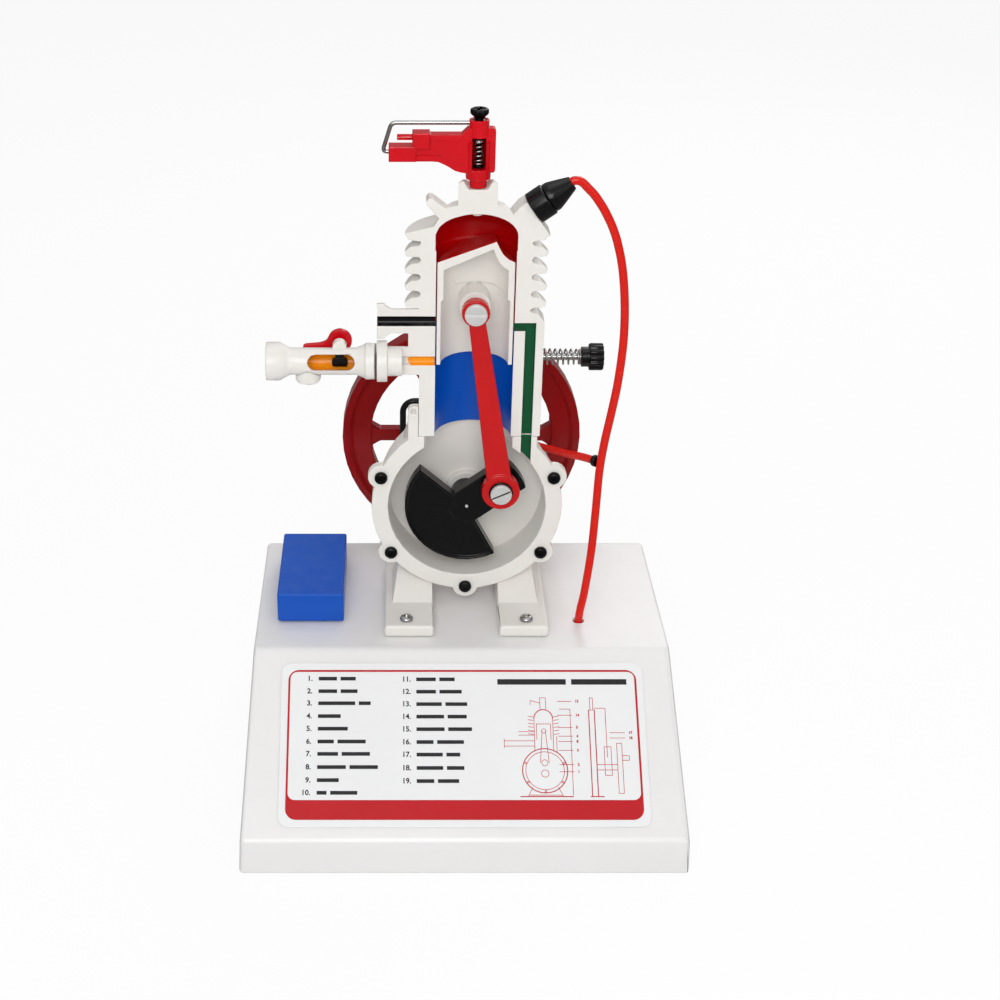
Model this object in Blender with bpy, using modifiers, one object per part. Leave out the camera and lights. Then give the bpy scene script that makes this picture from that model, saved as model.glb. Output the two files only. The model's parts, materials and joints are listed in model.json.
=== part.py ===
"""Sectioned two-stroke diesel engine on a sloped display base, a classroom demonstration model.

Metres, +X to the viewer's right, +Y away from the viewer, +Z up. The origin is the middle of the
base's underside. The engine is cut open along one upright plane, the section face. Its own frame has
its origin on the crank axis in that face, so in it y is the depth behind the face and z the height
above the crank axis.
"""
import math

import bmesh
import bpy
from mathutils import Matrix, Vector

# Clearances and counts that all pieces share
SEAT = 0.0003
RUNNING = 0.0003
OVERRUN = 0.002
MERGE = 0.00001
ROUND_STEPS = 40
MID_STEPS = 20
SMALL_STEPS = 12

# Display base
BASE_WIDTH = 0.2462
BASE_LEAN_SHARE = 0.058
DECK_DEPTH = 0.1226
SLOPE_RUN = 0.0866
SLOPE_DROP = 0.0677
SKIRT_HEIGHT = 0.0216
BASE_WALL = 0.003
BASE_EDGE = 0.0028
BOARD_THICKNESS = 0.005
BOARD_SCREW_INSET = 0.017
POST_RADIUS = 0.005
BOARD_SCREW_RADIUS = 0.0015
BOARD_SCREW_HEAD = 0.0034
BOARD_SCREW_HEAD_HEIGHT = 0.002
BOARD_SCREW_RECESS = 0.001
BOARD_SCREW_GRIP = 0.006

# Label plate on the slope
LABEL_WIDTH = 0.203
LABEL_HEIGHT = 0.0928
LABEL_THICKNESS = 0.001
LABEL_CORNER = 0.006
LABEL_FROM_DECK = 0.0089

# Fuel tank block on the deck
TANK_WIDTH = 0.0383
TANK_DEPTH = 0.0718
TANK_HEIGHT = 0.0195
TANK_EDGE = 0.0010
TANK_INSET = 0.01735
TANK_FRONT = 0.0185
TANK_FOOT_INSET = 0.002
TANK_FOOT_HEIGHT = 0.001

# Where the engine stands
ENGINE_X = 0.0032
DECK_FRONT_TO_FACE = 0.0449
CRANK_ABOVE_DECK = 0.067

# Crankcase
DRUM_BORE = 0.0450
DRUM_RADIUS = 0.0500
FLANGE_RADIUS = 0.0544
FLANGE_THICKNESS = 0.006
DRUM_DEPTH = 0.0250
BACK_WALL = 0.004
LUG_CIRCLE = 0.0525
LUG_RADIUS = 0.0074
LUG_STEP = math.radians(55.6)
LUG_COUNT = 5
LUG_STEPS = 18
NECK_LEFT = 0.0338
NECK_RIGHT = 0.0386
NECK_BORE = 0.0246
JOINT_HEIGHT = 0.04465
NECK_FLARE = 0.009
EAR_TOP = 0.0630
EAR_DEPTH = 0.0050
EAR_CORNER = 0.003
EAR_HOLE = 0.0016
BEARING_BOSS = 0.0115
BEARING_BOSS_DEPTH = 0.0045
REAR_HOUSING = 0.0120
REAR_HOUSING_LENGTH = 0.009
PAD_INNER = 0.0188
PAD_OUTER = 0.0470
PAD_FRONT = 0.0334
PAD_REAR = 0.0440
PAD_THICKNESS = 0.0075
PAD_EDGE = 0.0010
LEG_FRONT = 0.0125
LEG_REAR = 0.0300
LEG_OUTER_LOW = 0.0434
LEG_OUTER_HIGH = 0.0370
LEG_TOP = 0.0360
LEG_TOP_FRONT = 0.0215
LEG_TOP_REAR = 0.0285
FOOT_SCREW_X = 0.0344
FOOT_SCREW_FRONT = 0.0260
FOOT_SCREW_REAR = 0.0375

# Screws
CASE_SCREW_HEAD = 0.0037
CASE_SCREW_HEAD_HEIGHT = 0.0026
CASE_SCREW_SHANK = 0.0018
CASE_SCREW_TAIL = 0.0015
CASE_SCREW_SOCKET = 0.0016
FOOT_SCREW_HEAD = 0.0038
FOOT_SCREW_HEAD_HEIGHT = 0.0022
FOOT_SCREW_SHANK = 0.0020
FOOT_SCREW_SOCKET = 0.0016
FOOT_SCREW_TAIL = 0.003
SCREW_SOCKET_DEPTH = 0.0013

# Cylinder block, measured from the cylinder axis
CYLINDER_OFFSET = 0.0022
CYLINDER_BORE = 0.02125
BARREL_RADIUS = 0.0300
FIN_RADIUS = 0.0382
FIN_ROOT = 0.0297
FIN_THICKNESS = 0.0062
FIN_DROOP = 0.0010
FIN_FILLET = 0.0012
FIN_COUNT = 4
WING_TO_FIN = 0.0099
FIN_PITCH = 0.0096
BARREL_STEP = 0.0019
WING_RISE = 0.0014
WING_THICKNESS = 0.0034
SHOULDER_RISE = 0.0039
HEAD_SHOULDER_RADIUS = 0.0229
HEAD_TOP_WALL = 0.0037
HEAD_CROWN_RADIUS = 0.0163
DOME_GAP = 0.0144
DOME_HEIGHT = 0.0120
DOME_RADIUS = 0.0217
BORE_STEP = 0.0076
DOME_STEPS = 9
STUB_RADIUS = 0.0103
STUB_RISE = 0.0139
STUB_CUP_DEPTH = 0.0043
STUB_CUP = 0.0050
STUB_CUP_MOUTH = 0.0076
STUB_EDGE = 0.0012
RAY_TIP_X = 0.0262
RAY_TIP_RISE = 0.0041
RAY_WIDTH = 0.0046
RAY_DEPTH = 0.0100
RIGHT_WALL = 0.0376
RIGHT_WALL_TOP = 0.1195
RIGHT_WALL_DEPTH = 0.0130
RIGHT_WALL_CORNER = 0.0060
LEFT_WALL = 0.0360
LEFT_WALL_DEPTH = 0.0080

# Ports and channels on the section face
TRANSFER_LEFT = 0.0274
TRANSFER_RIGHT = 0.0330
TRANSFER_TOP = 0.1129
TRANSFER_PORT = 0.0045
CHANNEL_DEPTH = 0.0035
EXHAUST_HEIGHT = 0.1140
EXHAUST_PORT = 0.00265
EXHAUST_PIPE = 0.0070
EXHAUST_FLANGE = 0.0100
EXHAUST_FLANGE_THICKNESS = 0.0041
EXHAUST_END = 0.0529
EXHAUST_FILLET = 0.0035
INLET_HEIGHT = 0.0907
INLET_PORT = 0.0025
INLET_STUB = 0.0082
INLET_FLANGE = 0.0114
INLET_FLANGE_THICKNESS = 0.0057
INLET_END = 0.0531
INLET_CUT = 0.0393

# Intake tube with its choke
INTAKE_RADIUS = 0.0075
INTAKE_BORE = 0.0051
INTAKE_FLANGE = 0.0100
INTAKE_FLANGE_THICKNESS = 0.0051
GASKET_THICKNESS = 0.0006
GASKET_RADIUS = 0.0098
BELL_RADIUS = 0.0106
BELL_END = 0.1134
BELL_LIP = 0.0072
BELL_NECK = 0.0130
BELL_MOUTH = 0.0085
WINDOW_LEFT = 0.0908
WINDOW_RIGHT = 0.0650
WINDOW_HALF = 0.0044
WINDOW_TILT = math.radians(15.0)
WINDOW_FLOOR = 0.0022
INTAKE_CONE = 0.0050
CHOKE_X = 0.0734
CHOKE_RISE = 0.0082
CHOKE_BOSS = 0.0038
CHOKE_BOSS_HALF = 0.0042
CHOKE_DEPTH = 0.0016
CHOKE_PIN = 0.0016
CHOKE_STEM_HALF = 0.0024
CHOKE_LOBE_HALF = 0.0043
CHOKE_LOBE_RISE = 0.0012
CHOKE_LOBE_DROP = 0.0036
CHOKE_HALF_DEPTH = 0.0010
CHOKE_SLOT_HALF = 0.0045
CHOKE_ROOF = 0.0022
CHOKE_BLIND = 0.0008
LEVER_HEAD = 0.0066
LEVER_DEPTH = 0.0079
LEVER_THICKNESS = 0.0036
LEVER_TAIL = 0.0190
LEVER_TAIL_RADIUS = 0.0014
LEVER_TAIL_DROP = 0.0038
LEVER_SWEEP_SHARES = ((1.1, -0.02), (1.3, 0.1), (1.56, 0.2), (1.85, 0.27))
CAP_X = 0.0908
CAP_RADIUS = 0.0069
CAP_DROP = 0.0120
CAP_HEIGHT = 0.0083
CAP_EDGE = 0.0018

# Piston and connecting rod
WRIST_HEIGHT = 0.1216
PISTON_RADIUS = 0.0207
PISTON_WALL = 0.0034
SKIRT_WALL = 0.0022
SKIRT_DROP = 0.0332
CROWN_EDGE_RISE = 0.0260
CROWN_RISE = 0.0116
CROWN_CLEARANCE = 0.0008
CROWN_PEAK_X = 0.0106
CROWN_WALL = 0.0046
ARCH_RISE = 0.0084
ARCH_CORNER = 0.0070
PIN_BOSS = 0.0085
PIN_BOSS_FRONT = 0.0012
CRANK_PIN_X = 0.0186
CRANK_PIN_HEIGHT = 0.0139
ROD_FRONT = 0.0088
ROD_BACK = 0.0030
BLADE_FRONT = 0.0076
BLADE_BACK = 0.0040
SMALL_END = 0.0076
BIG_END = 0.0107
BLADE_TOP_HALF = 0.0044
BLADE_LOW_HALF = 0.0072
PIN_HEAD_HEIGHT = 0.0022
WRIST_HEAD = 0.0061
WRIST_SHANK = 0.0030
WRIST_COLLAR = 0.0046
WRIST_GRIP = 0.0080
CRANK_HEAD = 0.0060
CRANK_SHANK = 0.0036
BUSH_WALL = 0.0010
BUSH_FLANGE = 0.0068
BUSH_FLANGE_THICKNESS = 0.0010
SLOT_WIDTH = 0.0010
SLOT_DEPTH = 0.0009
CRANK_SLOT_TURN = math.radians(25.0)

# Crank web, shaft and flywheel
WEB_FRONT = 0.0010
WEB_THICKNESS = 0.0080
WEB_RADIUS = 0.0355
WEB_RIM = 0.0016
WEB_RECESS = 0.0016
WEB_HUB = 0.0069
WEB_COLLAR = 0.0085
WEB_ARM_HALF = 0.0104
SECTOR_START = math.radians(139.0)
SECTOR_END = math.radians(298.0)
SHAFT_RADIUS = 0.0040
SHAFT_NOSE = 0.0030
CENTRE_DOT = 0.0010
CENTRE_DOT_DEPTH = 0.0010
FLYWHEEL_FRONT = 0.0905
FLYWHEEL_RADIUS = 0.0735
FLYWHEEL_INNER = 0.0560
FLYWHEEL_WIDTH = 0.0130
FLYWHEEL_LIP = 0.0045
FLYWHEEL_RECESS = 0.0016
HUB_RADIUS = 0.0130
HUB_FRONT = 0.0840
SPOKE_COUNT = 6
SPOKE_HALF = 0.0040
SPOKE_HALF_DEPTH = 0.0035
SPOKE_FLARE = 0.0030
SHAFT_TAIL = 0.0100
NUT_RADIUS = 0.0070
NUT_THICKNESS = 0.0055
HANDLE_CIRCLE = 0.0420
HANDLE_TURN = math.radians(60.0)
HANDLE_BOSS = 0.0065
HANDLE_BOLT = 0.0022
HANDLE_BOLT_HEAD = 0.0042
HANDLE_BOLT_HEAD_HEIGHT = 0.0022
HANDLE_LENGTH = 0.0300
HANDLE_RADIUS = 0.0062
HANDLE_WAIST = 0.0050

# Fuel pump behind the crankcase
PUMP_Y = 0.0500
CAM_RADIUS = 0.0095
CAM_THROW = 0.0025
CAM_HALF = 0.0030
HOUSING_RADIUS = 0.0170
HOUSING_WALL = 0.0030
HOUSING_FRONT = 0.0383
HOUSING_REAR = 0.0620
COVER_THICKNESS = 0.0035
COVER_BOSS = 0.0085
COVER_BOSS_END = 0.0800
PUMP_BARREL = 0.0078
PUMP_CHAMBER = 0.0060
PUMP_CHAMBER_TOP = 0.0420
PUMP_TOP = 0.0600
PLUNGER_RADIUS = 0.0030
PLUNGER_FOOT = 0.0054
PLUNGER_FOOT_HEIGHT = 0.0025
PLUNGER_TOP = 0.0560
PUMP_SPRING_RADIUS = 0.0044
PUMP_SPRING_WIRE = 0.0005
PUMP_SPRING_TURNS = 8
PUMP_HEAD_LEFT = 0.0110
PUMP_HEAD_RIGHT = 0.0140
PUMP_HEAD_HALF = 0.0100
PUMP_HEAD_HEIGHT = 0.0210
PUMP_HEAD_EDGE = 0.0012
GOVERNOR_SLEEVE = 0.0062
GOVERNOR_SLEEVE_END = 0.0340
VALVE_RADIUS = 0.0058
VALVE_HEIGHT = 0.0090
VALVE_SPIGOT = 0.0028
VALVE_SPIGOT_LENGTH = 0.0050
UNION_RADIUS = 0.0036
UNION_HEIGHT = 0.0210
UNION_END = 0.0190
SUCTION_RADIUS = 0.00185
SUCTION_HEIGHT = 0.0434
SUCTION_X = 0.0363
SUCTION_BEND = 0.0070

# Governor spindle
GOVERNOR_HEIGHT = 0.0717
SPINDLE_RADIUS = 0.0020
SPINDLE_SLOT = 0.0120
SPRING_WIRE = 0.00055
SPRING_START_RADIUS = 0.0047
SPRING_END_RADIUS = 0.0040
SPRING_TURNS = 12
SPRING_END = 0.0657
KNOB_COLLAR = 0.0058
KNOB_COLLAR_LENGTH = 0.0045
KNOB_RADIUS = 0.0079
KNOB_LENGTH = 0.0081
KNOB_RIBS = 12
KNOB_RIB_DEPTH = 0.0009

# Injector on the slanted seat of the head
INJECTOR_TILT = math.radians(35.5)
INJECTOR_X = 0.0294
INJECTOR_RISE = 0.0081
INJECTOR_Y = 0.0050
INJECTOR_COLLAR = 0.00875
INJECTOR_COLLAR_LENGTH = 0.0100
INJECTOR_CONE = 0.0080
INJECTOR_TIP = 0.0037
INJECTOR_CONE_LENGTH = 0.0140
INJECTOR_SPIGOT = 0.0035
INJECTOR_SPIGOT_LENGTH = 0.0090
SEAT_HALF_LENGTH = 0.0124
SEAT_DEPTH = 0.0148
SEAT_BACK = 0.0260

# Injection nozzle on the cup of the head
NOZZLE_Y = 0.0050
NOZZLE_STEM = 0.0045
NOZZLE_TIP = 0.0022
NOZZLE_TIP_LENGTH = 0.0090
NOZZLE_GAP = 0.0005
NOZZLE_COLLAR = 0.0065
NOZZLE_COLLAR_HEIGHT = 0.0053
NOZZLE_BODY_HEIGHT = 0.0167
NOZZLE_BODY_HALF = 0.0062
NOZZLE_NECK_HEIGHT = 0.0090
NOZZLE_NECK = 0.0052
NOZZLE_BORE = 0.0035
NOZZLE_WINDOW_HALF = 0.0036
LOBE_X = 0.0086
LOBE_DROP = 0.0016
LOBE_RISE = 0.0049
LOBE_HALF_DEPTH = 0.0030
ARM_HALF_DEPTH = 0.0032
ARM_RIB_HALF = 0.0040
ARM_RIB_UPPER = 0.0024
ARM_RIB_LOWER = 0.0030
ARM_TOP_DROP = 0.0010
ARM_RAMP_LOW = 0.0090
ARM_RAMP_HIGH = 0.0056
ARM_RAMP_RISE = 0.0050
ARM_SWEEP_SHARES = ((1.52, 0.95), (1.97, 0.81), (2.65, 0.39), (3.35, 0.06))
ARM_END = 0.0343
ARM_UPPER_START = 0.0252
ARM_UPPER_RISE = 0.0067
ARM_UPPER_HEIGHT = 0.0083
ARM_LOWER_END = 0.0465
ARM_LOWER_RISE = 0.0044
ARM_LOWER_HEIGHT = 0.0080
ARM_PIN_END = 0.0422
ARM_PIN_RADIUS = 0.0016
ARM_PIN_RISE = 0.0040
BLOCK_HALF_DEPTH = 0.0044
WIRE_RADIUS = 0.0011
WIRE_DEPTH = 0.0018
WIRE_LEFT = 0.0450
WIRE_FOOT_X = 0.0497
WIRE_FOOT_RISE = 0.0044
WIRE_BEND = 0.0022
WIRE_GRIP = 0.0026
NOZZLE_SPRING_RADIUS = 0.0026
NOZZLE_SPRING_WIRE = 0.0005
NOZZLE_SPRING_TURNS = 7
NEEDLE_RADIUS = 0.0012
NEEDLE_COLLAR = 0.0030
NEEDLE_COLLAR_HEIGHT = 0.0014
NEEDLE_LIFT = 0.0010
ADJUSTER_HEAD = 0.0048
ADJUSTER_HEAD_HEIGHT = 0.0046
ADJUSTER_NECK = 0.0022
ADJUSTER_SHANK = 0.0031

# Fuel hoses
HOSE_RADIUS = 0.0023
HOSE_HOLE_CLEARANCE = 0.0008
HOSE_SPACING = 0.0090
BAND_RADIUS = 0.0034
BAND_LENGTH = 0.0030
DELIVERY_ROUTE = (
    (0.0562, 0.0048, 0.1896), (0.0627, 0.0045, 0.1837), (0.0688, 0.0042, 0.1750),
    (0.0748, 0.0038, 0.1630), (0.0797, 0.0032, 0.1458), (0.0825, 0.0026, 0.1248),
    (0.0833, 0.0019, 0.1023), (0.0818, 0.0012, 0.0788), (0.0794, 0.0007, 0.0608),
    (0.0765, 0.0001, 0.0425), (0.0743, -0.0018, 0.0246), (0.0731, -0.0052, 0.0008),
    (0.0716, -0.0088, -0.0235), (0.0687, -0.0125, -0.0482), (0.0664, -0.0145, -0.0610),
    (0.0657, -0.0149, -0.0690), (0.0655, -0.0150, -0.0790),
)
BRANCH_ROUTE = (
    (0.0222, 0.0500, 0.0210), (0.0290, 0.0500, 0.0200), (0.0370, 0.0480, 0.0180),
    (0.0435, 0.0445, 0.0168), (0.0499, 0.0380, 0.0180), (0.0558, 0.0300, 0.0200),
    (0.0594, 0.0222, 0.0226), (0.0636, 0.0148, 0.0252), (0.0676, 0.0089, 0.0270),
    (0.0714, 0.0036, 0.0281),
)

# Places worked out from the sizes above
BASE_DEPTH = DECK_DEPTH + SLOPE_RUN
DECK_HEIGHT = SKIRT_HEIGHT + SLOPE_DROP
FACE_Y = SLOPE_RUN + DECK_FRONT_TO_FACE - BASE_DEPTH / 2
CRANK_HEIGHT = DECK_HEIGHT + CRANK_ABOVE_DECK
PAD_TOP = PAD_THICKNESS - CRANK_ABOVE_DECK
WALL_INNER = DRUM_DEPTH
WALL_OUTER = DRUM_DEPTH + BACK_WALL
BOSS_FRONT = DRUM_DEPTH - BEARING_BOSS_DEPTH
BLOCK_LOW = JOINT_HEIGHT + SEAT
WRIST_X = CYLINDER_OFFSET
TANK_X = TANK_INSET + TANK_WIDTH / 2 - BASE_WIDTH / 2

# Heights of the piston, from its wrist pin, and its way up to the top of the stroke
SKIRT_LOW = WRIST_HEIGHT - SKIRT_DROP
SKIRT_ARCH = WRIST_HEIGHT + ARCH_RISE
CROWN_EDGE = WRIST_HEIGHT + CROWN_EDGE_RISE
CROWN_PEAK = CROWN_EDGE + CROWN_RISE
CRANK_THROW = math.hypot(CRANK_PIN_X, CRANK_PIN_HEIGHT)
ROD_LENGTH = math.hypot(CRANK_PIN_X - WRIST_X, WRIST_HEIGHT - CRANK_PIN_HEIGHT)
TOP_TRAVEL = math.sqrt((CRANK_THROW + ROD_LENGTH) ** 2 - WRIST_X ** 2) - WRIST_HEIGHT

# Heights of the head over the piston's crown, and of the fins below the head
DOME_SPRING = CROWN_EDGE + DOME_GAP
DOME_TOP = DOME_SPRING + DOME_HEIGHT
HEAD_WING = DOME_SPRING + WING_RISE
HEAD_SHOULDER = HEAD_WING + SHOULDER_RISE
HEAD_CROWN = DOME_TOP + HEAD_TOP_WALL
STUB_TOP = HEAD_CROWN + STUB_RISE
STUB_FLOOR = STUB_TOP - STUB_CUP_DEPTH
RAY_TIP_HEIGHT = HEAD_CROWN + RAY_TIP_RISE
INJECTOR_HEIGHT = HEAD_SHOULDER + INJECTOR_RISE
FIN_FIRST = HEAD_WING - WING_TO_FIN - FIN_PITCH * (FIN_COUNT - 1)
BARREL_TOP = FIN_FIRST - FIN_THICKNESS / 2 - BARREL_STEP

# Heights of the injection nozzle, from the head's stub
NOZZLE_COLLAR_LOW = STUB_TOP + NOZZLE_GAP
NOZZLE_BODY_LOW = NOZZLE_COLLAR_LOW + NOZZLE_COLLAR_HEIGHT
NOZZLE_BODY_TOP = NOZZLE_BODY_LOW + NOZZLE_BODY_HEIGHT
NOZZLE_TOP = NOZZLE_BODY_TOP + NOZZLE_NECK_HEIGHT
LOBE_LOW = NOZZLE_BODY_LOW - LOBE_DROP
LOBE_TOP = NOZZLE_BODY_TOP + LOBE_RISE
ARM_LOWER_LOW = NOZZLE_BODY_LOW + ARM_LOWER_RISE
ARM_LOWER_TOP = ARM_LOWER_LOW + ARM_LOWER_HEIGHT
ARM_UPPER_LOW = ARM_LOWER_LOW + ARM_UPPER_RISE
ARM_UPPER_TOP = ARM_UPPER_LOW + ARM_UPPER_HEIGHT
ARM_PIN_HEIGHT = ARM_LOWER_TOP + ARM_PIN_RISE
WIRE_HEIGHT = NOZZLE_TOP - WIRE_DEPTH
WIRE_FOOT_HEIGHT = ARM_LOWER_LOW + WIRE_FOOT_RISE

# Places along the shaft and the intake, and turned frames
FLYWHEEL_REAR = FLYWHEEL_FRONT + FLYWHEEL_WIDTH
GASKET_END = INLET_END + SEAT + GASKET_THICKNESS
CHOKE_HEIGHT = INLET_HEIGHT + CHOKE_RISE
CHOKE_LOBE_TOP = INLET_HEIGHT + CHOKE_LOBE_RISE
CHOKE_LOBE_LOW = INLET_HEIGHT - CHOKE_LOBE_DROP
CAP_LOW = INLET_HEIGHT - CAP_DROP
CAP_TOP = CAP_LOW + CAP_HEIGHT
INTAKE_START = GASKET_END + SEAT
SPRING_START = GOVERNOR_SLEEVE_END + SEAT + SPRING_WIRE

UP_X = Matrix.Rotation(math.radians(90.0), 4, "Y")
UP_Y = Matrix.Rotation(math.radians(-90.0), 4, "X")
FACE_PLANE = Matrix.Rotation(math.radians(90.0), 4, "X")
SIDE_PLANE = Matrix(((0, 0, 1, 0), (1, 0, 0, 0), (0, 1, 0, 0), (0, 0, 0, 1)))


def clear_scene():
    """Remove every object that the file holds."""
    for old in list(bpy.data.objects):
        bpy.data.objects.remove(old, do_unlink=True)


def new_collection(name):
    """Make a collection under the scene's own."""
    group = bpy.data.collections.new(name)
    bpy.context.scene.collection.children.link(group)
    return group


clear_scene()
MODEL = new_collection("two_stroke_engine_model")
CUTTERS = new_collection("cutters_and_guides")


def frame_empty(name, place):
    """Make an empty that carries the pieces placed from it."""
    empty = bpy.data.objects.new(name, None)
    MODEL.objects.link(empty)
    empty.location = place
    return empty


ENGINE = frame_empty("engine_frame", (ENGINE_X, FACE_Y, CRANK_HEIGHT))


def make_material(name, colour, roughness, metallic=0.0):
    """Make a Principled material from a colour, a roughness and a metallic value."""
    material = bpy.data.materials.new(name)
    material.use_nodes = True
    shader = material.node_tree.nodes["Principled BSDF"]
    shader.inputs["Base Color"].default_value = (*colour, 1.0)
    shader.inputs["Roughness"].default_value = roughness
    shader.inputs["Metallic"].default_value = metallic
    material.diffuse_color = (*colour, 1.0)
    return material


WHITE_PAINT = make_material("white_cast_paint", (0.83, 0.81, 0.78), 0.35)
WHITE_SHELL = make_material("white_moulded_shell", (0.86, 0.86, 0.86), 0.30)
BOARD_BROWN = make_material("pressed_board", (0.30, 0.20, 0.12), 0.80)
LABEL_WHITE = make_material("printed_label", (0.88, 0.88, 0.88), 0.30)
TANK_BLUE = make_material("blue_paint", (0.02, 0.12, 0.60), 0.40)
RED_PAINT = make_material("red_paint", (0.52, 0.01, 0.01), 0.30)
RED_PLASTIC = make_material("red_plastic", (0.60, 0.01, 0.02), 0.30)
BLACK_PLASTIC = make_material("black_plastic", (0.01, 0.01, 0.01), 0.35)
STEEL = make_material("bright_steel", (0.60, 0.60, 0.60), 0.25, 1.0)
DARK_STEEL = make_material("black_steel", (0.03, 0.03, 0.03), 0.35, 1.0)
HOSE_RED = make_material("red_hose", (0.70, 0.02, 0.01), 0.35)
GASKET_GREY = make_material("gasket_sheet", (0.08, 0.08, 0.08), 0.80)


def add_object(name, mesh, collection, parent):
    """Put a mesh into a collection as an object that a frame carries."""
    thing = bpy.data.objects.new(name, mesh)
    collection.objects.link(thing)
    thing.parent = parent
    if collection is CUTTERS:
        thing.hide_render = True
        thing.display_type = "WIRE"
    return thing


def from_bmesh(name, bm, place, collection, parent):
    """Turn a bmesh into an object after moving it by a matrix."""
    bmesh.ops.transform(bm, matrix=place, verts=bm.verts)
    mesh = bpy.data.meshes.new(name)
    bm.to_mesh(mesh)
    bm.free()
    return add_object(name, mesh, collection, parent)


def box(name, low, high, collection=CUTTERS, parent=ENGINE):
    """Make a box between two opposite corners."""
    bm = bmesh.new()
    bmesh.ops.create_cube(bm, size=1.0)
    size = Vector(high) - Vector(low)
    middle = (Vector(high) + Vector(low)) / 2
    bmesh.ops.scale(bm, vec=size, verts=bm.verts)
    return from_bmesh(name, bm, Matrix.Translation(middle), collection, parent)


def cylinder(name, radius, start, end, steps=MID_STEPS, collection=CUTTERS, parent=ENGINE,
             end_radius=None):
    """Make a cylinder or a cone between two points on its axis."""
    bm = bmesh.new()
    start = Vector(start)
    end = Vector(end)
    run = end - start
    tip = radius if end_radius is None else end_radius
    bmesh.ops.create_cone(bm, cap_ends=True, segments=steps, radius1=radius, radius2=tip,
                          depth=run.length)
    turn = Vector((0, 0, 1)).rotation_difference(run).to_matrix().to_4x4()
    place = Matrix.Translation((start + end) / 2) @ turn
    return from_bmesh(name, bm, place, collection, parent)


def evaluated_mesh(thing):
    """Return a welded copy of an object's evaluated mesh, and remove the object."""
    graph = bpy.context.evaluated_depsgraph_get()
    mesh = bpy.data.meshes.new_from_object(thing.evaluated_get(graph))
    bm = bmesh.new()
    bm.from_mesh(mesh)
    bmesh.ops.remove_doubles(bm, verts=bm.verts, dist=MERGE)
    bm.to_mesh(mesh)
    bm.free()
    bpy.data.objects.remove(thing, do_unlink=True)
    return mesh


def flat_outline(name, loops, thickness):
    """Make a filled flat outline of a thickness, with any inner loops as holes."""
    curve = bpy.data.curves.new(name, "CURVE")
    curve.dimensions = "2D"
    curve.fill_mode = "BOTH"
    curve.extrude = thickness / 2
    for points in loops:
        spline = curve.splines.new("POLY")
        spline.points.add(len(points) - 1)
        for slot, (u, v) in zip(spline.points, points):
            slot.co = (u, v, 0, 1)
        spline.use_cyclic_u = True
    guide = bpy.data.objects.new(name, curve)
    CUTTERS.objects.link(guide)
    return evaluated_mesh(guide)


def plate(name, loops, front, back, collection=CUTTERS, parent=ENGINE):
    """Make a plate from outlines of x and z, between two depths."""
    mesh = flat_outline(name, loops, back - front)
    mesh.transform(Matrix.Translation((0, (front + back) / 2, 0)) @ FACE_PLANE)
    return add_object(name, mesh, collection, parent)


def side_plate(name, loops, left, right, collection=CUTTERS, parent=ENGINE):
    """Make a plate from outlines of y and z, between two places along x."""
    mesh = flat_outline(name, loops, right - left)
    mesh.transform(Matrix.Translation(((left + right) / 2, 0, 0)) @ SIDE_PLANE)
    return add_object(name, mesh, collection, parent)


def turned(name, profile, steps=MID_STEPS, collection=CUTTERS, parent=ENGINE, closed=False):
    """Turn a profile of radius and height, from top to bottom of its outer side, about Z."""
    bm = bmesh.new()
    points = [bm.verts.new((radius, 0, height)) for radius, height in profile]
    for first, second in zip(points, points[1:]):
        bm.edges.new((first, second))
    if closed:
        bm.edges.new((points[-1], points[0]))
    thing = from_bmesh(name, bm, Matrix.Identity(4), collection, parent)
    screw = thing.modifiers.new("turn", "SCREW")
    screw.steps = steps
    screw.render_steps = steps
    screw.use_merge_vertices = True
    screw.merge_threshold = MERGE
    return thing


def smooth_route(points, spacing):
    """Return points at an even spacing on a smooth curve through the given ones."""
    nodes = [Vector(point) for point in points]
    padded = [nodes[0] * 2 - nodes[1]] + nodes + [nodes[-1] * 2 - nodes[-2]]
    fine = []
    for a, b, c, d in zip(padded, padded[1:], padded[2:], padded[3:]):
        for step in range(MID_STEPS):
            t = step / MID_STEPS
            fine.append(((b * 2) + (c - a) * t + (a * 2 - b * 5 + c * 4 - d) * t ** 2
                         + (b * 3 - a - c * 3 + d) * t ** 3) / 2)
    fine.append(nodes[-1])
    lengths = [0.0]
    for first, second in zip(fine, fine[1:]):
        lengths.append(lengths[-1] + (second - first).length)
    count = max(2, round(lengths[-1] / spacing))
    result = []
    place = 0
    for index in range(count + 1):
        target = lengths[-1] * index / count
        while place < len(fine) - 2 and lengths[place + 1] < target:
            place += 1
        share = (target - lengths[place]) / (lengths[place + 1] - lengths[place])
        result.append(fine[place].lerp(fine[place + 1], share))
    return result, lengths[-1]


def tube(name, points, radius, resolution=2, collection=MODEL, parent=ENGINE):
    """Make a round wire, pipe or hose along points."""
    curve = bpy.data.curves.new(name, "CURVE")
    curve.dimensions = "3D"
    curve.bevel_depth = radius
    curve.bevel_resolution = resolution
    curve.use_fill_caps = True
    spline = curve.splines.new("POLY")
    spline.points.add(len(points) - 1)
    for slot, point in zip(spline.points, points):
        slot.co = (*point, 1)
    thing = bpy.data.objects.new(name, curve)
    CUTTERS.objects.link(thing)
    return add_object(name, evaluated_mesh(thing), collection, parent)


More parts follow.
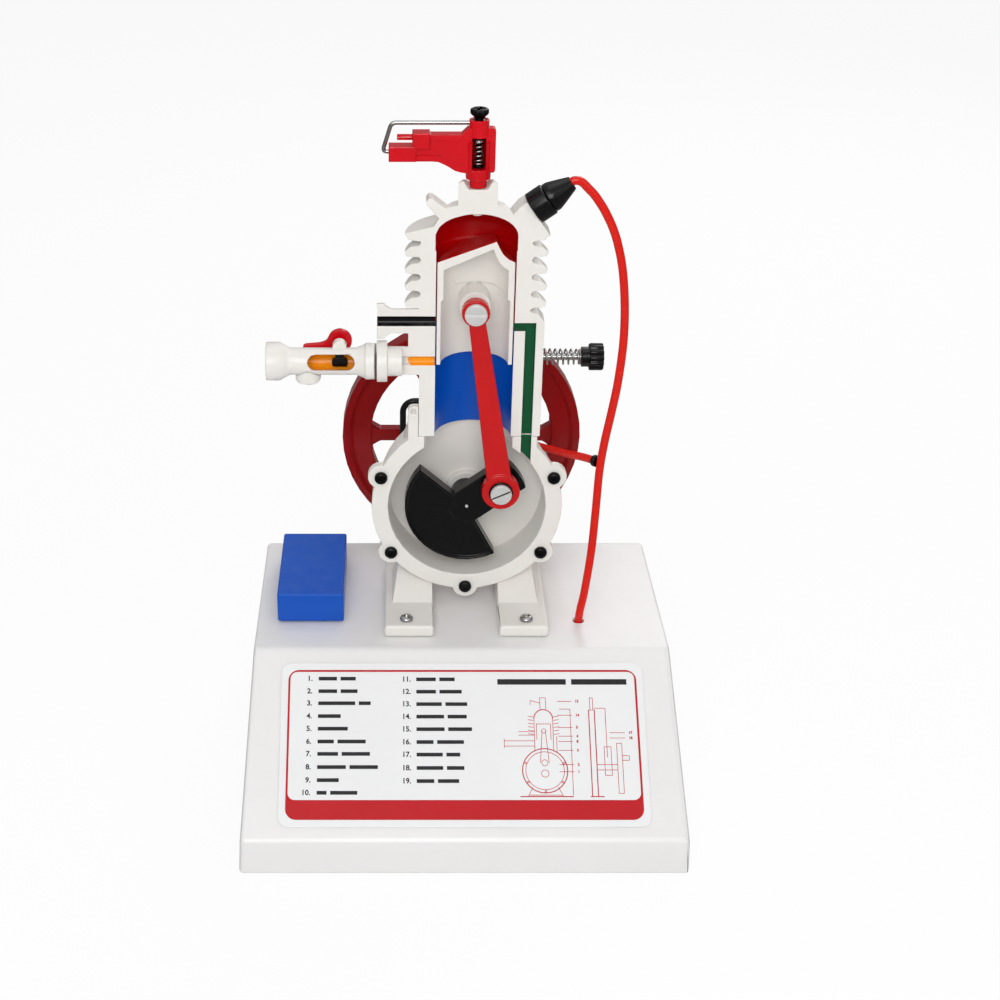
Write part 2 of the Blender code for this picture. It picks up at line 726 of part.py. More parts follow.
def coil(name, wire, radii, start, pitch_run, turns, place, parent=ENGINE):
    """Make a helical spring along +Z from its two end radii, then place it by a matrix."""
    per_turn = 8
    points = []
    for index in range(turns * per_turn + 1):
        share = index / (turns * per_turn)
        angle = share * turns * math.tau
        radius = radii[0] + (radii[1] - radii[0]) * share
        points.append(Vector((radius * math.cos(angle), radius * math.sin(angle),
                              start + pitch_run * share)))
    gap = pitch_run / turns - wire * 2
    print(name, "least gap between its turns in mm", round(gap / 0.001, 2))
    thing = tube(name, points, wire, 1, parent=parent)
    thing.data.transform(place)
    return thing


def combine(target, tool, operation):
    """Add a Boolean of another object to a target."""
    step = target.modifiers.new(tool.name, "BOOLEAN")
    step.operation = operation
    step.solver = "EXACT"
    step.object = tool
    return target


def cut(target, *tools):
    """Cut tools from a target."""
    for tool in tools:
        combine(target, tool, "DIFFERENCE")
    return target


def join(target, *pieces):
    """Join pieces to a target, so that they make one body."""
    for piece in pieces:
        combine(target, piece, "UNION")
    return target


def bevel(target, width, segments=2, angle=30.0):
    """Round the sharp edges of an object."""
    edge = target.modifiers.new("edge", "BEVEL")
    edge.width = width
    edge.segments = segments
    edge.limit_method = "ANGLE"
    edge.angle_limit = math.radians(angle)
    edge.harden_normals = False
    return target


def place_on_axis(thing, pivot):
    """Move an object's origin to a point, such as its joint's axis, without moving its shape."""
    thing.data.transform(Matrix.Translation(-Vector(pivot)))
    thing.location = pivot
    return thing


def dress(thing, material, smooth=True):
    """Give an object its material and its shading."""
    thing.data.materials.clear()
    thing.data.materials.append(material)
    if smooth:
        thing.data.shade_smooth()
        thing.data.set_sharp_from_angle(angle=math.radians(35.0))
    return thing


def arc(centre, radius, start, end, steps):
    """Return points on an arc of a flat outline, both ends included."""
    turn = (end - start) / steps
    return [(centre[0] + radius * math.cos(start + turn * index),
             centre[1] + radius * math.sin(start + turn * index)) for index in range(steps + 1)]


def rounded(points, radius, steps=3):
    """Return a closed outline with each of its corners rounded by one radius."""
    outline = []
    count = len(points)
    for index, point in enumerate(points):
        corner = Vector(point)
        before = Vector(points[index - 1]) - corner
        after = Vector(points[(index + 1) % count]) - corner
        half = before.angle(after) / 2
        reach = min(radius / math.tan(half), before.length / 2, after.length / 2)
        first = corner + before.normalized() * reach
        second = corner + after.normalized() * reach
        for step in range(steps + 1):
            share = step / steps
            near = first.lerp(corner, share)
            far = corner.lerp(second, share)
            outline.append(tuple(near.lerp(far, share)))
    return outline


def rectangle(left, right, low, high):
    """Return the outline of a rectangle."""
    return [(left, low), (right, low), (right, high), (left, high)]


# Display base, its board, the label plate and the fuel tank


def base_profile(inset):
    """Return the base's side outline of y and z, drawn in by a wall."""
    front = -BASE_DEPTH / 2 + inset
    rear = BASE_DEPTH / 2 - inset
    top = DECK_HEIGHT - inset
    slope = math.atan2(SLOPE_DROP, SLOPE_RUN)
    shift = inset * math.tan(slope / 2)
    skirt_top = SKIRT_HEIGHT - inset * (1 / math.cos(slope) - math.tan(slope))
    deck_front = -BASE_DEPTH / 2 + SLOPE_RUN + shift
    return [(front, -OVERRUN), (rear, -OVERRUN), (rear, top), (deck_front, top),
            (front, skirt_top)]


def base_block(name, inset, collection):
    """Make the base's drafted outer block, or the hollow inside its wall."""
    half = BASE_WIDTH / 2 - inset
    block = side_plate(name, [base_profile(inset)], -half, half, collection, None)
    for vertex in block.data.vertices:
        lean = BASE_LEAN_SHARE * max(vertex.co.z, 0.0)
        vertex.co.x -= math.copysign(lean, vertex.co.x)
    return block


def board_screw_places():
    """Return the four places of the board's screws."""
    across = BASE_WIDTH / 2 - BOARD_SCREW_INSET
    along = BASE_DEPTH / 2 - BOARD_SCREW_INSET
    return {"front_left": (-across, -along), "front_right": (across, -along),
            "rear_left": (-across, along), "rear_right": (across, along)}


def build_base():
    """Build the hollow base, the board that closes it and the board's screws."""
    shell = bevel(base_block("base_shell", 0.0, MODEL), BASE_EDGE, 2)
    floor = box("floor_cut", (-BASE_WIDTH, -BASE_DEPTH, -BASE_DEPTH), (BASE_WIDTH, BASE_DEPTH, 0),
                parent=None)
    cut(shell, floor, base_block("base_hollow", BASE_WALL, CUTTERS))
    for place, (x, y) in board_screw_places().items():
        foot = BOARD_THICKNESS + SEAT
        slope_rise = (BOARD_SCREW_INSET - POST_RADIUS) * SLOPE_DROP / SLOPE_RUN
        top = DECK_HEIGHT - BASE_WALL / 2 if y > 0 else SKIRT_HEIGHT + slope_rise - SEAT
        post = cylinder("post_" + place, POST_RADIUS, (x, y, foot), (x, y, top), SMALL_STEPS,
                        parent=None)
        hole = cylinder("post_hole_" + place, BOARD_SCREW_RADIUS + SEAT, (x, y, 0),
                        (x, y, foot + BOARD_SCREW_GRIP + SEAT), SMALL_STEPS, parent=None)
        join(shell, post)
        cut(shell, hole)
    deck_holes = []
    for side in (-1, 1):
        for depth in (-FOOT_SCREW_FRONT, FOOT_SCREW_REAR):
            x = ENGINE_X + side * FOOT_SCREW_X
            y = FACE_Y + depth
            deck_holes.append((x, y, FOOT_SCREW_SHANK + SEAT))
    hose = DELIVERY_ROUTE[-2]
    deck_holes.append((ENGINE_X + hose[0], FACE_Y + hose[1], HOSE_RADIUS + HOSE_HOLE_CLEARANCE))
    deck_holes.append((ENGINE_X - SUCTION_X, FACE_Y + PUMP_Y, SUCTION_RADIUS + SEAT))
    for index, (x, y, radius) in enumerate(deck_holes):
        cut(shell, cylinder("deck_hole_%d" % index, radius, (x, y, DECK_HEIGHT - BASE_WALL * 2),
                            (x, y, DECK_HEIGHT + OVERRUN), SMALL_STEPS, parent=None))
    dress(shell, WHITE_SHELL)

    lean = BASE_LEAN_SHARE * BOARD_THICKNESS
    half = BASE_WIDTH / 2 - BASE_WALL - SEAT - lean
    deep = BASE_DEPTH / 2 - BASE_WALL - SEAT
    board = box("base_board", (-half, -deep, 0), (half, deep, BOARD_THICKNESS), MODEL, None)
    for place, (x, y) in board_screw_places().items():
        recess = BOARD_SCREW_RECESS + BOARD_SCREW_HEAD_HEIGHT
        shank = cylinder("board_hole_" + place, BOARD_SCREW_RADIUS + SEAT, (x, y, -OVERRUN),
                         (x, y, BOARD_THICKNESS + OVERRUN), SMALL_STEPS, parent=None)
        head = cylinder("board_recess_" + place, BOARD_SCREW_HEAD + SEAT, (x, y, -OVERRUN),
                        (x, y, recess + SEAT), SMALL_STEPS, parent=None)
        cut(board, shank, head)
        low = BOARD_SCREW_RECESS
        screw = turned("board_screw_" + place, (
            (0, BOARD_THICKNESS + BOARD_SCREW_GRIP), (BOARD_SCREW_RADIUS, BOARD_THICKNESS
                                                      + BOARD_SCREW_GRIP - BOARD_SCREW_RADIUS),
            (BOARD_SCREW_RADIUS, recess), (BOARD_SCREW_HEAD, recess), (BOARD_SCREW_HEAD, low),
            (0, low)), SMALL_STEPS, MODEL, None)
        screw.location = (x, y, 0)
        dress(screw, STEEL)
    dress(board, BOARD_BROWN, False)


def build_label():
    """Build the label plate that lies on the slope."""
    half = LABEL_WIDTH / 2
    outline = rounded(rectangle(-half, half, -LABEL_HEIGHT / 2, LABEL_HEIGHT / 2), LABEL_CORNER)
    mesh = flat_outline("label_plate", [outline], LABEL_THICKNESS)
    slope = math.atan2(SLOPE_DROP, SLOPE_RUN)
    reach = LABEL_FROM_DECK + LABEL_HEIGHT / 2
    lift = SEAT + LABEL_THICKNESS / 2
    deck_front = -BASE_DEPTH / 2 + SLOPE_RUN
    place = Vector((0, deck_front - reach * math.cos(slope) - lift * math.sin(slope),
                    DECK_HEIGHT - reach * math.sin(slope) + lift * math.cos(slope)))
    mesh.transform(Matrix.Rotation(slope, 4, "X"))
    label = add_object("label_plate", mesh, MODEL, None)
    label.location = place
    dress(label, LABEL_WHITE, False)


def build_tank():
    """Build the fuel tank block on the deck."""
    half = TANK_WIDTH / 2
    front = FACE_Y - TANK_FRONT
    low = DECK_HEIGHT + SEAT
    tank = box("fuel_tank", (TANK_X - half, front, low + TANK_FOOT_HEIGHT),
               (TANK_X + half, front + TANK_DEPTH, low + TANK_HEIGHT), MODEL, None)
    bevel(tank, TANK_EDGE, 2)
    inset = TANK_FOOT_INSET
    foot = box("tank_foot", (TANK_X - half + inset, front + inset, low),
               (TANK_X + half - inset, front + TANK_DEPTH - inset, low + TANK_HEIGHT / 2),
               parent=None)
    join(tank, foot)
    dress(tank, TANK_BLUE)


# Crankcase with its feet and screws


def lug_places():
    """Return the five places of the flange's lugs, from the lowest one round."""
    places = []
    for index in range(LUG_COUNT):
        angle = -math.pi / 2 + LUG_STEP * (index - (LUG_COUNT - 1) / 2)
        places.append((LUG_CIRCLE * math.cos(angle), LUG_CIRCLE * math.sin(angle)))
    return places


def leg(name, side):
    """Make one leaning leg as a tapered block from its pad to the drum."""
    inner = side * (PAD_INNER + RUNNING)
    low = box(name, (0, 0, 0), (1, 1, 1))
    corners = {
        (0, 0): (inner, side * LEG_OUTER_LOW, -LEG_FRONT, LEG_REAR, PAD_TOP - PAD_THICKNESS / 2),
        (1, 1): (inner, side * LEG_OUTER_HIGH, LEG_TOP_FRONT, LEG_TOP_REAR, -LEG_TOP),
    }
    for vertex in low.data.vertices:
        level = round(vertex.co.z)
        first, second, front, rear, height = corners[(level, level)]
        near = min(first, second)
        far = max(first, second)
        vertex.co = (near if vertex.co.x < 0.5 else far, front if vertex.co.y < 0.5 else rear,
                     height)
    return low


def build_crankcase():
    """Build the crankcase half: drum, flange with lugs, neck, bearing housing and feet."""
    front = -OVERRUN
    case = cylinder("crankcase", DRUM_RADIUS, (0, front, 0), (0, WALL_OUTER, 0), ROUND_STEPS,
                    MODEL)
    flange = cylinder("flange_ring", FLANGE_RADIUS, (0, front * 2, 0), (0, FLANGE_THICKNESS, 0),
                      ROUND_STEPS)
    join(case, flange)
    for index, (x, z) in enumerate(lug_places()):
        join(case, cylinder("lug_%d" % index, LUG_RADIUS, (x, front * 3, z),
                            (x, FLANGE_THICKNESS - RUNNING, z), LUG_STEPS))
    neck_low = NECK_BORE / 2
    flare = NECK_FLARE
    neck = plate("neck_block", [[
        (-NECK_LEFT - flare, neck_low), (NECK_RIGHT + flare / 2, neck_low),
        (NECK_RIGHT, neck_low + flare * 2), (NECK_RIGHT, JOINT_HEIGHT), (-NECK_LEFT, JOINT_HEIGHT),
        (-NECK_LEFT, JOINT_HEIGHT - flare / 2)]], front * 4, WALL_OUTER - RUNNING)
    ear_right = EAR_CORNER - BARREL_RADIUS + CYLINDER_OFFSET
    ear = plate("neck_ear", [rounded(rectangle(-NECK_LEFT, ear_right, JOINT_HEIGHT - EAR_CORNER,
                                               EAR_TOP), EAR_CORNER)], front * 5, EAR_DEPTH)
    join(case, neck, ear)
    cut(case, box("face_trim", (-FLANGE_RADIUS * 2, front * 9, -FLANGE_RADIUS * 2),
                  (FLANGE_RADIUS * 2, 0, FLANGE_RADIUS * 2)))
    for name, side in (("left", -1), ("right", 1)):
        inner = side * PAD_INNER
        outer = side * PAD_OUTER
        pad = box("pad_" + name, (min(inner, outer), -PAD_FRONT, SEAT - CRANK_ABOVE_DECK),
                  (max(inner, outer), PAD_REAR, PAD_TOP))
        bevel(pad, PAD_EDGE, 1)
        join(case, pad, leg("leg_" + name, side))
    housing = cylinder("rear_housing", REAR_HOUSING, (0, DRUM_DEPTH, 0),
                       (0, WALL_OUTER + REAR_HOUSING_LENGTH, 0), MID_STEPS)
    join(case, housing)
    # the drum, the neck's bore and the open front are cut before the boss goes back in
    drum = cylinder("drum_cut", DRUM_BORE, (0, -PAD_FRONT - OVERRUN, 0), (0, WALL_INNER, 0),
                    ROUND_STEPS)
    bore = cylinder("neck_bore", NECK_BORE, (0, 0, 0), (0, 0, EAR_TOP + OVERRUN), ROUND_STEPS)
    barrel = cylinder("ear_round", BARREL_RADIUS + SEAT, (CYLINDER_OFFSET, 0, BLOCK_LOW - SEAT),
                      (CYLINDER_OFFSET, 0, EAR_TOP + OVERRUN), ROUND_STEPS)
    cut(case, drum, bore, barrel)
    join(case, cylinder("bearing_boss", BEARING_BOSS, (0, BOSS_FRONT, 0),
                        (0, WALL_OUTER, 0), MID_STEPS))
    cut(case, cylinder("shaft_hole", SHAFT_RADIUS + RUNNING, (0, 0, 0),
                       (0, WALL_OUTER + REAR_HOUSING_LENGTH + OVERRUN, 0), MID_STEPS))
    left = TRANSFER_LEFT + CYLINDER_OFFSET
    right = TRANSFER_RIGHT + CYLINDER_OFFSET
    cut(case, plate("case_channel", [[(left, neck_low), (right, neck_low),
                                      (right, JOINT_HEIGHT + OVERRUN),
                                      (left, JOINT_HEIGHT + OVERRUN)]],
                    -OVERRUN, CHANNEL_DEPTH))
    for index, (x, z) in enumerate(lug_places()):
        cut(case, cylinder("lug_hole_%d" % index, CASE_SCREW_SHANK + SEAT, (x, -OVERRUN, z),
                           (x, WALL_OUTER, z), SMALL_STEPS))
    ear_middle = -NECK_LEFT + EAR_CORNER
    cut(case, cylinder("ear_hole", EAR_HOLE, (ear_middle, -OVERRUN, EAR_TOP - EAR_CORNER),
                       (ear_middle, EAR_DEPTH / 2, EAR_TOP - EAR_CORNER), SMALL_STEPS))
    for side in (-1, 1):
        for depth in (-FOOT_SCREW_FRONT, FOOT_SCREW_REAR):
            x = side * FOOT_SCREW_X
            cut(case, cylinder("foot_hole", FOOT_SCREW_SHANK + SEAT,
                               (x, depth, -CRANK_ABOVE_DECK - OVERRUN),
                               (x, depth, PAD_TOP + OVERRUN), SMALL_STEPS))
    dress(case, WHITE_PAINT)


def build_screws():
    """Build the black screws of the flange and the bright screws of the feet."""
    for index, (x, z) in enumerate(lug_places()):
        front = -SEAT - CASE_SCREW_HEAD_HEIGHT
        tail = FLANGE_THICKNESS + CASE_SCREW_TAIL
        screw = turned("case_screw_%d" % (index + 1), (
            (0, tail), (CASE_SCREW_SHANK, tail), (CASE_SCREW_SHANK, -SEAT),
            (CASE_SCREW_HEAD, -SEAT), (CASE_SCREW_HEAD, front + CASE_SCREW_TAIL / 2),
            (CASE_SCREW_HEAD - CASE_SCREW_TAIL / 2, front), (CASE_SCREW_SOCKET, front),
            (CASE_SCREW_SOCKET, front + SCREW_SOCKET_DEPTH), (0, front + SCREW_SOCKET_DEPTH)),
            SMALL_STEPS, MODEL)
        screw.matrix_local = Matrix.Translation((x, 0, z)) @ UP_Y
        dress(screw, DARK_STEEL)
    for name, depth in (("front", -FOOT_SCREW_FRONT), ("rear", FOOT_SCREW_REAR)):
        for where, side in (("left", -1), ("right", 1)):
            low = -CRANK_ABOVE_DECK - BASE_WALL - FOOT_SCREW_TAIL
            seat = PAD_TOP + SEAT
            top = seat + FOOT_SCREW_HEAD_HEIGHT
            screw = turned("foot_screw_%s_%s" % (name, where), (
                (0, top - SCREW_SOCKET_DEPTH), (FOOT_SCREW_SOCKET, top - SCREW_SOCKET_DEPTH),
                (FOOT_SCREW_SOCKET, top), (FOOT_SCREW_HEAD - FOOT_SCREW_HEAD_HEIGHT / 2, top),
                (FOOT_SCREW_HEAD, top - FOOT_SCREW_HEAD_HEIGHT / 2), (FOOT_SCREW_HEAD, seat),
                (FOOT_SCREW_SHANK, seat), (FOOT_SCREW_SHANK, low), (0, low)), SMALL_STEPS, MODEL)
            screw.location = (side * FOOT_SCREW_X, depth, 0)
            dress(screw, STEEL)


# Cylinder block


def block_profile():
    """Return the block's turned outline, from the top of its stub down to its foot."""
    profile = [(0, STUB_TOP), (STUB_RADIUS - STUB_EDGE, STUB_TOP),
               (STUB_RADIUS, STUB_TOP - STUB_EDGE), (STUB_RADIUS, HEAD_CROWN + FIN_DROOP),
               (HEAD_CROWN_RADIUS, HEAD_CROWN), (HEAD_SHOULDER_RADIUS, HEAD_SHOULDER),
               (FIN_RADIUS, HEAD_WING), (FIN_RADIUS - FIN_DROOP * 2, HEAD_WING - WING_THICKNESS),
               (FIN_ROOT, HEAD_WING - WING_THICKNESS - FIN_DROOP)]
    half = FIN_THICKNESS / 2
    for index in reversed(range(FIN_COUNT)):
        middle = FIN_FIRST + FIN_PITCH * index
        profile += [(FIN_ROOT, middle + half + FIN_FILLET), (FIN_ROOT + FIN_FILLET, middle + half),
                    (FIN_RADIUS - half, middle + half - FIN_DROOP / 2), (FIN_RADIUS, middle),
                    (FIN_RADIUS - FIN_DROOP, middle - half + FIN_DROOP / 2),
                    (FIN_ROOT + FIN_FILLET, middle - half), (FIN_ROOT, middle - half - FIN_FILLET)]
    profile += [(BARREL_RADIUS, BARREL_TOP - FIN_DROOP), (BARREL_RADIUS, BLOCK_LOW),
                (0, BLOCK_LOW)]
    return profile


def injector_frame():
    """Return the matrix from a frame whose Z runs out of the injector's seat."""
    turn = Matrix.Rotation(math.pi / 2 - INJECTOR_TILT, 4, "Y")
    place = (CYLINDER_OFFSET + INJECTOR_X, INJECTOR_Y, INJECTOR_HEIGHT)
    return Matrix.Translation(place) @ turn


def build_block():
    """Build the sectioned cylinder block with fins, head, ports and channels."""
    middle = CYLINDER_OFFSET
    block = turned("cylinder_block", block_profile(), ROUND_STEPS, MODEL)
    block.location = (middle, 0, 0)
    wall = plate("right_wall", [[
        (middle, BLOCK_LOW), (middle + RIGHT_WALL, BLOCK_LOW),
        (middle + RIGHT_WALL, RIGHT_WALL_TOP - RIGHT_WALL_CORNER),
        (middle + RIGHT_WALL - RIGHT_WALL_CORNER / 2, RIGHT_WALL_TOP - RIGHT_WALL_CORNER / 3),
        (middle + FIN_ROOT, RIGHT_WALL_TOP), (middle, RIGHT_WALL_TOP)]],
        -OVERRUN, RIGHT_WALL_DEPTH)
    left_wall = plate("left_wall", [rectangle(middle - LEFT_WALL, middle, INLET_HEIGHT,
                                              EXHAUST_HEIGHT)], -OVERRUN * 2, LEFT_WALL_DEPTH)
    ray = build_ray(middle)
    seat = plate("injector_seat", [seat_outline()], -OVERRUN, SEAT_DEPTH)
    join(block, wall, left_wall, ray, seat)
    low = JOINT_HEIGHT - OVERRUN
    left = middle + TRANSFER_LEFT
    right = middle + TRANSFER_RIGHT
    port_low = TRANSFER_TOP - TRANSFER_PORT
    cut(block, plate("transfer_channel", [[
        (middle, port_low), (left, port_low), (left, low), (right, low), (right, TRANSFER_TOP),
        (middle, TRANSFER_TOP)]], -OVERRUN, CHANNEL_DEPTH))
    exhaust = turned("exhaust_pipe", (
        (EXHAUST_PORT - RUNNING, 0), (EXHAUST_PIPE, 0),
        (EXHAUST_PIPE, EXHAUST_FLANGE_THICKNESS + EXHAUST_FILLET - EXHAUST_END),
        (EXHAUST_FLANGE - RUNNING * 3, EXHAUST_FLANGE_THICKNESS + RUNNING - EXHAUST_END),
        (EXHAUST_FLANGE, EXHAUST_FLANGE_THICKNESS - EXHAUST_END), (EXHAUST_FLANGE, -EXHAUST_END),
        (EXHAUST_PORT - RUNNING, -EXHAUST_END)), MID_STEPS, closed=True)
    exhaust.matrix_local = Matrix.Translation((middle, 0, EXHAUST_HEIGHT)) @ UP_X
    inlet = turned("inlet_pipe", (
        (INLET_PORT - RUNNING, 0), (INLET_STUB, 0),
        (INLET_STUB, INLET_FLANGE_THICKNESS - INLET_END),
        (INLET_FLANGE, INLET_FLANGE_THICKNESS - INLET_END), (INLET_FLANGE, -INLET_END),
        (INLET_PORT - RUNNING, -INLET_END)), MID_STEPS, closed=True)
    inlet.matrix_local = Matrix.Translation((middle, 0, INLET_HEIGHT)) @ UP_X
    join(block, exhaust, inlet)
    # the section leaves the inlet's outer end whole
    high = STUB_TOP + OVERRUN
    left = middle - INLET_CUT
    over_inlet = INLET_HEIGHT + INLET_FLANGE + OVERRUN
    cut(block, plate("section_cut", [[
        (left, 0), (EXHAUST_END, 0), (EXHAUST_END, high), (-EXHAUST_END * 2, high),
        (-EXHAUST_END * 2, over_inlet), (left, over_inlet)]], -EXHAUST_END, 0))
    cut(block, cylinder("exhaust_port", EXHAUST_PORT,
                        (middle - EXHAUST_END - OVERRUN, 0, EXHAUST_HEIGHT),
                        (middle, 0, EXHAUST_HEIGHT), SMALL_STEPS))
    cut(block, cylinder("inlet_port", INLET_PORT, (middle - INLET_END - OVERRUN, 0, INLET_HEIGHT),
                        (middle, 0, INLET_HEIGHT), SMALL_STEPS))
    cut(block, turned_bore(middle))
    cups = []
    for name, depth in (("stub_cup", 0), ("stub_cup_back", NOZZLE_Y)):
        cup = turned(name, ((0, STUB_TOP + OVERRUN), (STUB_CUP_MOUTH, STUB_TOP + OVERRUN),
                            (STUB_CUP_MOUTH, STUB_TOP), (STUB_CUP, STUB_FLOOR), (0, STUB_FLOOR)),
                     MID_STEPS)
        cup.location = (middle, depth, 0)
        cups.append(cup)
    tip = cylinder("nozzle_tip_hole", NOZZLE_TIP + SEAT, (middle, NOZZLE_Y, DOME_SPRING),
                   (middle, NOZZLE_Y, STUB_FLOOR + OVERRUN), SMALL_STEPS)
    cut(block, *cups, tip)
    spigot = cylinder("spigot_hole", INJECTOR_SPIGOT + SEAT,
                      (0, 0, -INJECTOR_SPIGOT_LENGTH - SEAT * 2), (0, 0, OVERRUN), SMALL_STEPS)
    spigot.data.transform(injector_frame())
    cut(block, spigot)
    dress(block, WHITE_PAINT)


def build_ray(middle):
    """Build the slanted fin at the upper left of the head, from its tip and its root."""
    tip = Vector((middle - RAY_TIP_X, RAY_TIP_HEIGHT))
    root = Vector((middle - HEAD_CROWN_RADIUS / 2, DOME_TOP - RAY_WIDTH * 2))
    along = (tip - root).normalized()
    across = Vector((-along.y, along.x)) * RAY_WIDTH / 2
    outline = [root - across * 2, root + across * 2, tip + across - along * RAY_WIDTH / 3,
               tip + across / 2, tip - across / 2, tip - across - along * RAY_WIDTH / 3]
    return plate("head_ray", [[tuple(point) for point in reversed(outline)]], -OVERRUN, RAY_DEPTH)


def seat_outline():
    """Return the outline of the injector's wedge, whose outer side is the slanted seat."""
    centre = Vector((CYLINDER_OFFSET + INJECTOR_X, INJECTOR_HEIGHT))
    out = Vector((math.cos(INJECTOR_TILT), math.sin(INJECTOR_TILT)))
    along = Vector((-out.y, out.x))
    upper = centre + along * SEAT_HALF_LENGTH / 2
    lower = centre - along * SEAT_HALF_LENGTH * 1.3
    crest = upper - out * RAY_WIDTH
    inner = centre - out * SEAT_BACK
    wing = Vector((CYLINDER_OFFSET + FIN_ROOT, HEAD_WING - WING_THICKNESS - FIN_DROOP))
    return [tuple(point) for point in (inner, wing, lower, upper, crest)]


def dome_profile(drop):
    """Return the combustion space's profile of radius and height, lowered by a drop."""
    turns = [math.pi / 2 * index / DOME_STEPS for index in range(DOME_STEPS + 1)]
    return [(DOME_RADIUS * math.sin(turn), DOME_SPRING + DOME_HEIGHT * math.cos(turn) - drop)
            for turn in turns]


def turned_bore(middle):
    """Build the cutter of the bore and of the combustion space over it."""
    top = dome_profile(0)
    step = DOME_SPRING - BORE_STEP
    profile = top + [(DOME_RADIUS, step), (CYLINDER_BORE, step - OVERRUN / 4),
                     (CYLINDER_BORE, JOINT_HEIGHT - OVERRUN), (0, JOINT_HEIGHT - OVERRUN)]
    bore = turned("cylinder_bore", profile, ROUND_STEPS)
    half_step = Matrix.Rotation(math.pi / ROUND_STEPS, 4, "Z")
    bore.matrix_local = Matrix.Translation((middle, 0, 0)) @ half_step
    return bore


# Intake tube, its flange gasket, its cap and its choke


def build_intake():
    """Build the intake tube with its bell and window, the gasket and the cap under the tube."""
    middle = CYLINDER_OFFSET
    flange_end = INTAKE_START + INTAKE_FLANGE_THICKNESS
    neck = BELL_END - BELL_NECK
    lip = BELL_END - BELL_LIP
    wide = INTAKE_RADIUS + INTAKE_RADIUS / 10
    profile = ((INTAKE_BORE, -INTAKE_START), (INTAKE_FLANGE, -INTAKE_START),
               (INTAKE_FLANGE, -flange_end), (wide + INTAKE_CONE / 4, -flange_end),
               (INTAKE_RADIUS, -flange_end - INTAKE_CONE), (INTAKE_RADIUS, -neck),
               (INTAKE_RADIUS + INTAKE_RADIUS / 9, -neck - BELL_LIP / 4), (BELL_RADIUS, -lip),
               (BELL_RADIUS, -BELL_END + RUNNING), (BELL_RADIUS - RUNNING, -BELL_END),
               (BELL_MOUTH, -BELL_END), (INTAKE_BORE, -neck - BELL_LIP / 2))
    tube_body = turned("intake_tube", profile, MID_STEPS, MODEL, closed=True)
    tube_body.matrix_local = Matrix.Translation((middle, 0, INLET_HEIGHT)) @ UP_X
    flap_front = CHOKE_DEPTH - CHOKE_HALF_DEPTH - RUNNING
    boss = cylinder("choke_boss", CHOKE_BOSS,
                    (middle - CHOKE_X, flap_front - CHOKE_BLIND * 2, CHOKE_HEIGHT),
                    (middle - CHOKE_X, CHOKE_BOSS_HALF, CHOKE_HEIGHT), 20)
    join(tube_body, boss)
    window = plate("intake_window", [window_outline(middle)], -INTAKE_RADIUS - OVERRUN,
                   -WINDOW_FLOOR)
    window.data.transform(Matrix.Translation((0, 0, INLET_HEIGHT))
                          @ Matrix.Rotation(-WINDOW_TILT, 4, "X")
                          @ Matrix.Translation((0, 0, -INLET_HEIGHT)))
    pin = cylinder("choke_hole", CHOKE_PIN + RUNNING,
                   (middle - CHOKE_X, flap_front - CHOKE_BLIND, CHOKE_HEIGHT),
                   (middle - CHOKE_X, CHOKE_BOSS_HALF + OVERRUN, CHOKE_HEIGHT), SMALL_STEPS)
    slot = box("choke_slot", (middle - CHOKE_X - CHOKE_SLOT_HALF, flap_front, INLET_HEIGHT),
               (middle - CHOKE_X + CHOKE_SLOT_HALF, CHOKE_DEPTH + CHOKE_HALF_DEPTH + RUNNING,
                CHOKE_HEIGHT + CHOKE_ROOF))
    cut(tube_body, window, slot, pin)
    dress(tube_body, WHITE_PAINT)

    gasket = turned("intake_gasket", (
        (INLET_PORT + INTAKE_BORE / 3, -INLET_END - SEAT), (GASKET_RADIUS, -INLET_END - SEAT),
        (GASKET_RADIUS, -GASKET_END), (INLET_PORT + INTAKE_BORE / 3, -GASKET_END)), MID_STEPS, MODEL,
        closed=True)
    gasket.matrix_local = Matrix.Translation((middle, 0, INLET_HEIGHT)) @ UP_X
    dress(gasket, GASKET_GREY)

    cap = turned("intake_cap", (
        (0, CAP_TOP), (CAP_RADIUS, CAP_TOP), (CAP_RADIUS, CAP_LOW + CAP_EDGE),
        (CAP_RADIUS - CAP_EDGE / 3, CAP_LOW + CAP_EDGE / 3), (CAP_RADIUS - CAP_EDGE, CAP_LOW),
        (0, CAP_LOW)), MID_STEPS, MODEL)
    cap.location = (middle - CAP_X, 0, 0)
    cut(cap, cylinder("cap_seat", INTAKE_RADIUS + SEAT, (middle - BELL_END, 0, INLET_HEIGHT),
                      (middle - WINDOW_RIGHT, 0, INLET_HEIGHT)))
    dress(cap, WHITE_PAINT)


def window_outline(middle):
    """Return the outline of the window with its two round ends."""
    left = (middle - WINDOW_LEFT + WINDOW_HALF, INLET_HEIGHT)
    right = (middle - WINDOW_RIGHT - WINDOW_HALF, INLET_HEIGHT)
    return (arc(left, WINDOW_HALF, math.pi / 2, math.pi * 1.5, 8)
            + arc(right, WINDOW_HALF, -math.pi / 2, math.pi / 2, 8))


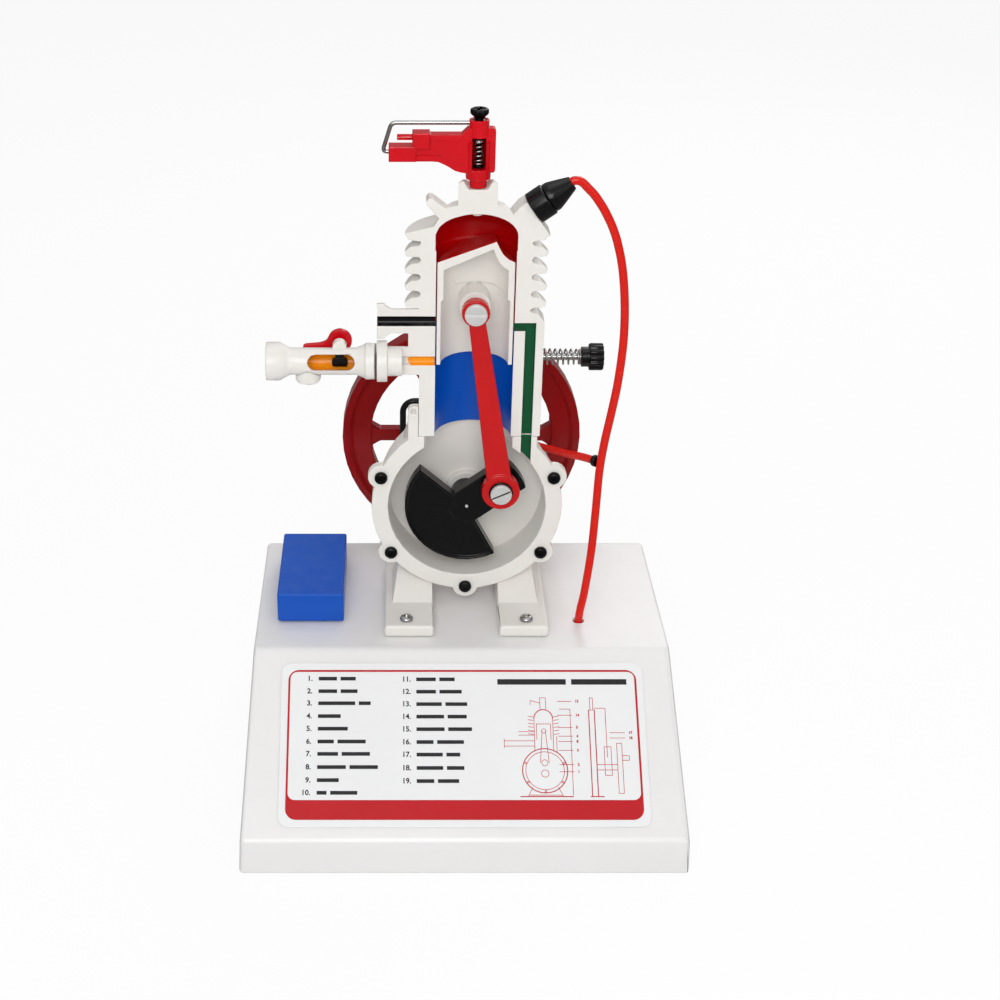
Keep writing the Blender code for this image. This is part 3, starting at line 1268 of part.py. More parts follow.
def build_choke():
    """Build the choke's pin with its flap, and the lever on the pin's rear end."""
    x = CYLINDER_OFFSET - CHOKE_X
    pivot = (x, 0, CHOKE_HEIGHT)
    rear = LEVER_DEPTH + LEVER_THICKNESS
    front = CHOKE_DEPTH - CHOKE_HALF_DEPTH
    flap = cylinder("choke_flap", CHOKE_PIN, (x, front - RUNNING - CHOKE_BLIND + SEAT,
                                             CHOKE_HEIGHT),
                    (x, rear - SEAT, CHOKE_HEIGHT), SMALL_STEPS, MODEL)
    stem = box("flap_stem", (x - CHOKE_STEM_HALF, front + CHOKE_HALF_DEPTH / 2,
                             CHOKE_LOBE_LOW + SEAT),
               (x + CHOKE_STEM_HALF, CHOKE_DEPTH + CHOKE_HALF_DEPTH / 2, CHOKE_HEIGHT))
    lobe = plate("flap_lobe", [rounded(rectangle(x - CHOKE_LOBE_HALF, x + CHOKE_LOBE_HALF,
                                                 CHOKE_LOBE_LOW, CHOKE_LOBE_TOP),
                                       CHOKE_LOBE_HALF / 3)], front,
                 CHOKE_DEPTH + CHOKE_HALF_DEPTH)
    join(flap, stem, lobe)
    place_on_axis(flap, pivot)
    dress(flap, BLACK_PLASTIC)

    tail = (x - LEVER_TAIL, CHOKE_HEIGHT - LEVER_TAIL_DROP)
    head = (x, CHOKE_HEIGHT)
    outline = (arc(head, LEVER_HEAD, -math.pi / 2, math.pi * 0.9, 16)
               + [(x - LEVER_HEAD * along, CHOKE_HEIGHT - LEVER_HEAD * down)
                  for along, down in LEVER_SWEEP_SHARES]
               + arc(tail, LEVER_TAIL_RADIUS, math.pi * 0.55, math.pi * 1.5, 5))
    lever = plate("choke_lever", [outline], LEVER_DEPTH, rear, MODEL)
    cut(lever, cylinder("lever_hole", CHOKE_PIN + SEAT, (x, LEVER_DEPTH - OVERRUN, CHOKE_HEIGHT),
                        (x, rear + OVERRUN, CHOKE_HEIGHT), SMALL_STEPS))
    place_on_axis(lever, pivot)
    dress(lever, RED_PLASTIC)


# Piston, wrist pin and connecting rod


def piston_outline(inset, low):
    """Return the piston's outline with its deflector, drawn in by a wall."""
    radius = PISTON_RADIUS - inset
    shares = ((1.0, 0.0), (0.84, 0.13), (0.69, 0.38), (0.575, 0.74), (0.51, 1.0))
    rise = CROWN_PEAK - CROWN_EDGE
    drop = 0.0 if inset == 0.0 else CROWN_WALL
    right = [(CYLINDER_OFFSET + radius * share, CROWN_EDGE + rise * height - drop)
             for share, height in shares]
    return ([(CYLINDER_OFFSET - radius, low), (CYLINDER_OFFSET + radius, low)] + right
            + [(CYLINDER_OFFSET - radius, CROWN_EDGE - drop)])


def build_piston():
    """Build the sectioned piston, open at its face, with the boss that holds the wrist pin."""
    middle = CYLINDER_OFFSET
    piston = cylinder("piston", PISTON_RADIUS, (middle, 0, SKIRT_LOW), (middle, 0, CROWN_PEAK),
                      ROUND_STEPS, MODEL)
    crown = plate("crown_shape", [piston_outline(0.0, SKIRT_LOW - OVERRUN)], 0,
                  PISTON_RADIUS + OVERRUN)
    combine(piston, crown, "INTERSECT")
    # the crown follows the combustion space at the top of the stroke
    low = SKIRT_LOW - OVERRUN * 2
    limit = turned("crown_limit", dome_profile(TOP_TRAVEL + CROWN_CLEARANCE)
                   + [(DOME_RADIUS, low), (0, low)], ROUND_STEPS)
    limit.matrix_local = Matrix.Translation((middle, 0, 0)) @ Matrix.Rotation(
        math.pi / ROUND_STEPS, 4, "Z")
    combine(piston, limit, "INTERSECT")
    core = cylinder("piston_core", PISTON_RADIUS - PISTON_WALL, (middle, 0, SKIRT_LOW),
                    (middle, 0, CROWN_PEAK), ROUND_STEPS)
    core_top = plate("core_shape", [piston_outline(PISTON_WALL, SKIRT_ARCH - ARCH_CORNER)],
                     -PISTON_RADIUS, PISTON_RADIUS)
    combine(core, core_top, "INTERSECT")
    skirt = cylinder("skirt_core", PISTON_RADIUS - SKIRT_WALL, (middle, 0, SKIRT_LOW - OVERRUN),
                     (middle, 0, SKIRT_ARCH), ROUND_STEPS)
    wide = PISTON_RADIUS + OVERRUN
    arch = plate("arch_shape", [[
        (middle - wide, SKIRT_LOW - OVERRUN * 2), (middle + wide, SKIRT_LOW - OVERRUN * 2),
        (middle + wide, SKIRT_ARCH - ARCH_CORNER), (middle + PISTON_RADIUS / 2, SKIRT_ARCH),
        (middle - PISTON_RADIUS / 2, SKIRT_ARCH), (middle - wide, SKIRT_ARCH - ARCH_CORNER)]],
        -PISTON_RADIUS, PISTON_RADIUS)
    combine(skirt, arch, "INTERSECT")
    cut(piston, core, skirt)
    boss = cylinder("pin_boss", PIN_BOSS, (middle, PIN_BOSS_FRONT, WRIST_HEIGHT),
                    (middle, PISTON_RADIUS - PISTON_WALL / 2, WRIST_HEIGHT))
    join(piston, boss)
    cut(piston, cylinder("wrist_hole", WRIST_SHANK + SEAT, (middle, -OVERRUN, WRIST_HEIGHT),
                         (middle, WRIST_GRIP + SEAT, WRIST_HEIGHT), SMALL_STEPS))
    place_on_axis(piston, (middle, 0, WRIST_HEIGHT))
    dress(piston, WHITE_PAINT)


def slotted_pin(name, head, shank, collar, collar_ends, tail, centre, turn):
    """Build a pin with a slotted head in front, a collar on its shank and a plain tail."""
    head_back = -ROD_FRONT - RUNNING
    if name == "crank_pin":
        head_back -= BUSH_FLANGE_THICKNESS + SEAT
    front = head_back - PIN_HEAD_HEIGHT
    edge = PIN_HEAD_HEIGHT / 5
    profile = [(0, tail), (shank, tail), (shank, collar_ends[1]), (collar, collar_ends[1]),
               (collar, collar_ends[0]), (shank, collar_ends[0]), (shank, head_back),
               (head, head_back), (head, front + edge), (head - edge, front), (0, front)]
    pin = turned(name, profile, MID_STEPS, MODEL)
    pin.matrix_local = Matrix.Translation(centre) @ UP_Y
    slot = box(name + "_slot", (-head - OVERRUN, front - OVERRUN, -SLOT_WIDTH / 2),
               (head + OVERRUN, front + SLOT_DEPTH, SLOT_WIDTH / 2))
    slot.data.transform(Matrix.Translation(centre) @ Matrix.Rotation(-turn, 4, "Y"))
    cut(pin, slot)
    dress(pin, STEEL)
    return pin


def build_rod():
    """Build the connecting rod, its bush and the two pins."""
    small = Vector((WRIST_X, 0, WRIST_HEIGHT))
    big = Vector((CRANK_PIN_X, 0, CRANK_PIN_HEIGHT))
    rod = cylinder("connecting_rod", SMALL_END, small - Vector((0, ROD_FRONT, 0)),
                   small - Vector((0, ROD_BACK, 0)), MID_STEPS, MODEL)
    along = (big - small).normalized()
    across = Vector((-along.z, 0, along.x))
    corners = [small + across * BLADE_TOP_HALF, small - across * BLADE_TOP_HALF,
               big - across * BLADE_LOW_HALF, big + across * BLADE_LOW_HALF]
    blade = plate("rod_blade", [[(point.x, point.z) for point in corners]], -BLADE_FRONT,
                  -BLADE_BACK)
    bevel(blade, (BLADE_FRONT - BLADE_BACK) / 8, 1)
    end = cylinder("big_end", BIG_END, big - Vector((0, ROD_FRONT, 0)),
                   big - Vector((0, ROD_BACK, 0)), 36)
    join(rod, blade, end)
    bush_radius = CRANK_SHANK + RUNNING + BUSH_WALL
    for name, centre, radius in (("small_eye", small, WRIST_SHANK + RUNNING),
                                 ("big_eye", big, bush_radius + SEAT)):
        cut(rod, cylinder(name, radius, centre - Vector((0, ROD_FRONT + OVERRUN, 0)),
                          centre - Vector((0, ROD_BACK - OVERRUN, 0)), 20))
    place_on_axis(rod, small)
    dress(rod, RED_PAINT)

    front = -ROD_FRONT - SEAT
    bush = turned("crank_pin_bush", (
        (CRANK_SHANK + RUNNING, -ROD_BACK), (bush_radius, -ROD_BACK), (bush_radius, front),
        (BUSH_FLANGE, front), (BUSH_FLANGE, front - BUSH_FLANGE_THICKNESS),
        (CRANK_SHANK + RUNNING, front - BUSH_FLANGE_THICKNESS)), MID_STEPS, MODEL, closed=True)
    bush.matrix_local = Matrix.Translation(big) @ UP_Y
    dress(bush, BLACK_PLASTIC)

    slotted_pin("wrist_pin", WRIST_HEAD, WRIST_SHANK, WRIST_COLLAR,
                (-ROD_BACK + RUNNING, PIN_BOSS_FRONT - SEAT), WRIST_GRIP, small, 0.0)
    slotted_pin("crank_pin", CRANK_HEAD, CRANK_SHANK, WRIST_COLLAR,
                (-ROD_BACK + RUNNING, WEB_FRONT - SEAT * 2), WEB_FRONT - SEAT, big, CRANK_SLOT_TURN)


# Crank web, shaft, flywheel and handle


def build_crank():
    """Build the crank web with its counterweight, and the shaft behind it."""
    rear = WEB_FRONT + WEB_THICKNESS
    web = cylinder("crank_web", WEB_COLLAR, (0, rear - WEB_RECESS, 0), (0, BOSS_FRONT - SEAT, 0),
                   MID_STEPS, MODEL)
    pin = math.atan2(CRANK_PIN_HEIGHT, CRANK_PIN_X)
    swing = math.asin(WEB_ARM_HALF / WEB_RADIUS)
    square = math.pi / 2
    outline = (arc((0, 0), WEB_RADIUS, pin - swing, pin + swing, 6)
               + arc((0, 0), WEB_ARM_HALF, pin + square, SECTOR_START, 2)
               + arc((0, 0), WEB_RADIUS, SECTOR_START, SECTOR_END, 18)
               + arc((0, 0), WEB_ARM_HALF, SECTOR_END, pin - square + math.tau, 2))
    join(web, plate("web_plate", [outline], WEB_FRONT, rear))
    inner = WEB_RADIUS - WEB_RIM
    shift = math.asin(WEB_RIM / inner)
    apex = WEB_ARM_HALF
    spread = math.asin(WEB_RIM / apex)
    recess = (arc((0, 0), inner, SECTOR_START + shift, SECTOR_END - shift, 16)
              + arc((0, 0), apex, SECTOR_END - spread, SECTOR_START + spread, 8))
    cut(web, plate("web_recess", [recess], -OVERRUN, WEB_FRONT + WEB_RECESS))
    cut(web, cylinder("centre_dot", CENTRE_DOT, (0, -OVERRUN, 0),
                      (0, WEB_FRONT + CENTRE_DOT_DEPTH, 0), 10))
    nose = WEB_FRONT + SHAFT_NOSE
    cut(web, cylinder("web_socket", SHAFT_RADIUS + SEAT, (0, nose - SEAT, 0),
                      (0, BOSS_FRONT + OVERRUN, 0), 20))
    dress(web, BLACK_PLASTIC)

    end = FLYWHEEL_REAR + SHAFT_TAIL
    edge = SHAFT_RADIUS / 5
    shaft = turned("crankshaft", ((0, end), (SHAFT_RADIUS - edge, end), (SHAFT_RADIUS, end - edge),
                                  (SHAFT_RADIUS, nose), (0, nose)), 20, MODEL)
    shaft.matrix_local = UP_Y
    dress(shaft, STEEL)


def build_flywheel():
    """Build the six-spoked flywheel, its nut, and the handle's bolt and grip."""
    front = FLYWHEEL_FRONT
    rear = FLYWHEEL_REAR
    lip = FLYWHEEL_RADIUS - FLYWHEEL_LIP
    recess = FLYWHEEL_RECESS
    wheel = turned("flywheel", (
        (FLYWHEEL_INNER, rear - recess), (lip - recess, rear - recess), (lip, rear),
        (FLYWHEEL_RADIUS, rear), (FLYWHEEL_RADIUS, front), (lip, front),
        (lip - recess, front + recess), (FLYWHEEL_INNER, front + recess)), 48, MODEL, closed=True)
    wheel.matrix_local = UP_Y
    middle = (front + rear) / 2
    hub = cylinder("wheel_hub", HUB_RADIUS, (0, HUB_FRONT, 0), (0, rear, 0))
    join(wheel, hub)
    for index in range(SPOKE_COUNT):
        turn = Matrix.Rotation(math.tau * index / SPOKE_COUNT, 4, "Y")
        reach = FLYWHEEL_INNER + FLYWHEEL_LIP / 2
        wide = SPOKE_HALF + SPOKE_FLARE
        spoke = plate("spoke_%d" % index, [[
            (HUB_RADIUS / 2, -wide), (HUB_RADIUS + SPOKE_FLARE, -SPOKE_HALF),
            (FLYWHEEL_INNER - SPOKE_FLARE * 2, -SPOKE_HALF), (reach, -wide * 1.3),
            (reach, wide * 1.3), (FLYWHEEL_INNER - SPOKE_FLARE * 2, SPOKE_HALF),
            (HUB_RADIUS + SPOKE_FLARE, SPOKE_HALF), (HUB_RADIUS / 2, wide)]],
            middle - SPOKE_HALF_DEPTH, middle + SPOKE_HALF_DEPTH)
        spoke.data.transform(turn)
        join(wheel, spoke)
    x = HANDLE_CIRCLE * math.cos(HANDLE_TURN)
    z = HANDLE_CIRCLE * math.sin(HANDLE_TURN)
    boss_front = middle - SPOKE_HALF_DEPTH - SEAT
    join(wheel, cylinder("handle_boss", HANDLE_BOSS, (x, middle, z), (x, rear, z), 20))
    cut(wheel, cylinder("handle_bolt_hole", HANDLE_BOLT + SEAT, (x, front, z),
                        (x, rear + OVERRUN, z), SMALL_STEPS),
        cylinder("wheel_bore", SHAFT_RADIUS + SEAT, (0, HUB_FRONT - OVERRUN, 0),
                 (0, rear + OVERRUN, 0), 20))
    dress(wheel, RED_PAINT)

    nut_front = rear + SEAT
    nut = cylinder("flywheel_nut", NUT_RADIUS, (0, nut_front, 0),
                   (0, nut_front + NUT_THICKNESS, 0), 6, MODEL)
    cut(nut, cylinder("nut_bore", SHAFT_RADIUS + SEAT, (0, rear - OVERRUN, 0),
                      (0, nut_front + NUT_THICKNESS + OVERRUN, 0), 20))
    dress(nut, STEEL)

    grip_front = rear + SEAT
    grip_rear = grip_front + HANDLE_LENGTH
    bolt = turned("handle_bolt", (
        (0, grip_rear + SEAT + HANDLE_BOLT_HEAD_HEIGHT),
        (HANDLE_BOLT_HEAD, grip_rear + SEAT + HANDLE_BOLT_HEAD_HEIGHT / 2),
        (HANDLE_BOLT_HEAD, grip_rear + SEAT), (HANDLE_BOLT, grip_rear + SEAT),
        (HANDLE_BOLT, boss_front), (0, boss_front)), SMALL_STEPS, MODEL)
    bolt.matrix_local = Matrix.Translation((x, 0, z)) @ UP_Y
    dress(bolt, STEEL)
    third = HANDLE_LENGTH / 3
    edge = HANDLE_RADIUS / 5
    grip = turned("handle_grip", (
        (HANDLE_BOLT + RUNNING, grip_rear), (HANDLE_RADIUS - edge, grip_rear),
        (HANDLE_RADIUS, grip_rear - edge), (HANDLE_RADIUS, grip_rear - third),
        (HANDLE_WAIST, grip_front + third), (HANDLE_RADIUS, grip_front + edge),
        (HANDLE_RADIUS - edge, grip_front), (HANDLE_BOLT + RUNNING, grip_front)), 20, MODEL,
        closed=True)
    grip.matrix_local = Matrix.Translation((x, 0, z)) @ UP_Y
    dress(grip, BLACK_PLASTIC)


# Fuel pump, driven by a cam on the shaft


def build_pump():
    """Build the pump: cam, housing with barrel, cover, plunger, spring, head and valve."""
    cam = cylinder("pump_cam", CAM_RADIUS, (0, PUMP_Y - CAM_HALF, CAM_THROW),
                   (0, PUMP_Y + CAM_HALF, CAM_THROW), MID_STEPS, MODEL)
    cut(cam, cylinder("cam_bore", SHAFT_RADIUS + SEAT, (0, PUMP_Y - CAM_HALF - OVERRUN, 0),
                      (0, PUMP_Y + CAM_HALF + OVERRUN, 0), 20))
    place_on_axis(cam, (0, PUMP_Y, 0))
    dress(cam, STEEL)

    housing = cylinder("pump_housing", HOUSING_RADIUS, (0, HOUSING_FRONT, 0),
                       (0, HOUSING_REAR, 0), 36, MODEL)
    barrel = cylinder("pump_barrel", PUMP_BARREL, (0, PUMP_Y, 0), (0, PUMP_Y, PUMP_TOP))
    union = cylinder("delivery_union", UNION_RADIUS, (0, PUMP_Y, UNION_HEIGHT),
                     (UNION_END, PUMP_Y, UNION_HEIGHT), 20)
    join(housing, barrel, union)
    inside = cylinder("housing_hollow", HOUSING_RADIUS - HOUSING_WALL,
                      (0, HOUSING_FRONT + HOUSING_WALL, 0), (0, HOUSING_REAR + OVERRUN, 0), 36)
    shaft = cylinder("housing_shaft", SHAFT_RADIUS + RUNNING, (0, HOUSING_FRONT - OVERRUN, 0),
                     (0, HOUSING_REAR, 0), 20)
    chamber = cylinder("spring_chamber", PUMP_CHAMBER, (0, PUMP_Y, 0),
                       (0, PUMP_Y, PUMP_CHAMBER_TOP))
    bore = cylinder("plunger_bore", PLUNGER_RADIUS + RUNNING, (0, PUMP_Y, 0),
                    (0, PUMP_Y, PUMP_TOP + OVERRUN), SMALL_STEPS)
    suction = cylinder("suction_port", SUCTION_RADIUS + SEAT,
                       (-PUMP_BARREL - OVERRUN, PUMP_Y, SUCTION_HEIGHT),
                       (0, PUMP_Y, SUCTION_HEIGHT), SMALL_STEPS)
    cut(housing, inside, shaft, chamber, bore, suction)
    dress(housing, WHITE_PAINT)

    cover_rear = HOUSING_REAR + SEAT + COVER_THICKNESS
    cover = cylinder("pump_cover", HOUSING_RADIUS, (0, HOUSING_REAR + SEAT, 0),
                     (0, cover_rear, 0), 36, MODEL)
    join(cover, cylinder("cover_boss", COVER_BOSS, (0, HOUSING_REAR + COVER_THICKNESS / 2, 0),
                         (0, COVER_BOSS_END, 0)))
    cut(cover, cylinder("cover_bore", SHAFT_RADIUS + RUNNING, (0, HOUSING_REAR - OVERRUN, 0),
                        (0, COVER_BOSS_END + OVERRUN, 0), 20))
    dress(cover, WHITE_PAINT)

    foot = CAM_RADIUS + CAM_THROW + SEAT
    plunger = turned("pump_plunger", (
        (0, PLUNGER_TOP), (PLUNGER_RADIUS, PLUNGER_TOP),
        (PLUNGER_RADIUS, foot + PLUNGER_FOOT_HEIGHT), (PLUNGER_FOOT, foot + PLUNGER_FOOT_HEIGHT),
        (PLUNGER_FOOT, foot), (0, foot)), 20, MODEL)
    plunger.location = (0, PUMP_Y, 0)
    dress(plunger, STEEL)
    low = foot + PLUNGER_FOOT_HEIGHT + SEAT + PUMP_SPRING_WIRE
    rise = PUMP_CHAMBER_TOP - SEAT - PUMP_SPRING_WIRE - low
    spring = coil("pump_spring", PUMP_SPRING_WIRE, (PUMP_SPRING_RADIUS, PUMP_SPRING_RADIUS), low,
                  rise, PUMP_SPRING_TURNS, Matrix.Translation((0, PUMP_Y, 0)))
    dress(spring, STEEL)

    head_low = PUMP_TOP + SEAT
    head_top = head_low + PUMP_HEAD_HEIGHT
    head = box("pump_head", (-PUMP_HEAD_LEFT, PUMP_Y - PUMP_HEAD_HALF, head_low),
               (PUMP_HEAD_RIGHT, PUMP_Y + PUMP_HEAD_HALF, head_top), MODEL)
    bevel(head, PUMP_HEAD_EDGE, 1)
    join(head, cylinder("governor_sleeve", GOVERNOR_SLEEVE, (0, PUMP_Y, GOVERNOR_HEIGHT),
                        (GOVERNOR_SLEEVE_END, PUMP_Y, GOVERNOR_HEIGHT)))
    cut(head, cylinder("spindle_bore", SPINDLE_RADIUS + RUNNING, (-SPINDLE_SLOT / 2, PUMP_Y,
                                                                 GOVERNOR_HEIGHT),
                       (GOVERNOR_SLEEVE_END + OVERRUN, PUMP_Y, GOVERNOR_HEIGHT), SMALL_STEPS),
        cylinder("head_bore", PLUNGER_RADIUS + RUNNING, (0, PUMP_Y, head_low - OVERRUN),
                 (0, PUMP_Y, head_low + PUMP_HEAD_HEIGHT / 4), SMALL_STEPS),
        cylinder("valve_bore", VALVE_SPIGOT + SEAT,
                 (0, PUMP_Y, head_top - VALVE_SPIGOT_LENGTH - SEAT * 2),
                 (0, PUMP_Y, head_top + OVERRUN), SMALL_STEPS))
    dress(head, WHITE_PAINT)

    seat = head_top + SEAT
    top = seat + VALVE_HEIGHT
    valve = turned("pressure_valve", (
        (0, top), (VALVE_SPIGOT, top), (VALVE_SPIGOT, top - VALVE_HEIGHT / 3),
        (VALVE_RADIUS, top - VALVE_HEIGHT / 3 - SEAT), (VALVE_RADIUS, seat), (VALVE_SPIGOT, seat),
        (VALVE_SPIGOT, seat - VALVE_SPIGOT_LENGTH), (0, seat - VALVE_SPIGOT_LENGTH)), 6 * 3, MODEL)
    valve.location = (0, PUMP_Y, 0)
    dress(valve, STEEL)

    bend = SUCTION_BEND
    centre = (-SUCTION_X + bend, SUCTION_HEIGHT - bend)
    path = [(-PUMP_BARREL + SEAT * 3, SUCTION_HEIGHT)]
    path += arc(centre, bend, math.pi / 2, math.pi, 6)
    path += [(-SUCTION_X, -CRANK_ABOVE_DECK - BASE_WALL)]
    pipe = tube("suction_pipe", [(x, PUMP_Y, z) for x, z in path], SUCTION_RADIUS, 2)
    dress(pipe, BLACK_PLASTIC)


def build_governor():
    """Build the governor spindle, its spring and its ribbed knob."""
    end = SPRING_END + SEAT + SPRING_WIRE + KNOB_COLLAR_LENGTH
    tip = end + KNOB_LENGTH
    pivot = (SPRING_END, PUMP_Y, GOVERNOR_HEIGHT)
    spindle = cylinder("governor_spindle", SPINDLE_RADIUS, (SPINDLE_SLOT / 4, PUMP_Y,
                                                           GOVERNOR_HEIGHT),
                       (tip - KNOB_LENGTH / 4, PUMP_Y, GOVERNOR_HEIGHT), SMALL_STEPS, MODEL)
    place_on_axis(spindle, pivot)
    dress(spindle, STEEL)

    turn = Matrix.Translation((0, PUMP_Y, GOVERNOR_HEIGHT)) @ UP_X
    spring = coil("governor_spring", SPRING_WIRE, (SPRING_START_RADIUS, SPRING_END_RADIUS),
                  SPRING_START, SPRING_END - SPRING_START, SPRING_TURNS, turn)
    dress(spring, STEEL)

    collar = end - KNOB_COLLAR_LENGTH
    knob = turned("governor_knob", (
        (0, tip), (KNOB_RADIUS - KNOB_RIB_DEPTH, tip), (KNOB_RADIUS, tip - KNOB_RIB_DEPTH),
        (KNOB_RADIUS, end + KNOB_RIB_DEPTH), (KNOB_RADIUS - KNOB_RIB_DEPTH, end),
        (KNOB_COLLAR, end), (KNOB_COLLAR, collar), (0, collar)), 36, MODEL)
    knob.matrix_local = turn
    cut(knob, cylinder("knob_bore", SPINDLE_RADIUS + SEAT, (collar - OVERRUN, PUMP_Y,
                                                           GOVERNOR_HEIGHT),
                       (tip - KNOB_LENGTH / 4 + SEAT, PUMP_Y, GOVERNOR_HEIGHT), SMALL_STEPS))
    for index in range(KNOB_RIBS):
        angle = math.tau * (index + 0.5) / KNOB_RIBS
        y = PUMP_Y + (KNOB_RADIUS + KNOB_RIB_DEPTH / 3) * math.cos(angle)
        z = GOVERNOR_HEIGHT + (KNOB_RADIUS + KNOB_RIB_DEPTH / 3) * math.sin(angle)
        cut(knob, cylinder("rib_cut_%d" % index, KNOB_RIB_DEPTH, (end - RUNNING, y, z),
                           (tip + OVERRUN, y, z), 8))
    dress(knob, BLACK_PLASTIC)


# Injector and injection nozzle


def build_injector():
    """Build the injector's collar on its slanted seat and the cone in front of it."""
    frame = injector_frame()
    edge = INJECTOR_COLLAR / 12
    collar = turned("injector_collar", (
        (0, INJECTOR_COLLAR_LENGTH), (INJECTOR_COLLAR - edge, INJECTOR_COLLAR_LENGTH),
        (INJECTOR_COLLAR, INJECTOR_COLLAR_LENGTH - edge), (INJECTOR_COLLAR, SEAT),
        (INJECTOR_SPIGOT, SEAT), (INJECTOR_SPIGOT, -INJECTOR_SPIGOT_LENGTH),
        (0, -INJECTOR_SPIGOT_LENGTH)), 32, MODEL)
    collar.matrix_local = frame
    dress(collar, BLACK_PLASTIC)
    low = INJECTOR_COLLAR_LENGTH + SEAT
    top = low + INJECTOR_CONE_LENGTH
    cone = turned("injector_cone", (
        (0, top), (INJECTOR_TIP, top), (INJECTOR_CONE, low + INJECTOR_CONE_LENGTH / 7),
        (INJECTOR_CONE, low), (0, low)), 32, MODEL)
    cone.matrix_local = frame
    mouth = cylinder("cone_mouth", HOSE_RADIUS + SEAT, (0, 0, top - HOSE_RADIUS * 2),
                     (0, 0, top + OVERRUN), SMALL_STEPS)
    mouth.data.transform(frame)
    cut(cone, mouth)
    dress(cone, BLACK_PLASTIC)


def build_nozzle():
    """Build the red nozzle holder with its arm, and the pieces that it holds."""
    middle = CYLINDER_OFFSET
    floor = STUB_FLOOR + SEAT
    holder = turned("nozzle_holder", (
        (0, NOZZLE_TOP), (NOZZLE_NECK, NOZZLE_TOP), (NOZZLE_NECK, NOZZLE_BODY_TOP - SEAT),
        (NOZZLE_COLLAR, NOZZLE_BODY_TOP - OVERRUN), (NOZZLE_COLLAR, NOZZLE_COLLAR_LOW),
        (NOZZLE_STEM, NOZZLE_COLLAR_LOW), (NOZZLE_STEM, floor), (NOZZLE_TIP, floor),
        (NOZZLE_TIP, floor - NOZZLE_TIP_LENGTH), (0, floor - NOZZLE_TIP_LENGTH)), MID_STEPS, MODEL)
    holder.location = (middle, NOZZLE_Y, 0)
    y = NOZZLE_Y
    lobe = plate("holder_lobe", [rounded(rectangle(middle, middle + LOBE_X, LOBE_LOW, LOBE_TOP),
                                         ARM_PIN_RADIUS)], y - LOBE_HALF_DEPTH,
                 y + LOBE_HALF_DEPTH)
    drop = NOZZLE_BODY_LOW - OVERRUN
    arm_top = ARM_UPPER_TOP - ARM_TOP_DROP
    ramp_top = NOZZLE_BODY_TOP + ARM_RAMP_RISE
    arm = plate("holder_arm", [
        [(middle, drop), (middle - NOZZLE_BODY_HALF, drop)]
        + [(middle - NOZZLE_BODY_HALF * along, ARM_LOWER_LOW - NOZZLE_BODY_HALF * down)
           for along, down in ARM_SWEEP_SHARES]
        + [(middle - ARM_UPPER_START, ARM_LOWER_LOW), (middle - ARM_END, ARM_LOWER_LOW),
           (middle - ARM_END, ARM_UPPER_LOW + ARM_PIN_RADIUS),
           (middle - ARM_UPPER_START, arm_top), (middle - ARM_RAMP_LOW, arm_top),
           (middle - ARM_RAMP_HIGH, ramp_top), (middle, ramp_top)]],
        y - ARM_HALF_DEPTH, y + ARM_HALF_DEPTH)
    upper_rib = box("arm_upper_rib", (middle - ARM_END + OVERRUN, y - ARM_RIB_HALF,
                                      arm_top - ARM_RIB_UPPER - SEAT),
                    (middle - ARM_RAMP_LOW, y + ARM_RIB_HALF, arm_top - SEAT))
    lower_rib = box("arm_lower_rib", (middle - ARM_END, y - ARM_RIB_HALF, ARM_LOWER_LOW + SEAT),
                    (middle - NOZZLE_BODY_HALF * 3, y + ARM_RIB_HALF,
                     ARM_LOWER_LOW + ARM_RIB_LOWER + SEAT))
    upper = box("arm_upper", (middle - ARM_END, y - BLOCK_HALF_DEPTH, ARM_UPPER_LOW),
                (middle - ARM_UPPER_START, y + BLOCK_HALF_DEPTH, ARM_UPPER_TOP))
    lower = box("arm_lower", (middle - ARM_LOWER_END, y - BLOCK_HALF_DEPTH, ARM_LOWER_LOW),
                (middle - ARM_END + OVERRUN, y + BLOCK_HALF_DEPTH, ARM_LOWER_TOP))
    bevel(upper, RUNNING, 1)
    bevel(lower, RUNNING, 1)
    peg = cylinder("arm_peg", ARM_PIN_RADIUS, (middle - ARM_PIN_END, y, ARM_PIN_HEIGHT),
                   (middle - ARM_UPPER_START, y, ARM_PIN_HEIGHT), SMALL_STEPS)
    join(holder, lobe, arm, upper_rib, lower_rib, upper, lower, peg)
    window_low = NOZZLE_BODY_LOW + RUNNING
    bore = cylinder("holder_bore", NOZZLE_BORE, (middle, y, window_low),
                    (middle, y, NOZZLE_TOP + OVERRUN), 20)
    window = box("holder_window", (middle - NOZZLE_WINDOW_HALF, y - NOZZLE_COLLAR * 2, window_low),
                 (middle + NOZZLE_WINDOW_HALF, y, NOZZLE_BODY_TOP))
    grip = cylinder("wire_hole_upper", WIRE_RADIUS + SEAT,
                    (middle - NOZZLE_NECK * 2, y, WIRE_HEIGHT),
                    (middle - NOZZLE_NECK + WIRE_GRIP / 2, y, WIRE_HEIGHT), SMALL_STEPS)
    foot = cylinder("wire_hole_lower", WIRE_RADIUS + SEAT,
                    (middle - WIRE_FOOT_X, y, WIRE_FOOT_HEIGHT),
                    (middle - ARM_LOWER_END + WIRE_GRIP + SEAT, y, WIRE_FOOT_HEIGHT), SMALL_STEPS)
    cut(holder, bore, window, grip, foot)
    dress(holder, RED_PLASTIC)

    wire = tube("socket_wire", wire_route(middle, y), WIRE_RADIUS, 2)
    dress(wire, STEEL)

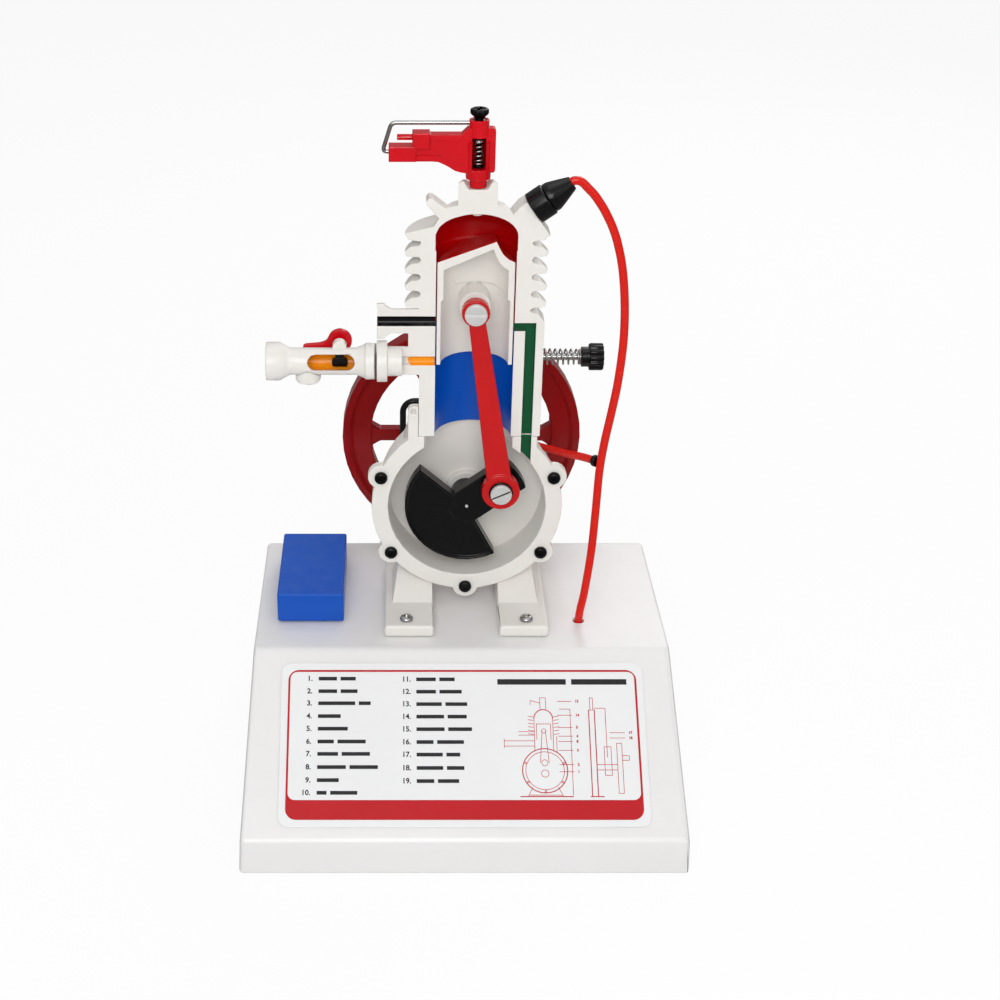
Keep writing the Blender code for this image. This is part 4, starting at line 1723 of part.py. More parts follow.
    collar_low = window_low + SEAT
    collar_top = collar_low + NEEDLE_COLLAR_HEIGHT
    adjuster_low = NOZZLE_BODY_TOP - OVERRUN / 2
    needle = turned("nozzle_needle", (
        (0, adjuster_low - NEEDLE_LIFT * 2), (NEEDLE_RADIUS, adjuster_low - NEEDLE_LIFT * 2),
        (NEEDLE_RADIUS, collar_top), (NEEDLE_COLLAR, collar_top), (NEEDLE_COLLAR, collar_low),
        (0, collar_low)), SMALL_STEPS, MODEL)
    needle.location = (middle, y, 0)
    dress(needle, DARK_STEEL)
    low = collar_top + SEAT + NOZZLE_SPRING_WIRE
    rise = adjuster_low - SEAT - NOZZLE_SPRING_WIRE - low
    spring = coil("nozzle_spring", NOZZLE_SPRING_WIRE,
                  (NOZZLE_SPRING_RADIUS, NOZZLE_SPRING_RADIUS), low, rise, NOZZLE_SPRING_TURNS,
                  Matrix.Translation((middle, y, 0)))
    dress(spring, STEEL)

    seat = NOZZLE_TOP + OVERRUN / 2
    top = seat + ADJUSTER_HEAD_HEIGHT
    edge = ADJUSTER_HEAD / 6
    adjuster = turned("adjusting_screw", (
        (0, top), (ADJUSTER_HEAD - edge, top), (ADJUSTER_HEAD, top - edge),
        (ADJUSTER_HEAD, seat + edge), (ADJUSTER_HEAD - edge, seat), (ADJUSTER_NECK, seat),
        (ADJUSTER_NECK, NOZZLE_TOP), (ADJUSTER_SHANK, NOZZLE_TOP - SEAT),
        (ADJUSTER_SHANK, adjuster_low), (0, adjuster_low)), 20, MODEL)
    adjuster.location = (middle, y, 0)
    cut(adjuster, box("adjuster_slot", (middle - ADJUSTER_HEAD * 2, y - SLOT_WIDTH / 2,
                                        top - SLOT_DEPTH * 2),
                      (middle + ADJUSTER_HEAD * 2, y + SLOT_WIDTH / 2, top + OVERRUN)))
    dress(adjuster, DARK_STEEL)


def wire_route(middle, y):
    """Return the bent wire's points from the holder's neck out, down and back in."""
    left = middle - WIRE_LEFT
    foot = middle - WIRE_FOOT_X
    bend = WIRE_BEND
    start = (middle - NOZZLE_NECK + WIRE_GRIP / 2 - SEAT, WIRE_HEIGHT)
    lean = (WIRE_FOOT_X - WIRE_LEFT) / (WIRE_HEIGHT - WIRE_FOOT_HEIGHT)
    flat = [start, (left + bend, WIRE_HEIGHT), (left + bend / 3, WIRE_HEIGHT - bend / 3),
            (left - lean * bend, WIRE_HEIGHT - bend),
            (foot + lean * bend, WIRE_FOOT_HEIGHT + bend),
            (foot + bend / 3, WIRE_FOOT_HEIGHT + bend / 3), (foot + bend, WIRE_FOOT_HEIGHT),
            (middle - ARM_LOWER_END + WIRE_GRIP, WIRE_FOOT_HEIGHT)]
    return [(x, y, z) for x, z in flat]


# Fuel hoses


def build_hoses():
    """Build the delivery hose from the injector to the deck, its branch and the branch's band."""
    out = Vector((math.cos(INJECTOR_TILT), 0, math.sin(INJECTOR_TILT)))
    seat = Vector((CYLINDER_OFFSET + INJECTOR_X, INJECTOR_Y, INJECTOR_HEIGHT))
    mouth = INJECTOR_COLLAR_LENGTH + SEAT + INJECTOR_CONE_LENGTH
    start = seat + out * (mouth - HOSE_RADIUS * 2 + SEAT)
    nose = seat + out * (mouth + HOSE_RADIUS)
    points, length = smooth_route((nose,) + DELIVERY_ROUTE, HOSE_SPACING)
    points = [start] + points
    print("delivery_hose length in metres", round(length + (nose - start).length, 4))
    dress(tube("delivery_hose", points, HOSE_RADIUS, 2), HOSE_RED)
    start = Vector((UNION_END + SEAT, PUMP_Y, UNION_HEIGHT))
    points, length = smooth_route((start,) + BRANCH_ROUTE, HOSE_SPACING)
    print("branch_hose length in metres", round(length, 4))
    dress(tube("branch_hose", points, HOSE_RADIUS, 2), HOSE_RED)
    last = points[-1]
    heading = (points[-1] - points[-2]).normalized()
    band_start = last + heading * SEAT
    band = cylinder("branch_band", BAND_RADIUS, band_start, band_start + heading * BAND_LENGTH, 20,
                    MODEL)
    dress(band, BLACK_PLASTIC)


def build_model():
    """Build every piece of the model."""
    build_base()
    build_label()
    build_tank()
    build_crankcase()
    build_screws()
    build_block()
    build_intake()
    build_choke()
    build_piston()
    build_rod()
    build_crank()
    build_flywheel()
    build_pump()
    build_governor()
    build_injector()
    build_nozzle()
    build_hoses()


build_model()
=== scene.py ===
"""Looks of the sectioned two-stroke engine model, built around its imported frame.

Metres, +X to the viewer's right, +Y away from the viewer and +Z up, as in the frame. The engine's
own frame has its origin on the crank axis in the section face, so in it y is the depth behind that
face and z the height above the crank axis.
"""
from __future__ import annotations

import json
import logging
import math
from dataclasses import dataclass, field
from enum import Enum
from typing import Sequence

import bmesh
import bpy
import numpy as np
from mathutils import Matrix, Vector
from mathutils.bvhtree import BVHTree

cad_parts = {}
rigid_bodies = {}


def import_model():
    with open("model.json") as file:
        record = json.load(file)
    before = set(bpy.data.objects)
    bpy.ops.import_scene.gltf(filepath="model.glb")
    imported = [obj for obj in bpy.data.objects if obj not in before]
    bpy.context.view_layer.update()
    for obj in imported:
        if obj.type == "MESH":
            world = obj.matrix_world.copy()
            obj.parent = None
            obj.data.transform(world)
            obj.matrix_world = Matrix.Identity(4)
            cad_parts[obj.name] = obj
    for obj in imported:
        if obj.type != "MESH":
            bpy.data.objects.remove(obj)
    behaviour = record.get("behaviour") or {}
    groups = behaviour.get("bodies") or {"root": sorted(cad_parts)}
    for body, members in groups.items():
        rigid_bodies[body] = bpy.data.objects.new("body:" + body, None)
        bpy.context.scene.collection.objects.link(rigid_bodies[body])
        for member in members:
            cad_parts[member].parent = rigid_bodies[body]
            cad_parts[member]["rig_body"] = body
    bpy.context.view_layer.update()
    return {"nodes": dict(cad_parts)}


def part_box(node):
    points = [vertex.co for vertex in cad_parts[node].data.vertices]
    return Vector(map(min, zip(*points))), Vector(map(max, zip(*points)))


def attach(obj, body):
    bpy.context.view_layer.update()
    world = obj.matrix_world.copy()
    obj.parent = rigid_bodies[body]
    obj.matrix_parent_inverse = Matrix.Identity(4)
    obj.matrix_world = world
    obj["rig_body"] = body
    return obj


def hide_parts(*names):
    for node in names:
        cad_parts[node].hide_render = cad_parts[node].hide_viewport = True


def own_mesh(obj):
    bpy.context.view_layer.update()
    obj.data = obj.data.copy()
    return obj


for leftover in list(bpy.data.objects):
    bpy.data.objects.remove(leftover, do_unlink=True)
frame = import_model()

LOG = logging.getLogger("engine_model")
MM = 0.001
Colour = tuple[float, float, float]
Point = tuple[float, float, float]

ENGINE = Vector((0.0032, 0.0269, 0.1563))
CYLINDER_X = 0.0022
INLET_Z = 0.0907
EXHAUST_Z = 0.1140
TRANSFER_TOP = 0.1129
JOINT_Z = 0.0447
WELD = 0.000002
OWN_NORMAL = "own_normal"
LEVEL = 0.9999


class Axis(Enum):
    """The way that a turned piece's own axis points."""

    X = "x"
    Y = "y"
    Z = "z"

    def turn(self) -> Matrix:
        """Give the matrix that brings +Z to this axis."""
        if self is Axis.X:
            return Matrix.Rotation(math.radians(90.0), 4, "Y")
        if self is Axis.Y:
            return Matrix.Rotation(math.radians(-90.0), 4, "X")
        return Matrix.Identity(4)


class Slot(Enum):
    """The record's material slots."""

    CASTING = "white_casting"
    SHELL = "white_shell"
    BOARD = "board"
    LABEL = "label"
    BLUE = "blue_paint"
    RED_PAINT = "red_paint"
    RED_PLASTIC = "red_plastic"
    BLACK = "black_plastic"
    STEEL = "steel"
    DARK_STEEL = "dark_steel"
    HOSE = "hose"
    GASKET = "gasket"


class Tone(Enum):
    """How a steel is finished: its colour, its worn colour, its roughness and its metal share."""

    BRIGHT = ((0.50, 0.50, 0.49), (0.34, 0.34, 0.33), 0.24, 1.0)
    SATIN = ((0.70, 0.70, 0.69), (0.56, 0.56, 0.55), 0.40, 0.3)
    BLACK = ((0.010, 0.010, 0.011), (0.035, 0.035, 0.035), 0.26, 1.0)


class Recess(Enum):
    """The recess in a screw's head."""

    HEXAGON = "hexagon"
    CROSS = "cross"
    SLOT = "slot"

    def radii(self, size: float, angles: np.ndarray) -> np.ndarray:
        """Give the recess's edge as a distance from the screw's axis.

        A hexagon's edge is its half width over the cosine of the angle from the nearest flat. A
        cross's edge is the nearer of its arm's end and its arm's side, whose half width is a
        quarter of the arm. A slot is one such pair of arms, a twelfth as wide as it is long.

        Args:
            size: Half width of the hexagon, or length of the cross's or the slot's arm.
            angles: Angles round the axis.

        Returns:
            One distance for each angle.
        """
        if self is Recess.HEXAGON:
            third = math.pi / 3
            return size / np.cos((angles + third / 2) % third - third / 2)
        if self is Recess.SLOT:
            return np.minimum(size, size / 12 / np.maximum(np.abs(np.sin(angles)), 1e-6))
        quarter = math.pi / 2
        off = (angles + quarter / 2) % quarter - quarter / 2
        side = size / 4 / np.maximum(np.abs(np.sin(off)), 1e-6)
        return np.minimum(size / np.cos(off), side)


# Shader node groups


class Tree:
    """Short calls that fill one node tree."""

    def __init__(self, tree: bpy.types.NodeTree) -> None:
        """Keep the tree."""
        self.tree = tree

    def add(self, kind: str, **settings: object) -> bpy.types.Node:
        """Add a node.

        Args:
            kind: The node's type name, without its common first part.
            settings: Properties to set on the node.

        Returns:
            The node.
        """
        node = self.tree.nodes.new("ShaderNode" + kind)
        for name, value in settings.items():
            setattr(node, name, value)
        return node

    def feed(self, socket: bpy.types.NodeSocket, value: object) -> None:
        """Link a socket to another one, or set its value."""
        if isinstance(value, bpy.types.NodeSocket):
            self.tree.links.new(value, socket)
        elif isinstance(value, tuple) and len(value) == 3 and socket.type == "RGBA":
            socket.default_value = (*value, 1.0)
        else:
            socket.default_value = value

    def math(self, operation: str, *values: object, clamp: bool = False) -> bpy.types.NodeSocket:
        """Add a Math node and return its value."""
        node = self.add("Math", operation=operation, use_clamp=clamp)
        for socket, value in zip(node.inputs, values):
            self.feed(socket, value)
        return node.outputs[0]

    def vector(self, operation: str, *values: object) -> bpy.types.Node:
        """Add a Vector Math node and return the node."""
        node = self.add("VectorMath", operation=operation)
        for socket, value in zip(node.inputs, values):
            self.feed(socket, value)
        return node

    def mix(self, share: object, first: object, second: object,
            blend: str = "MIX") -> bpy.types.NodeSocket:
        """Mix two colours by a share and return the colour."""
        node = self.add("Mix", data_type="RGBA", blend_type=blend)
        self.feed(node.inputs["Factor"], share)
        self.feed(node.inputs["A"], first)
        self.feed(node.inputs["B"], second)
        return node.outputs["Result"]

    def spread(self, value: object, low: float, high: float, to_low: float = 0.0,
               to_high: float = 1.0) -> bpy.types.NodeSocket:
        """Map a value from one range to another, held at its ends."""
        node = self.add("MapRange")
        for name, number in (("Value", value), ("From Min", low), ("From Max", high),
                             ("To Min", to_low), ("To Max", to_high)):
            self.feed(node.inputs[name], number)
        return node.outputs["Result"]

    def noise(self, place: object, scale: object, detail: float = 3.0,
              roughness: float = 0.5) -> bpy.types.NodeSocket:
        """Add a noise texture and return its value."""
        node = self.add("TexNoise")
        self.feed(node.inputs["Vector"], place)
        self.feed(node.inputs["Scale"], scale)
        node.inputs["Detail"].default_value = detail
        node.inputs["Roughness"].default_value = roughness
        return node.outputs["Fac"]

    def group(self, tree: bpy.types.NodeTree, **values: object) -> bpy.types.Node:
        """Add a node group with its input values, named with _ for each space."""
        node = self.add("Group", node_tree=tree)
        for name, value in values.items():
            self.feed(node.inputs[name.replace("_", " ")], value)
        return node

    def place(self) -> bpy.types.NodeSocket:
        """Add the object's own coordinates."""
        return self.add("TexCoord").outputs["Object"]

    def parts(self, vector: object) -> bpy.types.bpy_prop_collection:
        """Split a vector and return its three numbers."""
        node = self.add("SeparateXYZ")
        self.feed(node.inputs[0], vector)
        return node.outputs

    def mapped(self, kind: str = "POINT", **settings: object) -> bpy.types.NodeSocket:
        """Shift, turn and stretch the object's own coordinates, each by its socket's name."""
        node = self.add("Mapping", vector_type=kind)
        self.feed(node.inputs["Vector"], self.place())
        for name, value in settings.items():
            node.inputs[name].default_value = value
        return node.outputs["Vector"]

    def bump(self, shader: bpy.types.Node, height: object, distance: float,
             strength: float = 1.0) -> None:
        """Turn a shader's normal by the slopes of a height."""
        node = self.add("Bump")
        node.inputs["Strength"].default_value = strength
        node.inputs["Distance"].default_value = distance
        self.feed(node.inputs["Height"], height)
        self.feed(shader.inputs["Normal"], node.outputs["Normal"])


@dataclass
class GroupMaker:
    """Makes a node group with named inputs and outputs."""

    name: str
    inputs: dict[str, tuple[str, object]]
    outputs: dict[str, str]

    def start(self) -> tuple[Tree, bpy.types.bpy_prop_collection, bpy.types.bpy_prop_collection]:
        """Make the group's tree with its two end nodes.

        Returns:
            The tree's helper, the sockets of the inputs and the sockets of the outputs.
        """
        made = bpy.data.node_groups.new(self.name, "ShaderNodeTree")
        for name, (kind, value) in self.inputs.items():
            socket = made.interface.new_socket(name, in_out="INPUT",
                                               socket_type="NodeSocket" + kind)
            if value is not None:
                socket.default_value = (*value, 1.0) if kind == "Color" else value
        for name, kind in self.outputs.items():
            made.interface.new_socket(name, in_out="OUTPUT", socket_type="NodeSocket" + kind)
        given, out = made.nodes.new("NodeGroupInput"), made.nodes.new("NodeGroupOutput")
        return Tree(made), given.outputs, out.inputs


class Effects:
    """The node groups that several finishes share, built once."""

    def __init__(self) -> None:
        """Build every group."""
        self.film = self.make_film()
        self.dust = self.make_dust()
        self.rings = self.make_rings()
        self.scratches = self.make_scratches()
        self.region = self.make_region()
        self.fibres = self.make_fibres()

    @staticmethod
    def make_film() -> bpy.types.NodeTree:
        """Build a film of paint or moulded skin: faint clouds of shade and a pebbled height.

        Returns:
            The group.
        """
        maker = GroupMaker("surface_film", {
            "Colour": ("Color", (0.8, 0.8, 0.8)), "Shade": ("Color", (0.7, 0.7, 0.7)),
            "Cloud Scale": ("Float", 40.0), "Cloud": ("Float", 0.3),
            "Pebble Scale": ("Float", 900.0), "Roughness": ("Float", 0.35),
            "Unevenness": ("Float", 0.1)},
            {"Colour": "Color", "Roughness": "Float", "Height": "Float"})
        tree, given, out = maker.start()
        place = tree.place()
        cloud = tree.spread(tree.noise(place, given["Cloud Scale"], 4.0), 0.38, 0.66)
        share = tree.math("MULTIPLY", cloud, given["Cloud"])
        tree.feed(out["Colour"], tree.mix(share, given["Colour"], given["Shade"]))
        smear = tree.noise(place, tree.math("MULTIPLY", given["Cloud Scale"], 3.0), 5.0)
        offset = tree.math("MULTIPLY", tree.math("SUBTRACT", smear, 0.5), given["Unevenness"])
        tree.feed(out["Roughness"], tree.math("ADD", given["Roughness"], offset, clamp=True))
        coarse = tree.noise(place, given["Pebble Scale"], 2.0)
        fine = tree.noise(place, tree.math("MULTIPLY", given["Pebble Scale"], 3.7), 2.0)
        tree.feed(out["Height"], tree.math("ADD", coarse, tree.math("MULTIPLY", fine, 0.35)))
        return tree.tree

    @staticmethod
    def make_dust() -> bpy.types.NodeTree:
        """Build a settled dust that lies where a surface faces up.

        Returns:
            The group.
        """
        maker = GroupMaker("settled_dust", {
            "Colour": ("Color", (0.8, 0.8, 0.8)), "Dust": ("Color", (0.62, 0.60, 0.56)),
            "Amount": ("Float", 0.1)}, {"Colour": "Color", "Mask": "Float"})
        tree, given, out = maker.start()
        normal = tree.parts(tree.add("NewGeometry").outputs["Normal"])
        up = tree.spread(normal["Z"], 0.45, 0.95)
        patchy = tree.spread(tree.noise(tree.place(), 130.0, 6.0, 0.65), 0.42, 0.70)
        mask = tree.math("MULTIPLY", tree.math("MULTIPLY", up, patchy), given["Amount"])
        tree.feed(out["Colour"], tree.mix(mask, given["Colour"], given["Dust"]))
        tree.feed(out["Mask"], mask)
        return tree.tree

    @staticmethod
    def make_rings() -> bpy.types.NodeTree:
        """Build the rings that a lathe leaves round the Z axis of the coordinates it is given.

        Returns:
            The group.
        """
        maker = GroupMaker("turned_rings", {"Vector": ("Vector", None),
                                            "Ring Scale": ("Float", 5000.0)},
                           {"Height": "Float", "Mask": "Float"})
        tree, given, out = maker.start()
        flat = tree.vector("MULTIPLY", given["Vector"], (1.0, 1.0, 0.0)).outputs[0]
        away = tree.vector("LENGTH", flat).outputs["Value"]
        run = tree.math("ADD", away, tree.parts(given["Vector"])["Z"])
        line = tree.add("TexNoise", noise_dimensions="1D")
        tree.feed(line.inputs["W"], run)
        tree.feed(line.inputs["Scale"], given["Ring Scale"])
        line.inputs["Detail"].default_value = 3.0
        tree.feed(out["Height"], line.outputs["Fac"])
        tree.feed(out["Mask"], tree.spread(line.outputs["Fac"], 0.35, 0.65))
        return tree.tree

    @staticmethod
    def make_scratches() -> bpy.types.NodeTree:
        """Build a net of hairline scratches from noise drawn out along two crossing ways.

        Returns:
            The group.
        """
        maker = GroupMaker("hairline_scratches", {"Scale": ("Float", 120.0),
                                                  "Amount": ("Float", 0.5)}, {"Mask": "Float"})
        tree, given, out = maker.start()
        marks = []
        for turn, seed in (((0.3, 0.2, 0.5), 1.0), ((0.1, 0.9, 2.1), 7.0)):
            drawn = tree.mapped(Location=(seed, seed, seed), Rotation=turn,
                                Scale=(18.0, 1.0, 18.0))
            line = tree.noise(drawn, given["Scale"], 2.0)
            marks.append(tree.spread(tree.math("ABSOLUTE", tree.math("SUBTRACT", line, 0.5)),
                                     0.0, 0.012, 1.0, 0.0))
        both = tree.math("MAXIMUM", *marks)
        patch = tree.spread(tree.noise(tree.place(), 35.0), 0.45, 0.62)
        mask = tree.math("MULTIPLY", tree.math("MULTIPLY", both, patch), given["Amount"])
        tree.feed(out["Mask"], mask)
        return tree.tree

    @staticmethod
    def make_region() -> bpy.types.NodeTree:
        """Build a mask that is 1 inside a box, near a centre and where a surface faces up enough.

        Returns:
            The group.
        """
        maker = GroupMaker("painted_region", {
            "Low": ("Vector", None), "High": ("Vector", None), "Centre": ("Vector", None),
            "Weights": ("Vector", None), "Radius": ("Float", 1.0), "Least Up": ("Float", -2.0)},
            {"Mask": "Float"})
        tree, given, out = maker.start()
        place = tree.place()
        masks = []
        for first, second in ((place, given["Low"]), (given["High"], place)):
            within = tree.parts(tree.vector("SUBTRACT", first, second).outputs[0])
            masks += [tree.math("GREATER_THAN", part, 0.0) for part in within]
        away = tree.vector("SUBTRACT", place, given["Centre"]).outputs[0]
        flat = tree.vector("MULTIPLY", away, given["Weights"]).outputs[0]
        masks.append(tree.math("LESS_THAN", tree.vector("LENGTH", flat).outputs["Value"],
                               given["Radius"]))
        normal = tree.parts(tree.add("NewGeometry").outputs["Normal"])
        masks.append(tree.math("GREATER_THAN", normal["Z"], given["Least Up"]))
        mask = masks[0]
        for other in masks[1:]:
            mask = tree.math("MULTIPLY", mask, other)
        tree.feed(out["Mask"], mask)
        return tree.tree

    @staticmethod
    def make_fibres() -> bpy.types.NodeTree:
        """Build the matted fibres of a pressed sheet.

        Returns:
            The group.
        """
        maker = GroupMaker("pressed_fibres", {"Scale": ("Float", 700.0)},
                           {"Mask": "Float", "Height": "Float"})
        tree, given, out = maker.start()
        total = None
        for turn in (0.0, 1.1, 2.2):
            drawn = tree.mapped(Rotation=(0.0, 0.0, turn), Scale=(1.0, 0.12, 1.0))
            line = tree.spread(tree.noise(drawn, given["Scale"]), 0.4, 0.62)
            total = line if total is None else tree.math("MAXIMUM", total, line)
        tree.feed(out["Mask"], total)
        tree.feed(out["Height"], total)
        return tree.tree


# Finishes


@dataclass(frozen=True)
class Region:
    """A painted part of a casting: inside a box and within a radius of a centre.

    The weights say how much each direction counts in that radius. A bore's own direction counts
    for nothing, and each direction of a dome counts by one over the dome's half width there.
    """

    colour: Colour
    low: Point
    high: Point
    centre: Point = (0.0, 0.0, 0.0)
    weights: Point = (1.0, 1.0, 0.0)
    radius: float = 1.0
    least_up: float = -2.0

    def world(self, place: Point) -> Point:
        """Move a point of the engine's frame to the model's."""
        return tuple(Vector(place) + ENGINE)

    def mask(self, tree: Tree, effects: Effects) -> bpy.types.NodeSocket:
        """Add this region's mask to a material.

        Args:
            tree: The material's tree.
            effects: The shared groups.

        Returns:
            The mask's socket.
        """
        node = tree.group(effects.region, Low=self.world(self.low), High=self.world(self.high),
                          Centre=self.world(self.centre), Weights=self.weights,
                          Radius=self.radius, Least_Up=self.least_up)
        return node.outputs["Mask"]


@dataclass(frozen=True)
class Finish:
    """What every finish has: its material's name and its colour."""

    name: str
    colour: Colour

    def make(self, effects: Effects) -> bpy.types.Material:
        """Build the material.

        Args:
            effects: The shared groups.

        Returns:
            The material.
        """
        material = bpy.data.materials.new(self.name)
        material.use_nodes = True
        material.diffuse_color = (*self.colour, 1.0)
        self.fill(Tree(material.node_tree), material.node_tree.nodes["Principled BSDF"], effects)
        return material

    def fill(self, tree: Tree, shader: bpy.types.Node, effects: Effects) -> None:
        """Join the material's nodes to its shader, which each kind of finish does its own way."""
        raise NotImplementedError


@dataclass(frozen=True)
class Film(Finish):
    """A paint or a moulded plastic."""

    shade: Colour
    roughness: float
    cloud_scale: float = 45.0
    cloud: float = 0.4
    pebble_scale: float = 900.0
    pebble_depth: float = 0.00003
    unevenness: float = 0.12
    coat: float = 0.0
    dust: float = 0.0
    scratches: float = 0.0
    specular: float = 0.5
    regions: tuple[Region, ...] = ()

    def fill(self, tree: Tree, shader: bpy.types.Node, effects: Effects) -> None:
        """Join the film, the painted regions, the dust and the scratches to the shader.

        Args:
            tree: The material's tree.
            shader: Its shader.
            effects: The shared groups.
        """
        film = tree.group(effects.film, Colour=self.colour, Shade=self.shade,
                          Cloud_Scale=self.cloud_scale, Cloud=self.cloud,
                          Pebble_Scale=self.pebble_scale, Roughness=self.roughness,
                          Unevenness=self.unevenness)
        colour = film.outputs["Colour"]
        for region in self.regions:
            colour = tree.mix(region.mask(tree, effects), colour, region.colour)
        roughness = film.outputs["Roughness"]
        if self.dust:
            dust = tree.group(effects.dust, Colour=colour, Amount=self.dust)
            colour = dust.outputs["Colour"]
            roughness = tree.math("ADD", roughness, tree.math("MULTIPLY", dust.outputs["Mask"],
                                                              0.4), clamp=True)
        if self.scratches:
            marks = tree.group(effects.scratches, Amount=self.scratches).outputs["Mask"]
            roughness = tree.math("ADD", roughness, tree.math("MULTIPLY", marks, 0.35), clamp=True)
        tree.feed(shader.inputs["Base Color"], colour)
        tree.feed(shader.inputs["Roughness"], roughness)
        shader.inputs["Coat Weight"].default_value = self.coat
        shader.inputs["Coat Roughness"].default_value = 0.08
        shader.inputs["Specular IOR Level"].default_value = self.specular
        tree.bump(shader, film.outputs["Height"], self.pebble_depth, 0.5)


@dataclass(frozen=True)
class Steel(Finish):
    """A turned, drawn or blackened steel, with the rings of its lathe round an axis."""

    worn: Colour
    roughness: float
    centre: Point = (0.0, 0.0, 0.0)
    axis: Axis = Axis.Z
    ring_scale: float = 6000.0
    ring_depth: float = 0.00001
    metallic: float = 1.0

    def fill(self, tree: Tree, shader: bpy.types.Node, effects: Effects) -> None:
        """Join the lathe's rings and the wear to the shader.

        Args:
            tree: The material's tree.
            shader: Its shader.
            effects: The shared groups.
        """
        shader.inputs["Metallic"].default_value = self.metallic
        own = tree.mapped("TEXTURE", Location=tuple(Vector(self.centre) + ENGINE),
                          Rotation=self.axis.turn().to_euler())
        rings = tree.group(effects.rings, Vector=own, Ring_Scale=self.ring_scale)
        film = tree.group(effects.film, Colour=self.colour, Shade=self.worn, Cloud_Scale=160.0,
                          Cloud=0.5, Roughness=self.roughness, Unevenness=0.25)
        colour = tree.mix(tree.math("MULTIPLY", rings.outputs["Mask"], 0.35),
                          film.outputs["Colour"], self.worn)
        tree.feed(shader.inputs["Base Color"], colour)
        tree.feed(shader.inputs["Roughness"],
                  tree.math("ADD", film.outputs["Roughness"],
                            tree.math("MULTIPLY", rings.outputs["Mask"], 0.08), clamp=True))
        tree.bump(shader, rings.outputs["Height"], self.ring_depth, 0.6)


@dataclass(frozen=True)
class Pressed(Finish):
    """A pressed board or a gasket sheet, with its matted fibres."""

    fibre: Colour
    scale: float
    roughness: float = 0.85
    fibre_depth: float = 0.00008

    def fill(self, tree: Tree, shader: bpy.types.Node, effects: Effects) -> None:
        """Join the fibres to the shader.

        Args:
            tree: The material's tree.
            shader: Its shader.
            effects: The shared groups.
        """
        fibres = tree.group(effects.fibres, Scale=self.scale)
        film = tree.group(effects.film, Colour=self.colour, Shade=self.fibre, Cloud_Scale=90.0,
                          Roughness=self.roughness)
        share = tree.math("MULTIPLY", fibres.outputs["Mask"], 0.6)
        tree.feed(shader.inputs["Base Color"],
                  tree.mix(share, film.outputs["Colour"], self.fibre))
        tree.feed(shader.inputs["Roughness"], film.outputs["Roughness"])
        tree.bump(shader, fibres.outputs["Height"], self.fibre_depth)


WHITE = (0.80, 0.775, 0.735)
SHADOWED_WHITE = (0.74, 0.71, 0.665)
RED_INK = (0.50, 0.004, 0.010)
BORE_RED = (0.44, 0.0, 0.001)
BORE_BLUE = (0.0, 0.085, 0.50)
CHANNEL_GREEN = (0.0, 0.095, 0.030)
CHANNEL_ORANGE = (0.92, 0.32, 0.002)
CHANNEL_BLACK = (0.0, 0.0, 0.0)
DEPTH = 0.08
BEHIND_FACE = 0.00008


